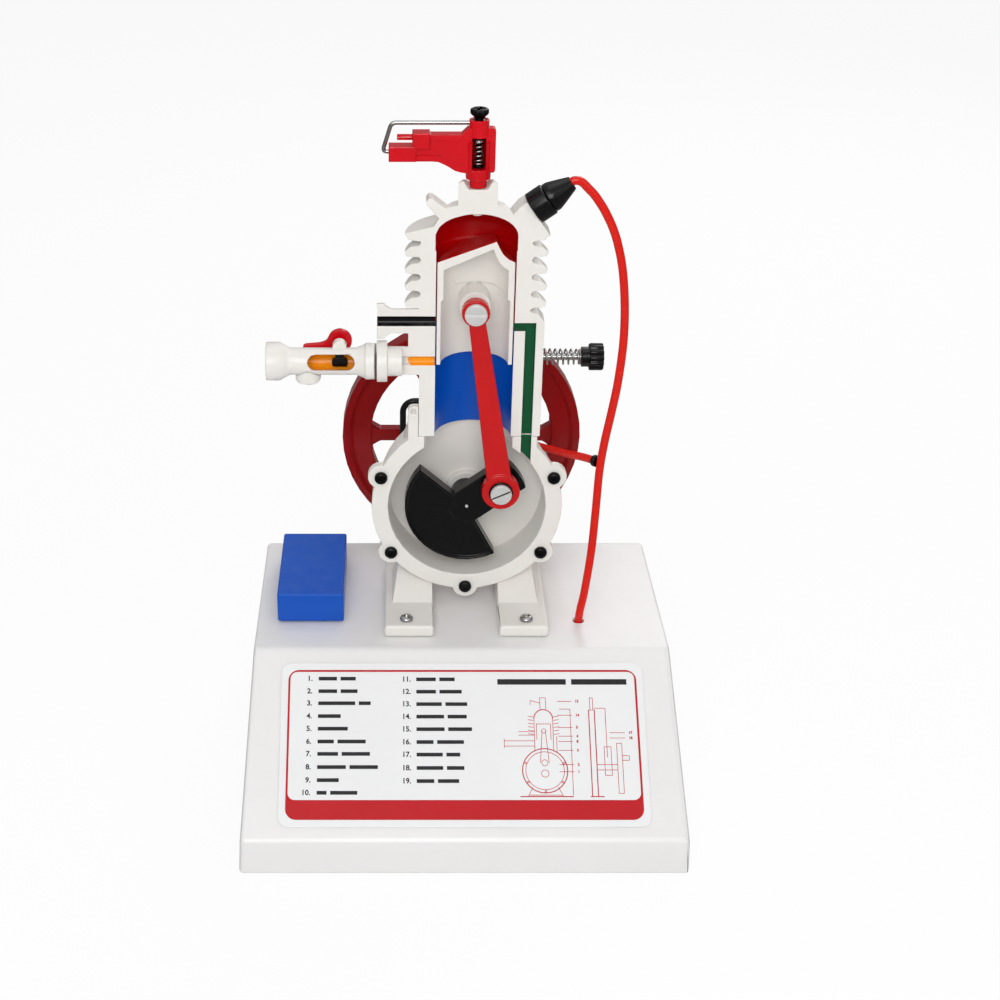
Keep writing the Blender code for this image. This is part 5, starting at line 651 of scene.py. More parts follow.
@dataclass(frozen=True)
class SectionPaint:
    """The painted parts of the sectioned castings, in the engine's frame."""

    bore: float = 0.0219
    dome_low: float = 0.1620
    dome_rise: float = 0.0126
    channel: tuple[float, float] = (0.0273, 0.0331)
    channel_start: float = 0.0212
    channel_height: float = 0.0046
    channel_floor: float = 0.0036
    wall: float = 0.0215
    exhaust: float = 0.0029
    inlet: float = 0.00265
    inlet_left: float = 0.0363
    intake: float = 0.00515
    intake_ends: tuple[float, float] = (0.0915, 0.0640)
    crown: tuple[float, float] = (0.1470, 0.1650)
    crown_slope: float = 0.15

    def along(self, colour: Colour, ends: tuple[float, float], height: float,
              radius: float, front: float = BEHIND_FACE) -> Region:
        """Paint a bore that runs across the engine.

        Args:
            colour: The paint.
            ends: Where it starts and ends across.
            height: The bore's height.
            radius: The bore's radius, with a little over.
            front: How far in front the paint starts.

        Returns:
            The region.
        """
        return Region(colour, (ends[0], front, height - radius), (ends[1], DEPTH, height + radius),
                      (0.0, 0.0, height), (0.0, 1.0, 1.0), radius)

    def block(self) -> tuple[Region, ...]:
        """List the paint of the cylinder block and of the crankcase's channel."""
        left, right = (CYLINDER_X + one for one in self.channel)
        axis = (CYLINDER_X, 0.0, self.dome_low)
        top = self.dome_low + self.dome_rise
        dome = (1.0 / self.bore, 1.0 / self.bore, 1.0 / self.dome_rise)
        wall = CYLINDER_X - self.wall
        return (
            Region(BORE_BLUE, (-DEPTH, BEHIND_FACE, JOINT_Z + 0.0004),
                   (DEPTH, DEPTH, TRANSFER_TOP), axis, radius=self.bore),
            Region(BORE_RED, (-DEPTH, BEHIND_FACE, TRANSFER_TOP), (DEPTH, DEPTH, self.dome_low),
                   axis, radius=self.bore),
            Region(BORE_RED, (-DEPTH, BEHIND_FACE, self.dome_low), (DEPTH, DEPTH, top), axis, dome),
            Region(CHANNEL_GREEN, (left, BEHIND_FACE, 0.0),
                   (right, self.channel_floor, TRANSFER_TOP + 0.0001)),
            Region(CHANNEL_GREEN, (CYLINDER_X + self.channel_start, BEHIND_FACE,
                                   TRANSFER_TOP - self.channel_height),
                   (right, self.channel_floor, TRANSFER_TOP + 0.0001)),
            self.along(CHANNEL_BLACK, (-DEPTH, wall), EXHAUST_Z, self.exhaust),
            self.along(CHANNEL_ORANGE, (CYLINDER_X - self.inlet_left + self.inlet, wall), INLET_Z,
                       self.inlet),
            Region(CHANNEL_ORANGE, (-DEPTH, BEHIND_FACE, INLET_Z - self.inlet),
                   (wall, self.channel_floor, INLET_Z + self.inlet),
                   (CYLINDER_X - self.inlet_left + self.inlet, 0.0, INLET_Z), (1.0, 0.0, 1.0),
                   self.inlet),
        )

    def intake_tube(self) -> tuple[Region, ...]:
        """Give the paint of the intake's bore, where its window shows it."""
        left, right = (CYLINDER_X - one for one in self.intake_ends)
        return (self.along(CHANNEL_ORANGE, (left, right), INLET_Z, self.intake, -self.intake),)

    def piston_crown(self) -> tuple[Region, ...]:
        """Give the paint of the piston's upper side."""
        low, high = self.crown
        return (Region(BORE_RED, (-DEPTH, BEHIND_FACE, low), (DEPTH, DEPTH, high),
                       least_up=self.crown_slope),)


class Palette:
    """Every finish of the model, each built once and kept by its own name."""

    def __init__(self) -> None:
        """Build the finishes."""
        self.effects = Effects()
        paint = SectionPaint()
        casting = dict(colour=WHITE, shade=SHADOWED_WHITE, roughness=0.32, cloud_scale=38.0,
                       cloud=0.40, pebble_scale=620.0, pebble_depth=0.00008, coat=0.05, dust=0.08,
                       specular=0.35)
        finishes = {
            "casting": Film("white_cast_paint", **casting),
            "block": Film("sectioned_casting_paint", **casting, regions=paint.block()),
            "intake": Film("intake_casting_paint", **casting, regions=paint.intake_tube()),
            "crown": Film("piston_paint", **casting, regions=paint.piston_crown()),
            "shell": Film("white_moulded_shell", (0.815, 0.805, 0.80), (0.77, 0.76, 0.755), 0.30,
                          cloud_scale=14.0, cloud=0.35, pebble_scale=1500.0,
                          pebble_depth=0.00002, dust=0.08, scratches=0.25),
            "label": Film("laminated_label", (0.84, 0.845, 0.85), (0.79, 0.79, 0.80), 0.22,
                          cloud_scale=30.0, cloud=0.3, pebble_depth=0.000008, coat=0.5,
                          scratches=0.3),
            "red_ink": Film("red_print", RED_INK, (0.43, 0.004, 0.008), 0.30, cloud_scale=60.0,
                            cloud=0.2, coat=0.2, pebble_depth=0.000005, specular=0.3),
            "black_ink": Film("black_print", (0.008, 0.008, 0.009), (0.02, 0.02, 0.02), 0.35,
                              cloud_scale=300.0, coat=0.2, pebble_depth=0.000005, specular=0.3),
            "blue": Film("blue_enamel", (0.002, 0.085, 0.50), (0.002, 0.072, 0.44), 0.34,
                         cloud_scale=22.0, cloud=0.4, pebble_scale=800.0,
                         pebble_depth=0.00006, dust=0.03, scratches=0.25, specular=0.3),
            "red": Film("red_enamel", (0.56, 0.004, 0.005), (0.48, 0.003, 0.004), 0.24,
                        pebble_scale=700.0, pebble_depth=0.00005, coat=0.2, specular=0.3),
            "wheel": Film("flywheel_enamel", (0.27, 0.0, 0.001), (0.19, 0.0, 0.0), 0.20,
                          pebble_scale=450.0, pebble_depth=0.0001, coat=0.10, specular=0.2),
            "red_plastic": Film("red_moulding", (0.62, 0.001, 0.008), (0.50, 0.001, 0.005), 0.22,
                                pebble_depth=0.00001, coat=0.08, scratches=0.2, specular=0.3),
            "black": Film("black_moulding", (0.003, 0.003, 0.0035), (0.006, 0.006, 0.006), 0.24,
                          pebble_depth=0.00002, coat=0.04, scratches=0.4, specular=0.25),
            "hose": Film("red_hose_sleeve", (0.70, 0.010, 0.003), (0.60, 0.006, 0.002), 0.24,
                         cloud_scale=30.0, cloud=0.2, pebble_depth=0.000003, unevenness=0.05,
                         coat=0.10, specular=0.3),
            "board": Pressed("pressed_board", (0.23, 0.145, 0.08), (0.34, 0.23, 0.14), 420.0),
            "gasket": Pressed("gasket_sheet", (0.05, 0.05, 0.048), (0.13, 0.12, 0.11), 1500.0),
        }
        self.made = {name: one.make(self.effects) for name, one in finishes.items()}

    def steel(self, name: str, centre: Point, axis: Axis,
              tone: Tone = Tone.BRIGHT) -> bpy.types.Material:
        """Build a turned steel whose rings run round one piece's axis.

        Args:
            name: The piece's name.
            centre: A point of its axis in the engine's frame.
            axis: The way that the axis points.
            tone: How the steel is finished.

        Returns:
            The material.
        """
        colour, worn, roughness, metallic = tone.value
        finish = Steel(name + "_" + tone.name.lower() + "_steel", colour, worn, roughness, centre,
                       axis, metallic=metallic)
        return finish.make(self.effects)

    def __getitem__(self, name: str) -> bpy.types.Material:
        """Give a finish by its name."""
        return self.made[name]


# Mesh helpers


def finished_object(name: str, data: bpy.types.ID) -> bpy.types.Object:
    """Link a mesh, a curve, a lamp or a camera to the scene as an object at the origin."""
    thing = bpy.data.objects.new(name, data)
    bpy.context.scene.collection.objects.link(thing)
    return thing


def shade(mesh: bpy.types.Mesh, angle: float = 40.0) -> None:
    """Shade a mesh smooth, with its edges past an angle in degrees kept sharp."""
    mesh.shade_smooth()
    mesh.set_sharp_from_angle(angle=math.radians(angle))


def close_mesh(mesh: bpy.types.Mesh) -> None:
    """Merge a mesh's doubles and turn its faces outwards."""
    bm = bmesh.new()
    bm.from_mesh(mesh)
    bmesh.ops.remove_doubles(bm, verts=bm.verts, dist=WELD)
    bmesh.ops.recalc_face_normals(bm, faces=bm.faces)
    bm.to_mesh(mesh)
    bm.free()


def surface(name: str, grid: np.ndarray, round_u: bool = False, round_v: bool = False,
            caps: bool = False, angle: float = 40.0) -> bpy.types.Object:
    """Make an object from a surface of two parameters, sampled on a grid.

    Each cell of the grid becomes one four-sided face. Its corners' numbers are the cell's row and
    column, and those one step on, wrapped round where the surface closes.

    Args:
        name: The object's name.
        grid: Points, by rows of the first parameter and columns of the second.
        round_u: Whether the last row joins the first.
        round_v: Whether the last column joins the first.
        caps: Whether the first and last rows are filled, for a tube of closed rows.
        angle: Edges past this angle in degrees stay sharp.

    Returns:
        The object.
    """
    rows, columns = grid.shape[:2]
    index = np.arange(rows * columns).reshape(rows, columns)
    here = index if round_u else index[:-1]
    below = np.roll(index, -1, axis=0) if round_u else index[1:]
    if round_v:
        faces = np.stack([here, below, np.roll(below, -1, 1), np.roll(here, -1, 1)], axis=-1)
    else:
        faces = np.stack([here[:, :-1], below[:, :-1], below[:, 1:], here[:, 1:]], axis=-1)
    polygons = faces.reshape(-1, 4).tolist()
    if caps:
        polygons += [index[0].tolist(), index[-1].tolist()]
    mesh = bpy.data.meshes.new(name)
    mesh.from_pydata(grid.reshape(-1, 3).tolist(), [], polygons)
    close_mesh(mesh)
    shade(mesh, angle)
    return finished_object(name, mesh)


def rounded_corners(points: Sequence[tuple[float, float]], radius: float,
                    steps: int = 4) -> np.ndarray:
    """Round the inner corners of an open profile with short parabolas.

    Args:
        points: The profile's corners.
        radius: How far from a corner its rounding starts, at most.
        steps: The faces of one rounding.

    Returns:
        The rounded profile, one point a row.
    """
    corners = np.array(points, float)
    share = np.linspace(0.0, 1.0, steps + 1)[:, None]
    result = [corners[:1]]
    for before, corner, after in zip(corners, corners[1:], corners[2:]):
        back, on = before - corner, after - corner
        reach = min(radius, np.linalg.norm(back) * 0.45, np.linalg.norm(on) * 0.45)
        first = corner + back / max(np.linalg.norm(back), 1e-9) * reach
        second = corner + on / max(np.linalg.norm(on), 1e-9) * reach
        result.append(first * (1 - share) ** 2 + corner * 2 * share * (1 - share)
                      + second * share ** 2)
    result.append(corners[-1:])
    return np.concatenate(result)


def ring_angles(steps: int = 72) -> np.ndarray:
    """Give the angles of a ring's points, evenly spaced from 0."""
    return np.arange(steps) * (math.tau / steps)


def moved(points: np.ndarray, matrix: Matrix) -> np.ndarray:
    """Move an array of points by a matrix."""
    table = np.array(matrix, float)
    return points @ table[:3, :3].T + table[:3, 3]


def engine_place(place: Point, axis: Axis = Axis.Z) -> Matrix:
    """Give the matrix that stands a piece on a point of the engine's frame, along an axis."""
    return Matrix.Translation(ENGINE + Vector(place)) @ axis.turn()


def turned(name: str, profile: np.ndarray, place: Matrix, steps: int = 48,
           angle: float = 40.0, closed: bool = False) -> bpy.types.Object:
    """Turn a profile round the Z axis of a matrix.

    The point at profile step i and angle a is (radius i times cosine a, radius i times sine a,
    height i).

    Args:
        name: The object's name.
        profile: Radius and height, one row each.
        place: The matrix of the axis.
        steps: The faces round the axis.
        angle: Edges past this angle in degrees stay sharp.
        closed: Whether the profile's end joins its start, as round a bore.

    Returns:
        The object.
    """
    angles = ring_angles(steps)
    radius, height = profile[:, 0][:, None], profile[:, 1][:, None]
    grid = np.stack([radius * np.cos(angles), radius * np.sin(angles),
                     height + np.zeros(steps)], axis=-1)
    return surface(name, moved(grid, place), round_u=closed, round_v=True, angle=angle)


def ring_stack(name: str, rings: Sequence[tuple[object, float]], place: Matrix,
               steps: int = 72, angle: float = 40.0) -> bpy.types.Object:
    """Join rings whose radius may change round the axis, such as a socket's six sides.

    Args:
        name: The object's name.
        rings: The radius, one number or one for each step, and the height of each ring.
        place: The matrix of the axis.
        steps: The points of a ring.
        angle: Edges past this angle in degrees stay sharp.

    Returns:
        The object.
    """
    angles = ring_angles(steps)
    radius = np.array([np.broadcast_to(ring, steps) for ring, _ in rings], float)
    height = np.array([np.full(steps, level) for _, level in rings], float)
    grid = np.stack([radius * np.cos(angles), radius * np.sin(angles), height], axis=-1)
    return surface(name, moved(grid, place), round_v=True, angle=angle)


def swept(name: str, path: np.ndarray, aside: np.ndarray, radius: float, sides: int,
          place: Matrix) -> bpy.types.Object:
    """Carry a circle along a path.

    The circle's two directions are the given one and the direction square to that and to the path.

    Args:
        name: The object's name.
        path: The path's points.
        aside: The circle's first direction at each point.
        radius: The circle's radius.
        sides: The faces round it.
        place: The matrix that moves the path to its place.

    Returns:
        The object.
    """
    along = np.gradient(path, axis=0)
    along /= np.linalg.norm(along, axis=1)[:, None]
    ring = ring_angles(sides)[None, :, None]
    grid = path[:, None] + radius * (aside[:, None] * np.cos(ring)
                                     + np.cross(along, aside)[:, None] * np.sin(ring))
    return surface(name, moved(grid, place), round_v=True, caps=True, angle=60.0)


def spring(name: str, radii: tuple[float, float], wire: float, run: tuple[float, float],
           turns: int, place: Matrix) -> bpy.types.Object:
    """Wind a compression spring with closed ends.

    The centre line is radius times (cosine a, sine a) and a height that gains one wire's width a
    turn at the ends and an even pitch between. A circle goes along it from the outward direction.

    Args:
        name: The object's name.
        radii: The coil's radius at its start and its end.
        wire: The wire's radius.
        run: The heights of the centre line's start and end.
        turns: The number of turns.
        place: The matrix of the axis.

    Returns:
        The object.
    """
    count = turns * 28
    share = np.linspace(0.0, 1.0, count + 1)
    at_turn = share * turns
    inner = np.clip(np.minimum(at_turn, turns - at_turn) - 0.75, 0.0, 0.5) / 0.5
    pace = 0.06 + inner
    climb = np.concatenate([[0.0], np.cumsum((pace[1:] + pace[:-1]) / 2)])
    height = run[0] + (run[1] - run[0]) * climb / climb[-1]
    turn = share * turns * math.tau
    radius = radii[0] + (radii[1] - radii[0]) * share
    outward = np.stack([np.cos(turn), np.sin(turn), np.zeros(count + 1)], axis=-1)
    centre = outward * radius[:, None] + np.stack([turn * 0, turn * 0, height], axis=-1)
    return swept(name, centre, outward, wire, 10, place)


def press(coil: bpy.types.Object) -> None:
    """Give a standing spring a mesh of its own.

    Args:
        coil: The spring.
    """
    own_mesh(coil)


def tube(name: str, path: np.ndarray, radius: float, sides: int = 16) -> bpy.types.Object:
    """Carry a circle along a path that lies in a plane of constant y, from +Y."""
    aside = np.broadcast_to(np.array([0.0, 1.0, 0.0]), path.shape)
    return swept(name, path, aside, radius, sides, Matrix.Identity(4))


def apply_modifiers(thing: bpy.types.Object) -> None:
    """Give an object the mesh that its modifiers make, and take them off."""
    graph = bpy.context.evaluated_depsgraph_get()
    applied = bpy.data.meshes.new_from_object(thing.evaluated_get(graph),
                                              preserve_all_data_layers=True, depsgraph=graph)
    thing.modifiers.clear()
    thing.data = applied


def unfold(mesh: bpy.types.Mesh, passes: int = 12) -> None:
    """Mend the flat triangles that a rounding folded over.

    A triangle is folded where its normal is against the one that its face has in the CAD node. The
    edge between it and a flat neighbour is turned, and stays so where less area is folded then.

    Args:
        mesh: The mesh, which holds each face's first normal.
        passes: How often all folded triangles are gone through, at most.
    """
    bm = bmesh.new()
    bm.from_mesh(mesh)
    own = bm.faces.layers.float_vector[OWN_NORMAL]

    def level(face: bmesh.types.BMFace) -> float:
        """Give how far a face still looks the way that it did."""
        return face.normal.dot(face[own])

    def folded(edge: bmesh.types.BMEdge, way: Vector) -> float:
        """Mark an edge's two triangles with their first normal and give their folded area."""
        area = 0.0
        for one in edge.link_faces:
            one.normal_update()
            one[own] = way
            area += max(0.0, -one.calc_area() * level(one))
        return area

    bmesh.ops.triangulate(bm, faces=[one for one in bm.faces
                                     if len(one.verts) > 3 and abs(level(one)) > LEVEL])
    for _ in range(passes):
        better = 0
        for face in [one for one in bm.faces if len(one.verts) == 3 and level(one) < -LEVEL]:
            if not face.is_valid:
                continue
            edge = max(face.edges, key=bmesh.types.BMEdge.calc_length)
            if any(len(one.verts) != 3 or abs(level(one)) < LEVEL
                   or face[own].dot(one[own]) < LEVEL for one in edge.link_faces):
                continue
            way = face[own].copy()
            before = folded(edge, way)
            made = bmesh.utils.edge_rotate(edge, True)
            if made and folded(made, way) < before * LEVEL:
                better += 1
            elif made:
                made = bmesh.utils.edge_rotate(made, False)
                if made:
                    folded(made, way)
        if not better:
            break
    bm.to_mesh(mesh)
    bm.free()
    mesh.attributes.remove(mesh.attributes[OWN_NORMAL])


def softened(node: str, name: str, width: float, segments: int = 2,
             angle: float = 30.0) -> bpy.types.Object:
    """Copy a CAD node, merge its loose triangles and round its sharp edges.

    The faces beside a rounding keep their own normals, and the rounding stays in the node's box. A
    rounded point that lands farther off the node's surface than half the width goes back to it.

    Args:
        node: The CAD node.
        name: The copy's name.
        width: The rounding's width.
        segments: The faces across a rounding.
        angle: Edges past this angle in degrees are rounded.

    Returns:
        The copy.
    """
    mesh = frame["nodes"][node].data.copy()
    mesh.name = name
    mesh.materials.clear()
    for stored in [one for one in mesh.attributes if one.name == "custom_normal"]:
        mesh.attributes.remove(stored)
    bm = bmesh.new()
    bm.from_mesh(mesh)
    bmesh.ops.remove_doubles(bm, verts=bm.verts, dist=WELD)
    skin = BVHTree.FromBMesh(bm)
    if width > 0.0:
        own = bm.faces.layers.float_vector.new(OWN_NORMAL)
        for face in bm.faces:
            face[own] = face.normal
    bm.to_mesh(mesh)
    bm.free()
    shade(mesh, 35.0)
    thing = finished_object(name, mesh)
    if width > 0.0:
        edge = thing.modifiers.new("edge", "BEVEL")
        edge.width = width
        edge.segments = segments
        edge.limit_method = "ANGLE"
        edge.angle_limit = math.radians(angle)
        edge.use_clamp_overlap = False
        edge.face_strength_mode = "FSTR_ALL"
        apply_modifiers(thing)
        unfold(thing.data)
        points = np.empty(len(thing.data.vertices) * 3, np.float32)
        thing.data.vertices.foreach_get("co", points)
        nearest = [skin.find_nearest(one.co) for one in thing.data.vertices]
        stray = np.array([found[3] for found in nearest]) > width / 2
        points.reshape(-1, 3)[stray] = np.array([tuple(found[0]) for found in nearest])[stray]
        inside = np.clip(points.reshape(-1, 3), *(np.array(one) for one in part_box(node)))
        thing.data.vertices.foreach_set("co", inside.astype(np.float32).ravel())
        even = thing.modifiers.new("even", "WEIGHTED_NORMAL")
        even.keep_sharp = True
        even.use_face_influence = True
        apply_modifiers(thing)
    return thing


def place_piece(thing: bpy.types.Object, material: bpy.types.Material,
                nodes: Sequence[str], body: str | None = None) -> bpy.types.Object:
    """Dress a piece, let it ride on its body and let it stand for its CAD nodes.

    Args:
        thing: The piece.
        material: Its finish.
        nodes: The CAD nodes that it stands for.
        body: The body that it rides on, or None for the first node's own.

    Returns:
        The piece.
    """
    thing.data.materials.clear()
    thing.data.materials.append(material)
    if nodes:
        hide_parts(*nodes)
    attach(thing, body or frame["nodes"][nodes[0]]["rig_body"])
    return thing


@dataclass(frozen=True)
class Copy:
    """A rounded copy of a CAD node, with its finish and the record's slot of that finish."""

    node: str
    name: str
    width: float
    finish: str
    slot: Slot
    segments: int = 2
    angle: float = 30.0

    def place(self, palette: Palette) -> None:
        """Build and dress the copy."""
        place_piece(softened(self.node, self.name, self.width, self.segments, self.angle),
                    palette[self.finish], (self.node,))


def place_steel(palette: Palette, thing: bpy.types.Object, node: str, name: str, centre: Point,
                axis: Axis, tone: Tone = Tone.BRIGHT) -> None:
    """Dress a steel piece, with the rings of its lathe round its own axis.

    Args:
        palette: The finishes.
        thing: The piece.
        node: The CAD node that it stands for.
        name: The first part of its material's name.
        centre: A point of its axis in the engine's frame.
        axis: The way that the axis points.
        tone: How the steel is finished.
    """
    place_piece(thing, palette.steel(name, centre, axis, tone), (node,))


# Sub-assemblies


@dataclass
class Studio:
    """The floor, the lamps, the surroundings and the camera."""

    camera_place: Point = (-0.0378, -0.8074, 0.6109)
    camera_tilt: float = 62.0
    lens: float = 59.83
    shift: tuple[float, float] = (0.105, -0.010)
    floor_half: float = 6.0
    lamps: tuple[tuple[str, Point, float, float], ...] = (
        ("key", (-0.75, -1.15, 1.45), 0.9, 3.0),
        ("fill", (1.05, -0.95, 0.95), 0.9, 2.0),
        ("front", (-0.10, -1.25, 0.95), 0.7, 9.4),
        ("top", (0.05, 0.25, 1.75), 1.1, 4.4),
        ("back", (0.55, 1.25, 1.05), 0.8, 6.0),
    )
    aim: Point = (0.0, 0.0, 0.19)
    ambient: float = 0.41
    gloss_low: float = 0.0
    gloss_high: float = 0.8
    gloss_levels: tuple[float, float] = (0.13, 0.60)
    floor_gloss: float = 0.20
    floor_glow: float = 0.90

    def build(self) -> None:
        """Build the studio."""
        self.build_camera()
        self.build_world()
        self.build_floor()
        for name, place, size, power in self.lamps:
            data = bpy.data.lights.new(name, "AREA")
            data.size = size
            data.energy = power
            lamp = finished_object(name, data)
            lamp.location = place
            aim = Vector(self.aim) - Vector(place)
            lamp.rotation_euler = aim.to_track_quat("-Z", "Y").to_euler()

    def build_camera(self) -> None:
        """Stand the camera where the photograph was taken from."""
        data = bpy.data.cameras.new("camera")
        data.lens = self.lens
        data.sensor_width = 36.0
        data.shift_x, data.shift_y = self.shift
        camera = finished_object("camera", data)
        camera.location = self.camera_place
        camera.rotation_euler = (math.radians(self.camera_tilt), 0.0, 0.0)
        bpy.context.scene.camera = camera

    def build_world(self) -> None:
        """Light the model evenly, with plain white behind it for the eye and for gloss."""
        world = bpy.data.worlds.new("studio")
        bpy.context.scene.world = world
        world.use_nodes = True
        tree = Tree(world.node_tree)
        path = tree.add("LightPath")
        seen = tree.math("MAXIMUM", path.outputs["Is Camera Ray"],
                         path.outputs["Is Transmission Ray"])
        overhead = tree.parts(tree.add("TexCoord").outputs["Generated"])["Z"]
        sky = tree.spread(overhead, self.gloss_low, self.gloss_high, *self.gloss_levels)
        glossy = path.outputs["Is Glossy Ray"]
        around = tree.math("ADD", tree.math("MULTIPLY", glossy, sky),
                           tree.math("MULTIPLY", tree.math("SUBTRACT", 1.0, glossy), self.ambient))
        level = tree.math("MAXIMUM", seen, around)
        background = world.node_tree.nodes["Background"]
        background.inputs["Color"].default_value = (1.0, 1.0, 1.0, 1.0)
        tree.feed(background.inputs["Strength"], level)
        bpy.context.scene.view_settings.view_transform = "Standard"

    def build_floor(self) -> None:
        """Lay a white floor that keeps a faint shadow."""
        half = self.floor_half
        corner = np.array([-half, half])
        grid = np.stack([*np.meshgrid(corner, corner, indexing="ij"), np.zeros((2, 2))], axis=-1)
        floor = surface("studio_floor", grid)
        material = bpy.data.materials.new("studio_floor")
        material.use_nodes = True
        tree = Tree(material.node_tree)
        shader = material.node_tree.nodes["Principled BSDF"]
        shader.inputs["Base Color"].default_value = (0.92, 0.92, 0.92, 1.0)
        shader.inputs["Roughness"].default_value = 0.9
        path = tree.add("LightPath")
        white = tree.add("Emission")
        white.inputs["Color"].default_value = (1.0, 1.0, 1.0, 1.0)
        both = tree.add("MixShader")
        seen = tree.math("MAXIMUM", path.outputs["Is Camera Ray"], path.outputs["Is Glossy Ray"])
        tree.feed(both.inputs[0], tree.math("MULTIPLY", seen, self.floor_glow))
        strength = tree.math("ADD", path.outputs["Is Camera Ray"],
                             tree.math("MULTIPLY", path.outputs["Is Glossy Ray"],
                                       self.floor_gloss), clamp=True)
        tree.feed(white.inputs["Strength"], strength)
        tree.feed(both.inputs[1], shader.outputs["BSDF"])
        tree.feed(both.inputs[2], white.outputs["Emission"])
        out = material.node_tree.nodes["Material Output"]
        tree.feed(out.inputs["Surface"], both.outputs["Shader"])
        floor.data.materials.append(material)


@dataclass
class Hoses:
    """The red delivery hose, its branch from the pump and the branch's band."""

    palette: Palette
    radius: float = 0.0023
    spacing: float = 0.0090
    fine_steps: int = 20
    tilt: float = math.radians(35.5)
    seat: Point = (0.0316, 0.0050, 0.1754)
    mouth: float = 0.0243
    band_radius: float = 0.0034
    band_length: float = 0.0030
    delivery: tuple[Point, ...] = (
        (0.0562, 0.0048, 0.1896), (0.0627, 0.0045, 0.1837), (0.0688, 0.0042, 0.1750),
        (0.0748, 0.0038, 0.1630), (0.0797, 0.0032, 0.1458), (0.0825, 0.0026, 0.1248),
        (0.0833, 0.0019, 0.1023), (0.0818, 0.0012, 0.0788), (0.0794, 0.0007, 0.0608),
        (0.0765, 0.0001, 0.0425), (0.0743, -0.0018, 0.0246), (0.0731, -0.0052, 0.0008),
        (0.0716, -0.0088, -0.0235), (0.0687, -0.0125, -0.0482), (0.0664, -0.0145, -0.0610),
        (0.0657, -0.0149, -0.0690), (0.0655, -0.0150, -0.0790))
    branch: tuple[Point, ...] = (
        (0.0193, 0.0500, 0.0210), (0.0222, 0.0500, 0.0210), (0.0290, 0.0500, 0.0200),
        (0.0370, 0.0480, 0.0180), (0.0435, 0.0445, 0.0168), (0.0499, 0.0380, 0.0180),
        (0.0558, 0.0300, 0.0200), (0.0594, 0.0222, 0.0226), (0.0636, 0.0148, 0.0252),
        (0.0676, 0.0089, 0.0270), (0.0714, 0.0036, 0.0281))

    def smooth(self, points: Sequence[Point]) -> tuple[np.ndarray, float]:
        """Run a smooth curve through points and sample it at an even spacing.

        Each stretch is the cubic that passes through its two points and heads, at each, along the
        line between that point's neighbours.

        Args:
            points: The route's points.

        Returns:
            The sampled points and the curve's length.
        """
        nodes = np.array(points, float)
        padded = np.concatenate([[nodes[0] * 2 - nodes[1]], nodes, [nodes[-1] * 2 - nodes[-2]]])
        t = (np.arange(self.fine_steps) / self.fine_steps)[None, :, None]
        a, b, c, d = (padded[k:len(padded) - 3 + k][:, None] for k in range(4))
        fine = ((b * 2) + (c - a) * t + (a * 2 - b * 5 + c * 4 - d) * t ** 2
                + (b * 3 - a - c * 3 + d) * t ** 3) / 2
        fine = np.concatenate([fine.reshape(-1, 3), nodes[-1:]])
        lengths = np.concatenate([[0.0], np.cumsum(np.linalg.norm(np.diff(fine, axis=0), axis=1))])
        count = max(2, round(lengths[-1] / self.spacing))
        target = np.linspace(0.0, lengths[-1], count + 1)
        even = np.stack([np.interp(target, lengths, fine[:, k]) for k in range(3)], axis=-1)
        return even, float(lengths[-1])

    def hose(self, name: str, points: np.ndarray) -> bpy.types.Object:
        """Make a hose as a curve through points of the engine's frame.

        Args:
            name: The hose's name.
            points: Its points.

        Returns:
            The hose.
        """
        curve = bpy.data.curves.new(name, "CURVE")
        curve.dimensions = "3D"
        curve.bevel_depth = self.radius
        curve.bevel_resolution = 5
        curve.use_fill_caps = True
        curve.resolution_u = 6
        spline = curve.splines.new("BEZIER")
        spline.bezier_points.add(len(points) - 1)
        for slot, point in zip(spline.bezier_points, points + np.array(ENGINE)):
            slot.co = point
            slot.handle_left_type = slot.handle_right_type = "AUTO"
        return finished_object(name, curve)

    def build(self) -> None:
        """Build both hoses and the band."""
        out = np.array([math.cos(self.tilt), 0.0, math.sin(self.tilt)])
        seat = np.array(self.seat)
        start = seat + out * (self.mouth - self.radius * 2 + 0.0003)
        nose = seat + out * (self.mouth + self.radius)
        route, length = self.smooth([tuple(nose), *self.delivery])
        route = np.concatenate([[start], route])
        length += float(np.linalg.norm(nose - start))
        main = self.hose("delivery_hose_sleeve", route)
        place_piece(main, self.palette["hose"], ("delivery_hose",))
        side, side_length = self.smooth(self.branch)
        branch = self.hose("branch_hose_sleeve", side)
        place_piece(branch, self.palette["hose"], ("branch_hose",))
        band = self.build_band(side)

    def build_band(self, side: np.ndarray) -> bpy.types.Object:
        """Build the black clip that joins the branch to the delivery hose.

        Args:
            side: The branch's points.

        Returns:
            The band.
        """
        heading = Vector(side[-1] - side[-2]).normalized()
        start = Vector(side[-1]) + heading * 0.0003 + ENGINE
        turn = Vector((0, 0, 1)).rotation_difference(heading).to_matrix().to_4x4()
        radius, long = self.band_radius, self.band_length
        groove = radius * 0.93
        profile = rounded_corners(((0.0, long), (groove, long), (radius, long * 0.86),
                                   (radius, long * 0.62), (groove, long * 0.5),
                                   (radius, long * 0.38), (radius, long * 0.14), (groove, 0.0),
                                   (0.0, 0.0)), 0.0002, 2)
        band = turned("branch_clip", profile, Matrix.Translation(start) @ turn, 32)
        return place_piece(band, self.palette["black"], ("branch_band",))


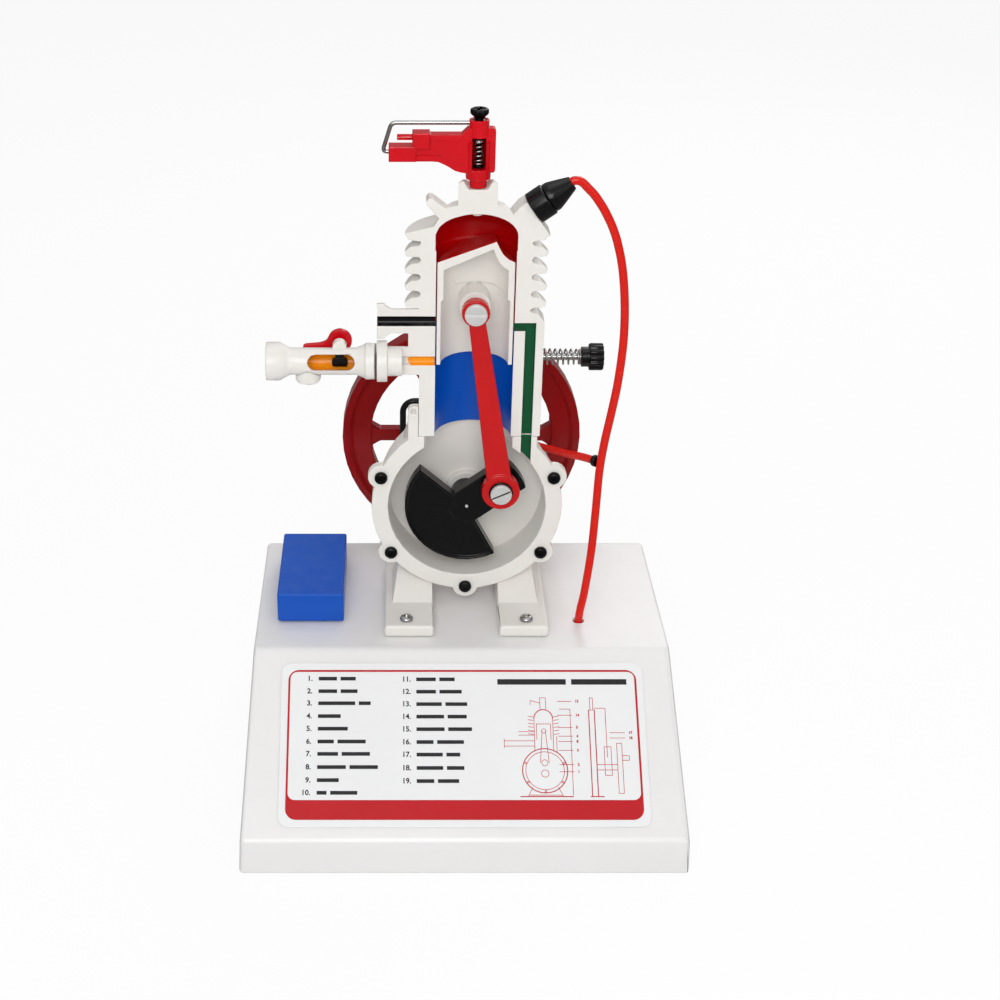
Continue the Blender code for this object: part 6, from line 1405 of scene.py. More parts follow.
@dataclass
class DisplayBase:
    """The moulded base, the board that closes it, the label plate and the fuel tank."""

    palette: Palette
    screw_places: tuple[tuple[str, float, float], ...] = (
        ("front_left", -0.1061, -0.0876), ("front_right", 0.1061, -0.0876),
        ("rear_left", -0.1061, 0.0876), ("rear_right", 0.1061, 0.0876))
    screw_head: float = 0.0034
    screw_shank: float = 0.0015
    screw_low: float = 0.0010
    screw_seat: float = 0.0030
    screw_top: float = 0.0110

    def build(self) -> None:
        """Build the base's pieces."""
        for one in (Copy("base_shell", "moulded_shell", 0.0006, "shell", Slot.SHELL, 2, 25.0),
                    Copy("base_board", "closing_board", 0.0003, "board", Slot.BOARD, 1),
                    Copy("fuel_tank", "tank_block", 0.0004, "blue", Slot.BLUE, 2, 25.0)):
            one.place(self.palette)
        for where, x, y in self.screw_places:
            angles = ring_angles()
            cross = Recess.CROSS.radii(self.screw_head * 0.55, angles)
            floor = self.screw_low + 0.0011
            rings = [(0.0, floor), (cross, floor), (cross, self.screw_low),
                     (self.screw_head - 0.0008, self.screw_low),
                     (self.screw_head - 0.0002, self.screw_low + 0.0004),
                     (self.screw_head, self.screw_seat), (self.screw_shank, self.screw_seat),
                     (self.screw_shank, self.screw_top - self.screw_shank), (0.0, self.screw_top)]
            centre = Vector((x, y, 0.0)) - ENGINE
            screw = ring_stack("board_screw_" + where + "_cross", rings,
                               Matrix.Translation((x, y, 0.0)))
            place_steel(self.palette, screw, "board_screw_" + where, screw.name, tuple(centre),
                        Axis.Z)


@dataclass
class LabelPlate:
    """The label plate with its border, its numbered rows and a plain drawing.

    Places on it are in millimetres from its middle: across, and up the slope.
    """

    palette: Palette
    base_depth: float = 0.2092
    slope_run: float = 0.0866
    slope_drop: float = 0.0677
    deck_height: float = 0.0893
    middle_from_deck: float = 0.0553
    plate_top: float = 0.0013
    film: float = 0.00004
    frame_low: float = -42.6
    frame_high: float = 42.3
    frame_half: float = 97.6
    line: float = 1.15
    band_top: float = -31.7
    row_height: float = 3.3
    left_rows: tuple[float, ...] = (37.2, 29.9, 22.9, 15.5, 8.3, 1.0, -6.0, -13.4, -20.7, -27.7)
    right_rows: tuple[float, ...] = (36.8, 29.6, 22.4, 15.2, 8.0, 0.7, -6.4, -13.9, -21.2)
    left_words: tuple[tuple[float, ...], ...] = (
        (10.2, 8.6), (10.4, 9.4), (20.6, 6.6), (12.6,), (16.6,), (9.0, 15.6), (11.4, 15.6),
        (15.8, 15.6), (12.0,), (5.4, 14.8))
    right_words: tuple[tuple[float, ...], ...] = (
        (11.0, 8.6), (11.0, 12.4), (14.2, 12.2), (15.4, 10.6), (15.6, 13.2), (9.4, 14.8),
        (14.4, 7.6), (14.6, 9.6), (9.6, 11.6))
    row_starts: tuple[float, float] = (-80.6, -25.9)
    number_ends: tuple[float, float] = (-84.0, -28.9)
    word_gap: float = 2.0
    word_half: float = 1.05
    title_bars: tuple[Point, ...] = ((19.6, 58.0, 35.3), (61.0, 92.0, 35.3))
    title_half: float = 1.6
    letter_offset: float = 0.00011
    frame_empty: Matrix = field(init=False)

    def __post_init__(self) -> None:
        """Work out the matrix of the plate's upper side."""
        slope = math.atan2(self.slope_drop, self.slope_run)
        up = Vector((0.0, math.cos(slope), math.sin(slope)))
        out = Vector((0.0, -math.sin(slope), math.cos(slope)))
        edge = Vector((0.0, self.slope_run - self.base_depth / 2, self.deck_height))
        middle = edge - up * self.middle_from_deck + out * (self.plate_top + 0.00001)
        self.frame_empty = Matrix.Translation(middle) @ Matrix.Rotation(slope, 4, "X")

    def build(self) -> None:
        """Build the plate and its print."""
        Copy("label_plate", "laminated_plate", 0.0003, "label", Slot.LABEL).place(self.palette)
        self.print_piece("label_border", self.border(), "red_ink")
        self.print_piece("label_rows", self.bars(), "black_ink")
        self.print_piece("label_drawing", self.drawing(), "red_ink")
        self.print_numbers()

    def print_piece(self, name: str, quads: np.ndarray, ink: str) -> None:
        """Lay flat four-sided marks on the plate as a thin film of ink.

        Args:
            name: The piece's name.
            quads: The marks' corners in millimetres, four to a mark.
            ink: The finish.
        """
        count = len(quads)
        flat = np.concatenate([quads.reshape(-1, 2) * MM, np.zeros((count * 4, 1))], axis=1)
        points = moved(flat, self.frame_empty)
        mesh = bpy.data.meshes.new(name)
        mesh.from_pydata(points.tolist(), [], np.arange(count * 4).reshape(-1, 4).tolist())
        bm = bmesh.new()
        bm.from_mesh(mesh)
        bmesh.ops.remove_doubles(bm, verts=bm.verts, dist=WELD)
        out = self.frame_empty.to_3x3() @ Vector((0.0, 0.0, 1.0))
        bm.normal_update()
        bmesh.ops.reverse_faces(bm, faces=[one for one in bm.faces if one.normal.dot(out) < 0.0])
        bm.to_mesh(mesh)
        bm.free()
        piece = finished_object(name, mesh)
        thick = piece.modifiers.new("film", "SOLIDIFY")
        thick.thickness = self.film
        thick.offset = 1.0
        place_piece(piece, self.palette[ink], (), "base")

    @staticmethod
    def loop(left: float, right: float, low: float, high: float, corner: float,
             steps: int = 8) -> np.ndarray:
        """Outline a rectangle with round corners.

        Args:
            left: Its left side.
            right: Its right side.
            low: Its lower side.
            high: Its upper side.
            corner: Its corners' radius.
            steps: The faces of a corner.

        Returns:
            The outline's points, closed by repeating the first.
        """
        turn = np.linspace(0.0, math.pi / 2, steps + 1)
        arcs = [np.stack([x + corner * np.cos(turn + start), z + corner * np.sin(turn + start)],
                         axis=-1)
                for x, z, start in ((right - corner, high - corner, 0.0),
                                    (left + corner, high - corner, math.pi / 2),
                                    (left + corner, low + corner, math.pi),
                                    (right - corner, low + corner, math.pi * 1.5))]
        points = np.concatenate(arcs)
        return np.concatenate([points, points[:1]])

    @staticmethod
    def strip(first: np.ndarray, second: np.ndarray) -> np.ndarray:
        """Fill the strip between two lines of as many points with four-sided marks."""
        return np.stack([first[:-1], first[1:], second[1:], second[:-1]], axis=1)

    def stroke(self, points: Sequence[tuple[float, float]], width: float) -> np.ndarray:
        """Draw a line of a width through points, its sides set off square to its heading."""
        line = np.array(points, float)
        along = np.gradient(line, axis=0)
        along /= np.maximum(np.linalg.norm(along, axis=1), 1e-9)[:, None]
        aside = np.stack([-along[:, 1], along[:, 0]], axis=-1) * width / 2
        return self.strip(line + aside, line - aside)

    def border(self) -> np.ndarray:
        """Give the red border, whose lower side is broad."""
        half = self.frame_half
        outer = self.loop(-half, half, self.frame_low, self.frame_high, 6.0)
        inner = self.loop(self.line - half, half - self.line, self.band_top,
                          self.frame_high - self.line, 4.0)
        return self.strip(outer, inner)

    def bars(self) -> np.ndarray:
        """Give the plain bars of the rows, which stand where the list has its words."""
        marks = []
        for start, rows, words in zip(self.row_starts, (self.left_rows, self.right_rows),
                                      (self.left_words, self.right_words)):
            for height, lengths in zip(rows, words):
                left = start
                for length in lengths:
                    marks.append((left, left + length, height))
                    left += length + self.word_gap
        spans = np.array([*marks, *self.title_bars])
        left, right, height = spans[:, 0], spans[:, 1], spans[:, 2]
        half = np.where(np.arange(len(spans)) < len(marks), self.word_half, self.title_half)
        return np.stack([np.stack([left, height - half], -1), np.stack([right, height - half], -1),
                         np.stack([right, height + half], -1), np.stack([left, height + half], -1)],
                        axis=1)

    def circle(self, x: float, z: float, radius: float, width: float,
               span: tuple[float, float] = (0.0, 360.0)) -> np.ndarray:
        """Draw a circle or a part of one."""
        turn = np.radians(np.linspace(*span, 33))
        outer, inner = radius + width / 2, radius - width / 2
        unit = np.stack([np.cos(turn), np.sin(turn)], axis=-1)
        middle = np.array([x, z])
        return self.strip(middle + unit * outer, middle + unit * inner)

    def drawing(self) -> np.ndarray:
        """Draw a plain two-stroke engine from the front and from the side.

        Returns:
            The marks of its lines.
        """
        thin, bold = 0.32, 0.55
        x, z = 44.6, -15.4
        marks = [self.circle(x, z, 12.4, bold), self.circle(x, z, 10.6, thin),
                 self.circle(x, z - 1.6, 2.0, thin), self.circle(x, z + 4.4, 1.7, thin),
                 self.circle(x, 14.0, 5.2, bold, (0.0, 180.0)), self.circle(x, 7.0, 1.2, thin)]
        marks += [self.circle(x + 11.4 * math.cos(a), z + 11.4 * math.sin(a), 0.5, thin)
                  for a in np.radians((-90.0, -34.0, 22.0, 158.0, 214.0))]
        lines = [
            ((x - 5.2, -4.0), (x - 5.2, 14.0)), ((x + 5.2, -4.0), (x + 5.2, 14.0)),
            ((x - 3.9, 2.0), (x - 3.9, 11.0)), ((x + 3.9, 2.0), (x + 3.9, 11.0)),
            ((x - 3.9, 11.0), (x + 3.9, 11.0)), ((x - 0.9, 7.0), (x - 2.4, z + 4.4)),
            ((x + 0.9, 7.0), (x + 2.4, z + 4.4)), ((x - 9.0, z - 13.6), (x + 9.0, z - 13.6)),
            ((x - 14.0, -29.8), (x + 15.0, -29.8)), ((x - 7.0, -24.6), (x - 9.5, -29.5)),
            ((x + 7.0, -24.6), (x + 9.5, -29.5)), ((x - 1.6, 19.4), (x - 1.6, 26.0)),
            ((x + 1.6, 19.4), (x + 1.6, 26.0)), ((x - 1.6, 26.0), (x + 1.6, 26.0)),
            ((x - 1.6, 23.0), (x - 7.0, 24.5)), ((x - 7.0, 24.5), (x - 7.0, 22.0)),
            ((x - 14.0, 4.6), (x - 5.2, 4.6)), ((x - 14.0, 6.6), (x - 5.2, 6.6)),
            ((x - 22.0, -1.6), (x - 5.2, -1.6)), ((x - 22.0, 1.4), (x - 5.2, 1.4)),
            ((x - 22.0, -2.6), (x - 22.0, 2.4)), ((x + 7.0, -5.0), (x + 7.0, 4.0)),
            ((x + 9.0, 19.5), (x + 15.0, 19.5)), ((x + 15.0, 19.5), (x + 15.0, -29.0)),
            ((69.0, -29.8), (76.5, -29.8)), ((70.0, -29.5), (70.0, 19.0)),
            ((73.2, -29.5), (73.2, 19.0)), ((70.0, 19.0), (73.2, 19.0)),
            ((70.8, 19.0), (70.8, 26.0)), ((72.4, 19.0), (72.4, 26.0)),
            ((70.8, 26.0), (72.4, 26.0)), ((73.2, 20.0), (79.2, 20.0)),
            ((79.2, 20.0), (79.2, -8.0)), ((73.2, -12.0), (84.6, -12.0)),
            ((73.2, -15.0), (84.6, -15.0)), ((77.6, -18.0), (77.6, -2.0)),
            ((81.4, -18.0), (81.4, -2.0)), ((77.6, -2.0), (81.4, -2.0)),
            ((77.6, -18.0), (81.4, -18.0)), ((84.6, -28.0), (84.6, 0.0)),
            ((87.4, -28.0), (87.4, 0.0)), ((84.6, 0.0), (87.4, 0.0)),
            ((84.6, -28.0), (87.4, -28.0)), ((87.4, -7.0), (91.2, -7.0)),
            ((87.4, -9.6), (91.2, -9.6)), ((91.2, -7.0), (91.2, -9.6)),
        ]
        lines += [((x + side * 5.6, level), (x + side * 8.6, level + 0.5))
                  for side in (-1, 1) for level in (5.0, 7.0, 9.0, 11.0, 13.0, 15.0)]
        lines += [((x + 8.0, level), (x + 16.0, level)) for level in (24.0, 16.0, 9.0, 4.0, 1.0,
                                                                      -4.0, -12.0, -16.0)]
        lines += [((81.0, level), (89.5, level)) for level in (6.0, 3.0)]
        marks += [self.stroke(line, bold if line[0][1] < -29.0 else thin) for line in lines]
        return np.concatenate(marks)

    def print_numbers(self) -> None:
        """Print the rows' numbers and the drawing's own."""
        left, right = self.number_ends
        places = [(left, height) for height in self.left_rows]
        places += [(right, height) for height in self.right_rows]
        texts = [(str(k) + ".", x, height, self.row_height * 1.25, "RIGHT")
                 for k, (x, height) in enumerate(places, 1)]
        leaders = ((13, 62.6, 24.0), (14, 62.6, 16.0), (5, 62.6, 9.0), (4, 62.6, 4.0),
                   (8, 62.6, 1.0), (3, 62.6, -4.0), (2, 62.6, -12.0), (1, 62.6, -16.0),
                   (17, 91.6, 6.0), (18, 91.6, 3.0))
        small = [(str(number), x, height, 2.0, "LEFT") for number, x, height in leaders]
        for name, group, ink in (("label_numbers", texts, "black_ink"),
                                 ("label_drawing_numbers", small, "red_ink")):
            bm = bmesh.new()
            for words, x, height, size, align in group:
                curve = bpy.data.curves.new(name, "FONT")
                curve.body = words
                curve.size = size * MM
                curve.align_x = align
                curve.align_y = "CENTER"
                curve.extrude = self.film / 2
                curve.resolution_u = 3
                curve.offset = self.letter_offset
                text = finished_object(name, curve)
                bpy.context.view_layer.update()
                mesh = bpy.data.meshes.new_from_object(
                    text.evaluated_get(bpy.context.evaluated_depsgraph_get()))
                mesh.transform(self.frame_empty @ Matrix.Translation(
                    (x * MM, height * MM, self.film / 2)))
                bm.from_mesh(mesh)
                bpy.data.objects.remove(text, do_unlink=True)
            bmesh.ops.remove_doubles(bm, verts=bm.verts, dist=WELD)
            bmesh.ops.recalc_face_normals(bm, faces=bm.faces)
            made = bpy.data.meshes.new(name)
            bm.to_mesh(made)
            bm.free()
            place_piece(finished_object(name, made), self.palette[ink], (), "base")


@dataclass
class Crankcase:
    """The crankcase casting with the screws of its flange and of its feet."""

    palette: Palette
    lug_circle: float = 0.0525
    lug_step: float = math.radians(55.6)
    lug_count: int = 5
    seat: float = 0.0003
    head: float = 0.0037
    head_height: float = 0.0026
    shank: float = 0.0018
    tail: float = 0.0075
    socket: float = 0.0014
    socket_depth: float = 0.0013
    foot_x: float = 0.0344
    foot_depths: tuple[tuple[str, float], ...] = (("front", -0.0260), ("rear", 0.0375))
    foot_head: float = 0.0038
    foot_head_height: float = 0.0022
    foot_shank: float = 0.0020
    pad_top: float = -0.0595
    foot_low: float = -0.0730

    def build(self) -> None:
        """Build the casting and its screws."""
        Copy("crankcase", "crankcase_casting", 0.0005, "block", Slot.CASTING).place(self.palette)
        for index in range(self.lug_count):
            angle = -math.pi / 2 + self.lug_step * (index - (self.lug_count - 1) / 2)
            self.build_case_screw(index + 1, self.lug_circle * math.cos(angle),
                                  self.lug_circle * math.sin(angle))
        for where, depth in self.foot_depths:
            for side, name in ((-1, "left"), (1, "right")):
                self.build_foot_screw(where + "_" + name, side * self.foot_x, depth)

    def build_case_screw(self, number: int, x: float, z: float) -> None:
        """Build one black button screw with a six-sided socket.

        Args:
            number: The screw's number.
            x: Its place across.
            z: Its height.
        """
        angles = ring_angles()
        hexagon = Recess.HEXAGON.radii(self.socket, angles + number)
        front = -self.seat - self.head_height
        dome = np.linspace(0.0, 1.0, 7)
        crown = self.socket * 1.35
        rings = [(0.0, front + self.socket_depth + 0.0003), (hexagon, front + self.socket_depth),
                 (hexagon, front + 0.0001), (hexagon + 0.0001, front), (crown, front)]
        rings += [(crown + (self.head - crown) * math.sin(s * math.pi / 2),
                   front + self.head_height * 0.72 * (1 - math.cos(s * math.pi / 2)))
                  for s in dome[1:]]
        rings += [(self.head, -self.seat), (self.shank, -self.seat), (self.shank, self.tail),
                  (0.0, self.tail)]
        place = (x, 0.0, z)
        name = "flange_screw_%d" % number
        screw = ring_stack(name, rings, engine_place(place, Axis.Y))
        place_steel(self.palette, screw, "case_screw_%d" % number, name, place, Axis.Y, Tone.BLACK)

    def build_foot_screw(self, where: str, x: float, depth: float) -> None:
        """Build one bright pan screw with a cross recess.

        Args:
            where: The foot's corner.
            x: The screw's place across.
            depth: Its depth.
        """
        angles = ring_angles()
        cross = Recess.CROSS.radii(0.0020, angles + x * 90.0)
        seat = self.pad_top + self.seat
        top = seat + self.foot_head_height
        rings = [(0.0, top - 0.0013), (cross, top - 0.0011), (cross, top), (0.0023, top),
                 (0.0030, top - 0.0003), (0.0036, top - 0.0009), (self.foot_head, seat + 0.0006),
                 (self.foot_head, seat), (self.foot_shank, seat), (self.foot_shank, self.foot_low),
                 (0.0, self.foot_low)]
        place = (x, depth, 0.0)
        name = "foot_screw_" + where + "_cross"
        screw = ring_stack(name, rings, engine_place(place))
        place_steel(self.palette, screw, "foot_screw_" + where, name, place, Axis.Z)


@dataclass
class CylinderBlock:
    """The cylinder block, the intake tube with its gasket and cap, and the choke."""

    palette: Palette

    def build(self) -> None:
        """Build the block and what its inlet carries."""
        for one in (
                Copy("cylinder_block", "cylinder_casting", 0.0004, "block", Slot.CASTING),
                Copy("intake_tube", "intake_casting", 0.0004, "intake", Slot.CASTING),
                Copy("intake_cap", "intake_cap_casting", 0.0003, "casting", Slot.CASTING),
                Copy("intake_gasket", "intake_gasket_sheet", 0.0, "gasket", Slot.GASKET),
                Copy("choke_flap", "choke_flap_moulding", 0.0002, "black", Slot.BLACK),
                Copy("choke_lever", "choke_lever_moulding", 0.0005, "red_plastic",
                     Slot.RED_PLASTIC, 3)):
            one.place(self.palette)


@dataclass
class RunningGear:
    """The piston, the connecting rod, its pins, the crank web and the shaft."""

    palette: Palette
    wrist: Point = (0.0022, 0.0, 0.1216)
    crank_pin: Point = (0.0186, 0.0, 0.0139)
    wrist_slot: tuple[float, float, float] = (0.0059, -0.0104, 0.0)
    crank_slot: tuple[float, float, float] = (0.0058, -0.0117, math.radians(25.0))
    slot_fill: float = 0.0003
    dot: float = 0.0009
    dot_ends: tuple[float, float] = (0.0006, 0.0019)

    def build(self) -> None:
        """Build what the crank moves in the crankcase and the cylinder."""
        for one in (Copy("piston", "piston_casting", 0.0004, "crown", Slot.CASTING),
                    Copy("connecting_rod", "rod_casting", 0.0005, "red", Slot.RED_PAINT),
                    Copy("crank_pin_bush", "pin_bush_moulding", 0.0002, "black", Slot.BLACK)):
            one.place(self.palette)
        for node, place in (("wrist_pin", self.wrist), ("crank_pin", self.crank_pin)):
            name = node + "_slotted"
            place_steel(self.palette, softened(node, name, 0.00015), node, name, place, Axis.Y,
                        Tone.SATIN)
        # The slots' floors carry painted light: a white strip as a painted highlight in the wrist pin's
        # slot and a black strip as painted shade in the crank pin's.
        self.build_slot("wrist_pin", self.wrist, self.wrist_slot, "shell")
        self.build_slot("crank_pin", self.crank_pin, self.crank_slot, "black")
        self.build_dot()
        Copy("crank_web", "web_moulding", 0.0005, "black", Slot.BLACK).place(self.palette)
        place_steel(self.palette, softened("crankshaft", "crankshaft_bar", 0.0002), "crankshaft",
                    "crankshaft_bar", (0.0, 0.0, 0.0), Axis.Y)

    def build_slot(self, node: str, place: Point, slot: tuple[float, float, float], finish: str) -> None:
        """Build a strip of painted light on the floor of a pin's screwdriver slot.

        Args:
            node: The pin's node.
            place: The pin's axis.
            slot: The slot's half length, its floor's depth and how far it is turned.
            finish: The strip's finish: white for a painted highlight, black for painted shade.
        """
        half, floor, turn = slot
        angles = ring_angles()
        edge = Recess.SLOT.radii(half, angles + turn)
        rings = [(0.0, floor - self.slot_fill), (edge * 0.97, floor - self.slot_fill),
                 (edge, floor - self.slot_fill / 2), (edge, floor + self.slot_fill),
                 (0.0, floor + self.slot_fill)]
        # This strip's colour is painted light: a highlight in the wrist pin's slot and shade in the
        # crank pin's.
        strip = ring_stack(node + "_slot_painted_light", rings, engine_place(place, Axis.Y))
        place_piece(strip, self.palette[finish], (), frame["nodes"][node]["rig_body"])

    def build_dot(self) -> None:
        """Build the bright end of the pin in the web's centre."""
        low, high = self.dot_ends
        profile = rounded_corners(((0.0, high), (self.dot, high), (self.dot, low + 0.0002),
                                   (self.dot * 0.6, low), (0.0, low)), 0.0002, 3)
        dot = turned("web_centre_pin", profile, engine_place((0.0, 0.0, 0.0), Axis.Y), 24)
        place_piece(dot, self.palette.steel("web_centre_pin", (0.0, 0.0, 0.0), Axis.Y, Tone.SATIN),
                    (), "crank")


@dataclass
class Flywheel:
    """The flywheel with its nut, and the handle on one of its spokes."""

    palette: Palette
    rear: float = 0.1035
    handle_circle: float = 0.0420
    handle_turn: float = math.radians(60.0)
    bolt: float = 0.0022
    bolt_front: float = 0.0932
    bolt_head: float = 0.0042
    bolt_head_height: float = 0.0022
    grip_length: float = 0.0300
    grip_radius: float = 0.0062
    grip_waist: float = 0.0050
    seat: float = 0.0003

    def build(self) -> None:
        """Build the wheel and its handle."""
        Copy("flywheel", "flywheel_casting", 0.0006, "wheel", Slot.RED_PAINT).place(self.palette)
        place_steel(self.palette, softened("flywheel_nut", "flywheel_nut_hexagon", 0.0004),
                    "flywheel_nut", "flywheel_nut", (0.0, 0.0, 0.0), Axis.Y)
        place = (self.handle_circle * math.cos(self.handle_turn), 0.0,
                 self.handle_circle * math.sin(self.handle_turn))
        matrix = engine_place(place, Axis.Y)
        low = self.rear + self.seat
        high = low + self.grip_length
        share = np.linspace(0.0, 1.0, 25)
        waist = self.grip_radius - (self.grip_radius - self.grip_waist) * np.sin(
            share * math.pi) ** 2
        side = np.stack([waist, low + 0.0010 + share * (self.grip_length - 0.0020)], axis=-1)
        bore = self.bolt + self.seat
        profile = np.concatenate([[(bore, low), (self.grip_radius - 0.0010, low),
                                   (self.grip_radius - 0.0003, low + 0.0003)], side,
                                  [(self.grip_radius - 0.0003, high - 0.0003),
                                   (self.grip_radius - 0.0010, high), (bore, high)]])
        grip = turned("handle_grip_moulding", profile, matrix, 40, closed=True)
        place_piece(grip, self.palette["black"], ("handle_grip",))
        head = high + self.seat
        top = head + self.bolt_head_height
        profile = rounded_corners((
            (0.0, top), (self.bolt_head * 0.8, top), (self.bolt_head, head + 0.0011),
            (self.bolt_head, head), (self.bolt, head), (self.bolt, self.bolt_front),
            (0.0, self.bolt_front)), 0.0004)
        bolt = turned("handle_bolt_turned", profile, matrix, 40)
        place_steel(self.palette, bolt, "handle_bolt", "handle_bolt", place, Axis.Y)


@dataclass
class FuelPump:
    """The pump behind the crankcase, with its head, its valve and its suction pipe."""

    palette: Palette
    depth: float = 0.0500
    lift: float = 0.0012
    spring_run: tuple[float, float] = (0.0156, 0.0412)
    spring_radius: float = 0.0044
    spring_wire: float = 0.0005
    spring_turns: int = 8
    suction_radius: float = 0.00185
    suction_height: float = 0.0434
    suction_x: float = 0.0363
    suction_bend: float = 0.0070
    suction_start: float = -0.0069
    suction_low: float = -0.0700

    def build(self) -> None:
        """Build the pump."""
        for node in ("pump_housing", "pump_cover", "pump_head"):
            Copy(node, node + "_casting", 0.0004, "casting", Slot.CASTING).place(self.palette)
        axis = (0.0, self.depth, 0.0)
        for node, way in (("pump_cam", Axis.Y), ("pump_plunger", Axis.Z),
                          ("pressure_valve", Axis.Z)):
            name = node + "_turned"
            place_steel(self.palette, softened(node, name, 0.0002), node, name, axis, way)
        coil = spring("pump_spring_wound", (self.spring_radius, self.spring_radius),
                      self.spring_wire, self.spring_run, self.spring_turns, engine_place(axis))
        place_steel(self.palette, coil, "pump_spring", "pump_spring", axis, Axis.Z)
        press(coil)
        self.build_suction()

    def build_suction(self) -> None:
        """Build the black suction pipe, a straight, a quarter turn and a straight down."""
        bend = self.suction_bend
        turn = np.linspace(math.pi / 2, math.pi, 13)
        x = np.concatenate([np.linspace(self.suction_start, bend - self.suction_x, 5)[:-1],
                            bend - self.suction_x + bend * np.cos(turn),
                            np.full(9, -self.suction_x)])
        z = np.concatenate([np.full(4, self.suction_height),
                            self.suction_height - bend + bend * np.sin(turn),
                            np.linspace(self.suction_height - bend, self.suction_low, 10)[1:]])
        path = np.stack([x, np.full_like(x, self.depth), z], axis=-1) + np.array(ENGINE)
        place_piece(tube("suction_pipe_bent", path, self.suction_radius), self.palette["black"],
                    ("suction_pipe",))


@dataclass
class Governor:
    """The governor spindle with its spring and its ribbed knob."""

    palette: Palette
    depth: float = 0.0500
    height: float = 0.0717
    spring_run: tuple[float, float] = (0.03485, 0.0657)
    spring_radii: tuple[float, float] = (0.0047, 0.0040)
    spring_wire: float = 0.00055
    spring_turns: int = 12
    spindle: float = 0.0020
    spindle_start: float = 0.0030
    collar_start: float = 0.06655
    collar_radius: float = 0.0058
    knob_start: float = 0.07105
    knob_end: float = 0.07915
    knob_radius: float = 0.0079
    flutes: int = 12
    flute_depth: float = 0.0010

    def build(self) -> None:
        """Build the spindle, the spring and the knob."""
        axis = (0.0, self.depth, self.height)
        matrix = engine_place(axis, Axis.X)
        tip = self.knob_end - (self.knob_end - self.knob_start) / 4
        bar = turned("governor_spindle_bar", np.array([
            (0.0, self.spindle_start), (self.spindle, self.spindle_start), (self.spindle, tip),
            (0.0, tip)]), matrix, 24)
        place_steel(self.palette, bar, "governor_spindle", "governor_spindle", axis, Axis.X)
        coil = spring("governor_spring_wound", self.spring_radii, self.spring_wire,
                      self.spring_run, self.spring_turns, matrix)
        place_steel(self.palette, coil, "governor_spring", "governor_spring", axis, Axis.X)
        self.build_knob(matrix)

    def build_knob(self, matrix: Matrix) -> None:
        """Build the knob, a drum whose radius dips at each flute, with a plain collar.

        The radius at an angle is the drum's less the flute's depth times the cosine of the flute
        count times the angle, raised to keep the ribs broad.

        Args:
            matrix: The spindle's axis.
        """
        steps = self.flutes * 12
        angles = ring_angles(steps)
        dip = ((1 + np.cos(self.flutes * angles)) / 2) ** 2 * self.flute_depth
        start, end, radius = self.knob_start, self.knob_end, self.knob_radius
        edge = 0.0007
        rings = [(0.0, end - 0.0005), (radius * 0.55, end - 0.0005), (radius * 0.62, end),
                 (radius - edge - dip, end), (radius - edge * 0.3 - dip, end - edge * 0.3),
                 (radius - dip, end - edge), (radius - dip, start + edge),
                 (radius - edge * 0.3 - dip, start + edge * 0.3), (radius - edge - dip, start),
                 (self.collar_radius, start), (self.collar_radius, self.collar_start + 0.0003),
                 (self.collar_radius - 0.0003, self.collar_start),
                 (self.spindle + 0.0001, self.collar_start),
                 (self.spindle + 0.0001, self.collar_start + 0.0010),
                 (0.0, self.collar_start + 0.0010)]
        knob = ring_stack("governor_knob_moulding", rings, matrix, steps, 35.0)
        place_piece(knob, self.palette["black"], ("governor_knob",))


@dataclass
class Injector:
    """The black injector on the slanted seat of the head."""

    palette: Palette
    seat: Point = (0.0316, 0.0050, 0.1754)
    tilt: float = math.radians(35.5)
    collar: float = 0.00875
    collar_length: float = 0.0100
    spigot: float = 0.0035
    spigot_length: float = 0.0090
    cone: float = 0.0080
    tip: float = 0.0037
    cone_length: float = 0.0140
    mouth: float = 0.0026
    mouth_depth: float = 0.0046
    gap: float = 0.0003

    def build(self) -> None:
        """Build the collar and the cone."""
        turn = Matrix.Rotation(math.pi / 2 - self.tilt, 4, "Y")
        place = Matrix.Translation(ENGINE + Vector(self.seat)) @ turn
        low, high = self.gap, self.collar_length
        profile = rounded_corners((
            (0.0, high), (self.collar - 0.0006, high), (self.collar, high - 0.0008),
            (self.collar, low + 0.0004), (self.collar - 0.0003, low),
            (self.spigot, low), (self.spigot, -self.spigot_length), (0.0, -self.spigot_length)),
            0.0004)
        place_piece(turned("injector_collar_moulding", profile, place, 56), self.palette["black"],
                    ("injector_collar",))
        low = self.collar_length + self.gap
        top = low + self.cone_length
        floor = top - self.mouth_depth
        slant = np.linspace(0.0, 1.0, 9)
        side = np.stack([self.cone - (self.cone - self.tip) * slant ** 1.08,
                         low + 0.0020 + (self.cone_length - 0.0020) * slant], axis=-1)
        profile = np.concatenate([
            [(0.0, low), (self.cone - 0.0003, low), (self.cone, low + 0.0003)], side[:-1],
            rounded_corners([tuple(side[-1]), (self.tip, top), (self.mouth, top),
                             (self.mouth, floor), (0.0, floor)], 0.0004)[1:]])
        place_piece(turned("injector_cone_moulding", profile, place, 56), self.palette["black"],
                    ("injector_cone",))


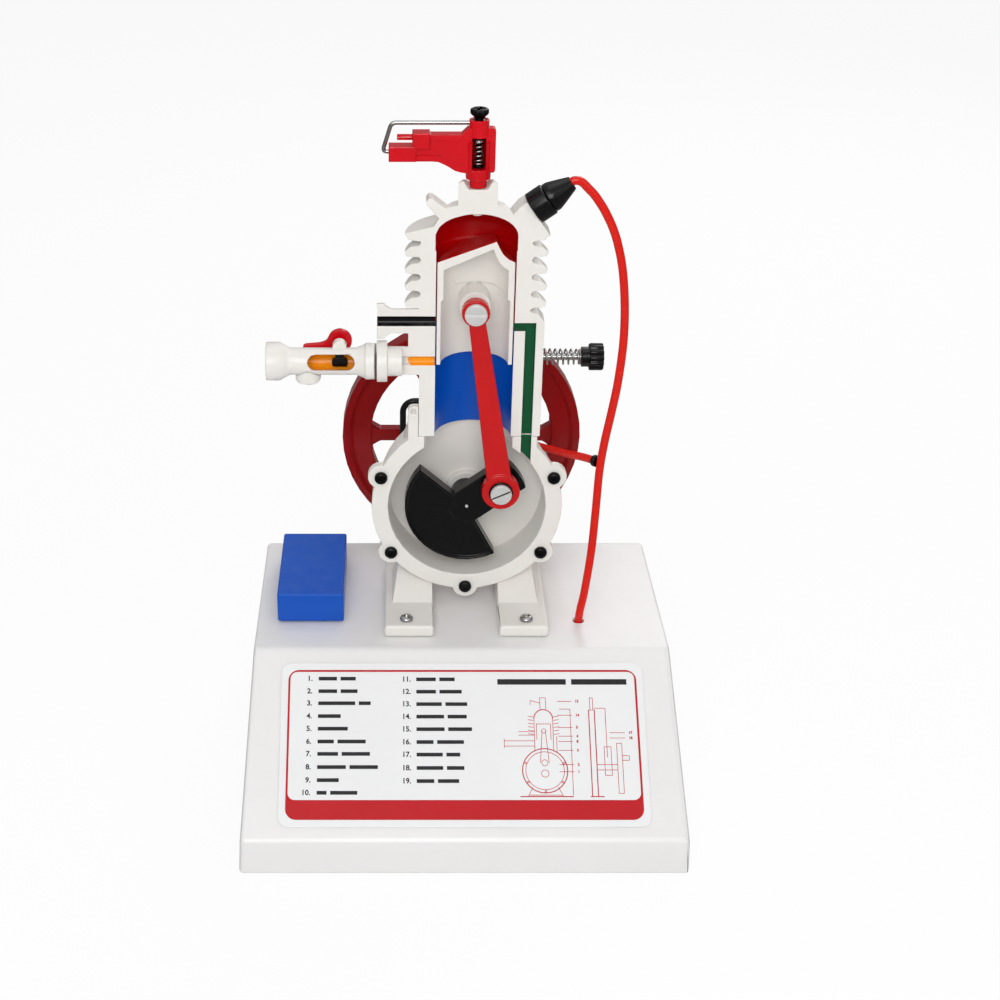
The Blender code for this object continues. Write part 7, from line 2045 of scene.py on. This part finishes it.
@dataclass
class Nozzle:
    """The red nozzle holder with its needle, its spring, its screw and its bent wire."""

    palette: Palette
    axis: Point = (0.0022, 0.0050, 0.0)
    spring_radius: float = 0.0026
    spring_wire: float = 0.0005
    lift: float = 0.0010
    spring_run: tuple[float, float] = (0.2002, 0.2123)
    spring_turns: int = 7
    top: float = 0.2231
    seat: float = 0.2241
    head: float = 0.0048
    head_height: float = 0.0046
    neck: float = 0.0022
    shank: float = 0.0031
    shank_low: float = 0.2131
    wire_radius: float = 0.0011
    wire_bend: float = 0.0026
    tip: float = 0.0028
    tip_ends: tuple[float, float] = (0.1722, 0.1741)

    def build(self) -> None:
        """Build the nozzle."""
        Copy("nozzle_holder", "nozzle_moulding", 0.0003, "red_plastic",
             Slot.RED_PLASTIC).place(self.palette)
        place_steel(self.palette, softened("nozzle_needle", "nozzle_needle_turned", 0.0001, 1),
                    "nozzle_needle", "nozzle_needle", self.axis, Axis.Z, Tone.BLACK)
        coil = spring("nozzle_spring_wound", (self.spring_radius, self.spring_radius),
                      self.spring_wire, self.spring_run, self.spring_turns,
                      engine_place(self.axis))
        place_steel(self.palette, coil, "nozzle_spring", "nozzle_spring", self.axis, Axis.Z)
        press(coil)
        self.build_screw()
        self.build_wire()
        self.build_tip()

    def build_screw(self) -> None:
        """Build the black adjusting screw with a cross in its head."""
        angles = ring_angles(96)
        cross = Recess.CROSS.radii(self.head * 0.70, angles + 0.35)
        top = self.seat + self.head_height
        rim = self.head + 0.00016 * np.cos(angles * 16) - 0.00016
        rings = [(0.0, top - 0.0018), (cross, top - 0.0016), (cross, top - 0.0001),
                 (np.maximum(cross, self.head * 0.45) + 0.0002, top), (self.head - 0.0008, top),
                 (rim - 0.0002, top - 0.0003), (rim, top - 0.0007), (rim, top - 0.0025),
                 (rim - 0.0005, top - 0.0030), (self.shank, self.seat + 0.0005),
                 (self.shank - 0.0003, self.seat),
                 (self.neck, self.seat), (self.neck, self.top), (self.shank, self.top - 0.0003),
                 (self.shank, self.shank_low), (0.0, self.shank_low)]
        screw = ring_stack("adjusting_screw_head", rings, engine_place(self.axis), 96)
        place_steel(self.palette, screw, "adjusting_screw", "adjusting_screw", self.axis, Axis.Z,
                    Tone.BLACK)

    def build_wire(self) -> None:
        """Build the bent wire from the holder's neck, out, down and back into the arm."""
        x = CYLINDER_X
        corners = ((x - 0.0042, 0.2213), (x - 0.0450, 0.2213), (x - 0.0497, 0.2062),
                   (x - 0.0439, 0.2062))
        flat = rounded_corners(corners, self.wire_bend, 8)
        path = np.stack([flat[:, 0], np.full(len(flat), self.axis[1]), flat[:, 1]], axis=-1)
        wire = tube("socket_wire_bent", path + np.array(ENGINE), self.wire_radius, 14)
        place_steel(self.palette, wire, "socket_wire", "socket_wire", (0.0, 0.0, 0.0), Axis.X)

    def build_tip(self) -> None:
        """Build the white tip that hangs from the chamber's ceiling."""
        low, high = self.tip_ends
        profile = rounded_corners(((0.0, high), (self.tip, high), (self.tip, low + 0.0004),
                                   (self.tip * 0.8, low), (0.0, low)), 0.0003, 3)
        place_piece(turned("nozzle_tip_cast", profile, engine_place(self.axis), 40),
                    self.palette["casting"], (), "base")


def write_sizes() -> None:
    """Bring the scene's evaluated state up to date."""
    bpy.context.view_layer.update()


def main() -> None:
    """Build the studio and every sub-assembly in order."""
    logging.basicConfig(level=logging.INFO, format="%(name)s: %(message)s")
    palette = Palette()
    Studio().build()
    for assembly in (Hoses(palette), DisplayBase(palette), LabelPlate(palette), Crankcase(palette),
                     CylinderBlock(palette), RunningGear(palette), Flywheel(palette),
                     FuelPump(palette), Governor(palette), Injector(palette), Nozzle(palette)):
        LOG.info("building %s", type(assembly).__name__)
        assembly.build()
    write_sizes()


if __name__ == "__main__":
    main()
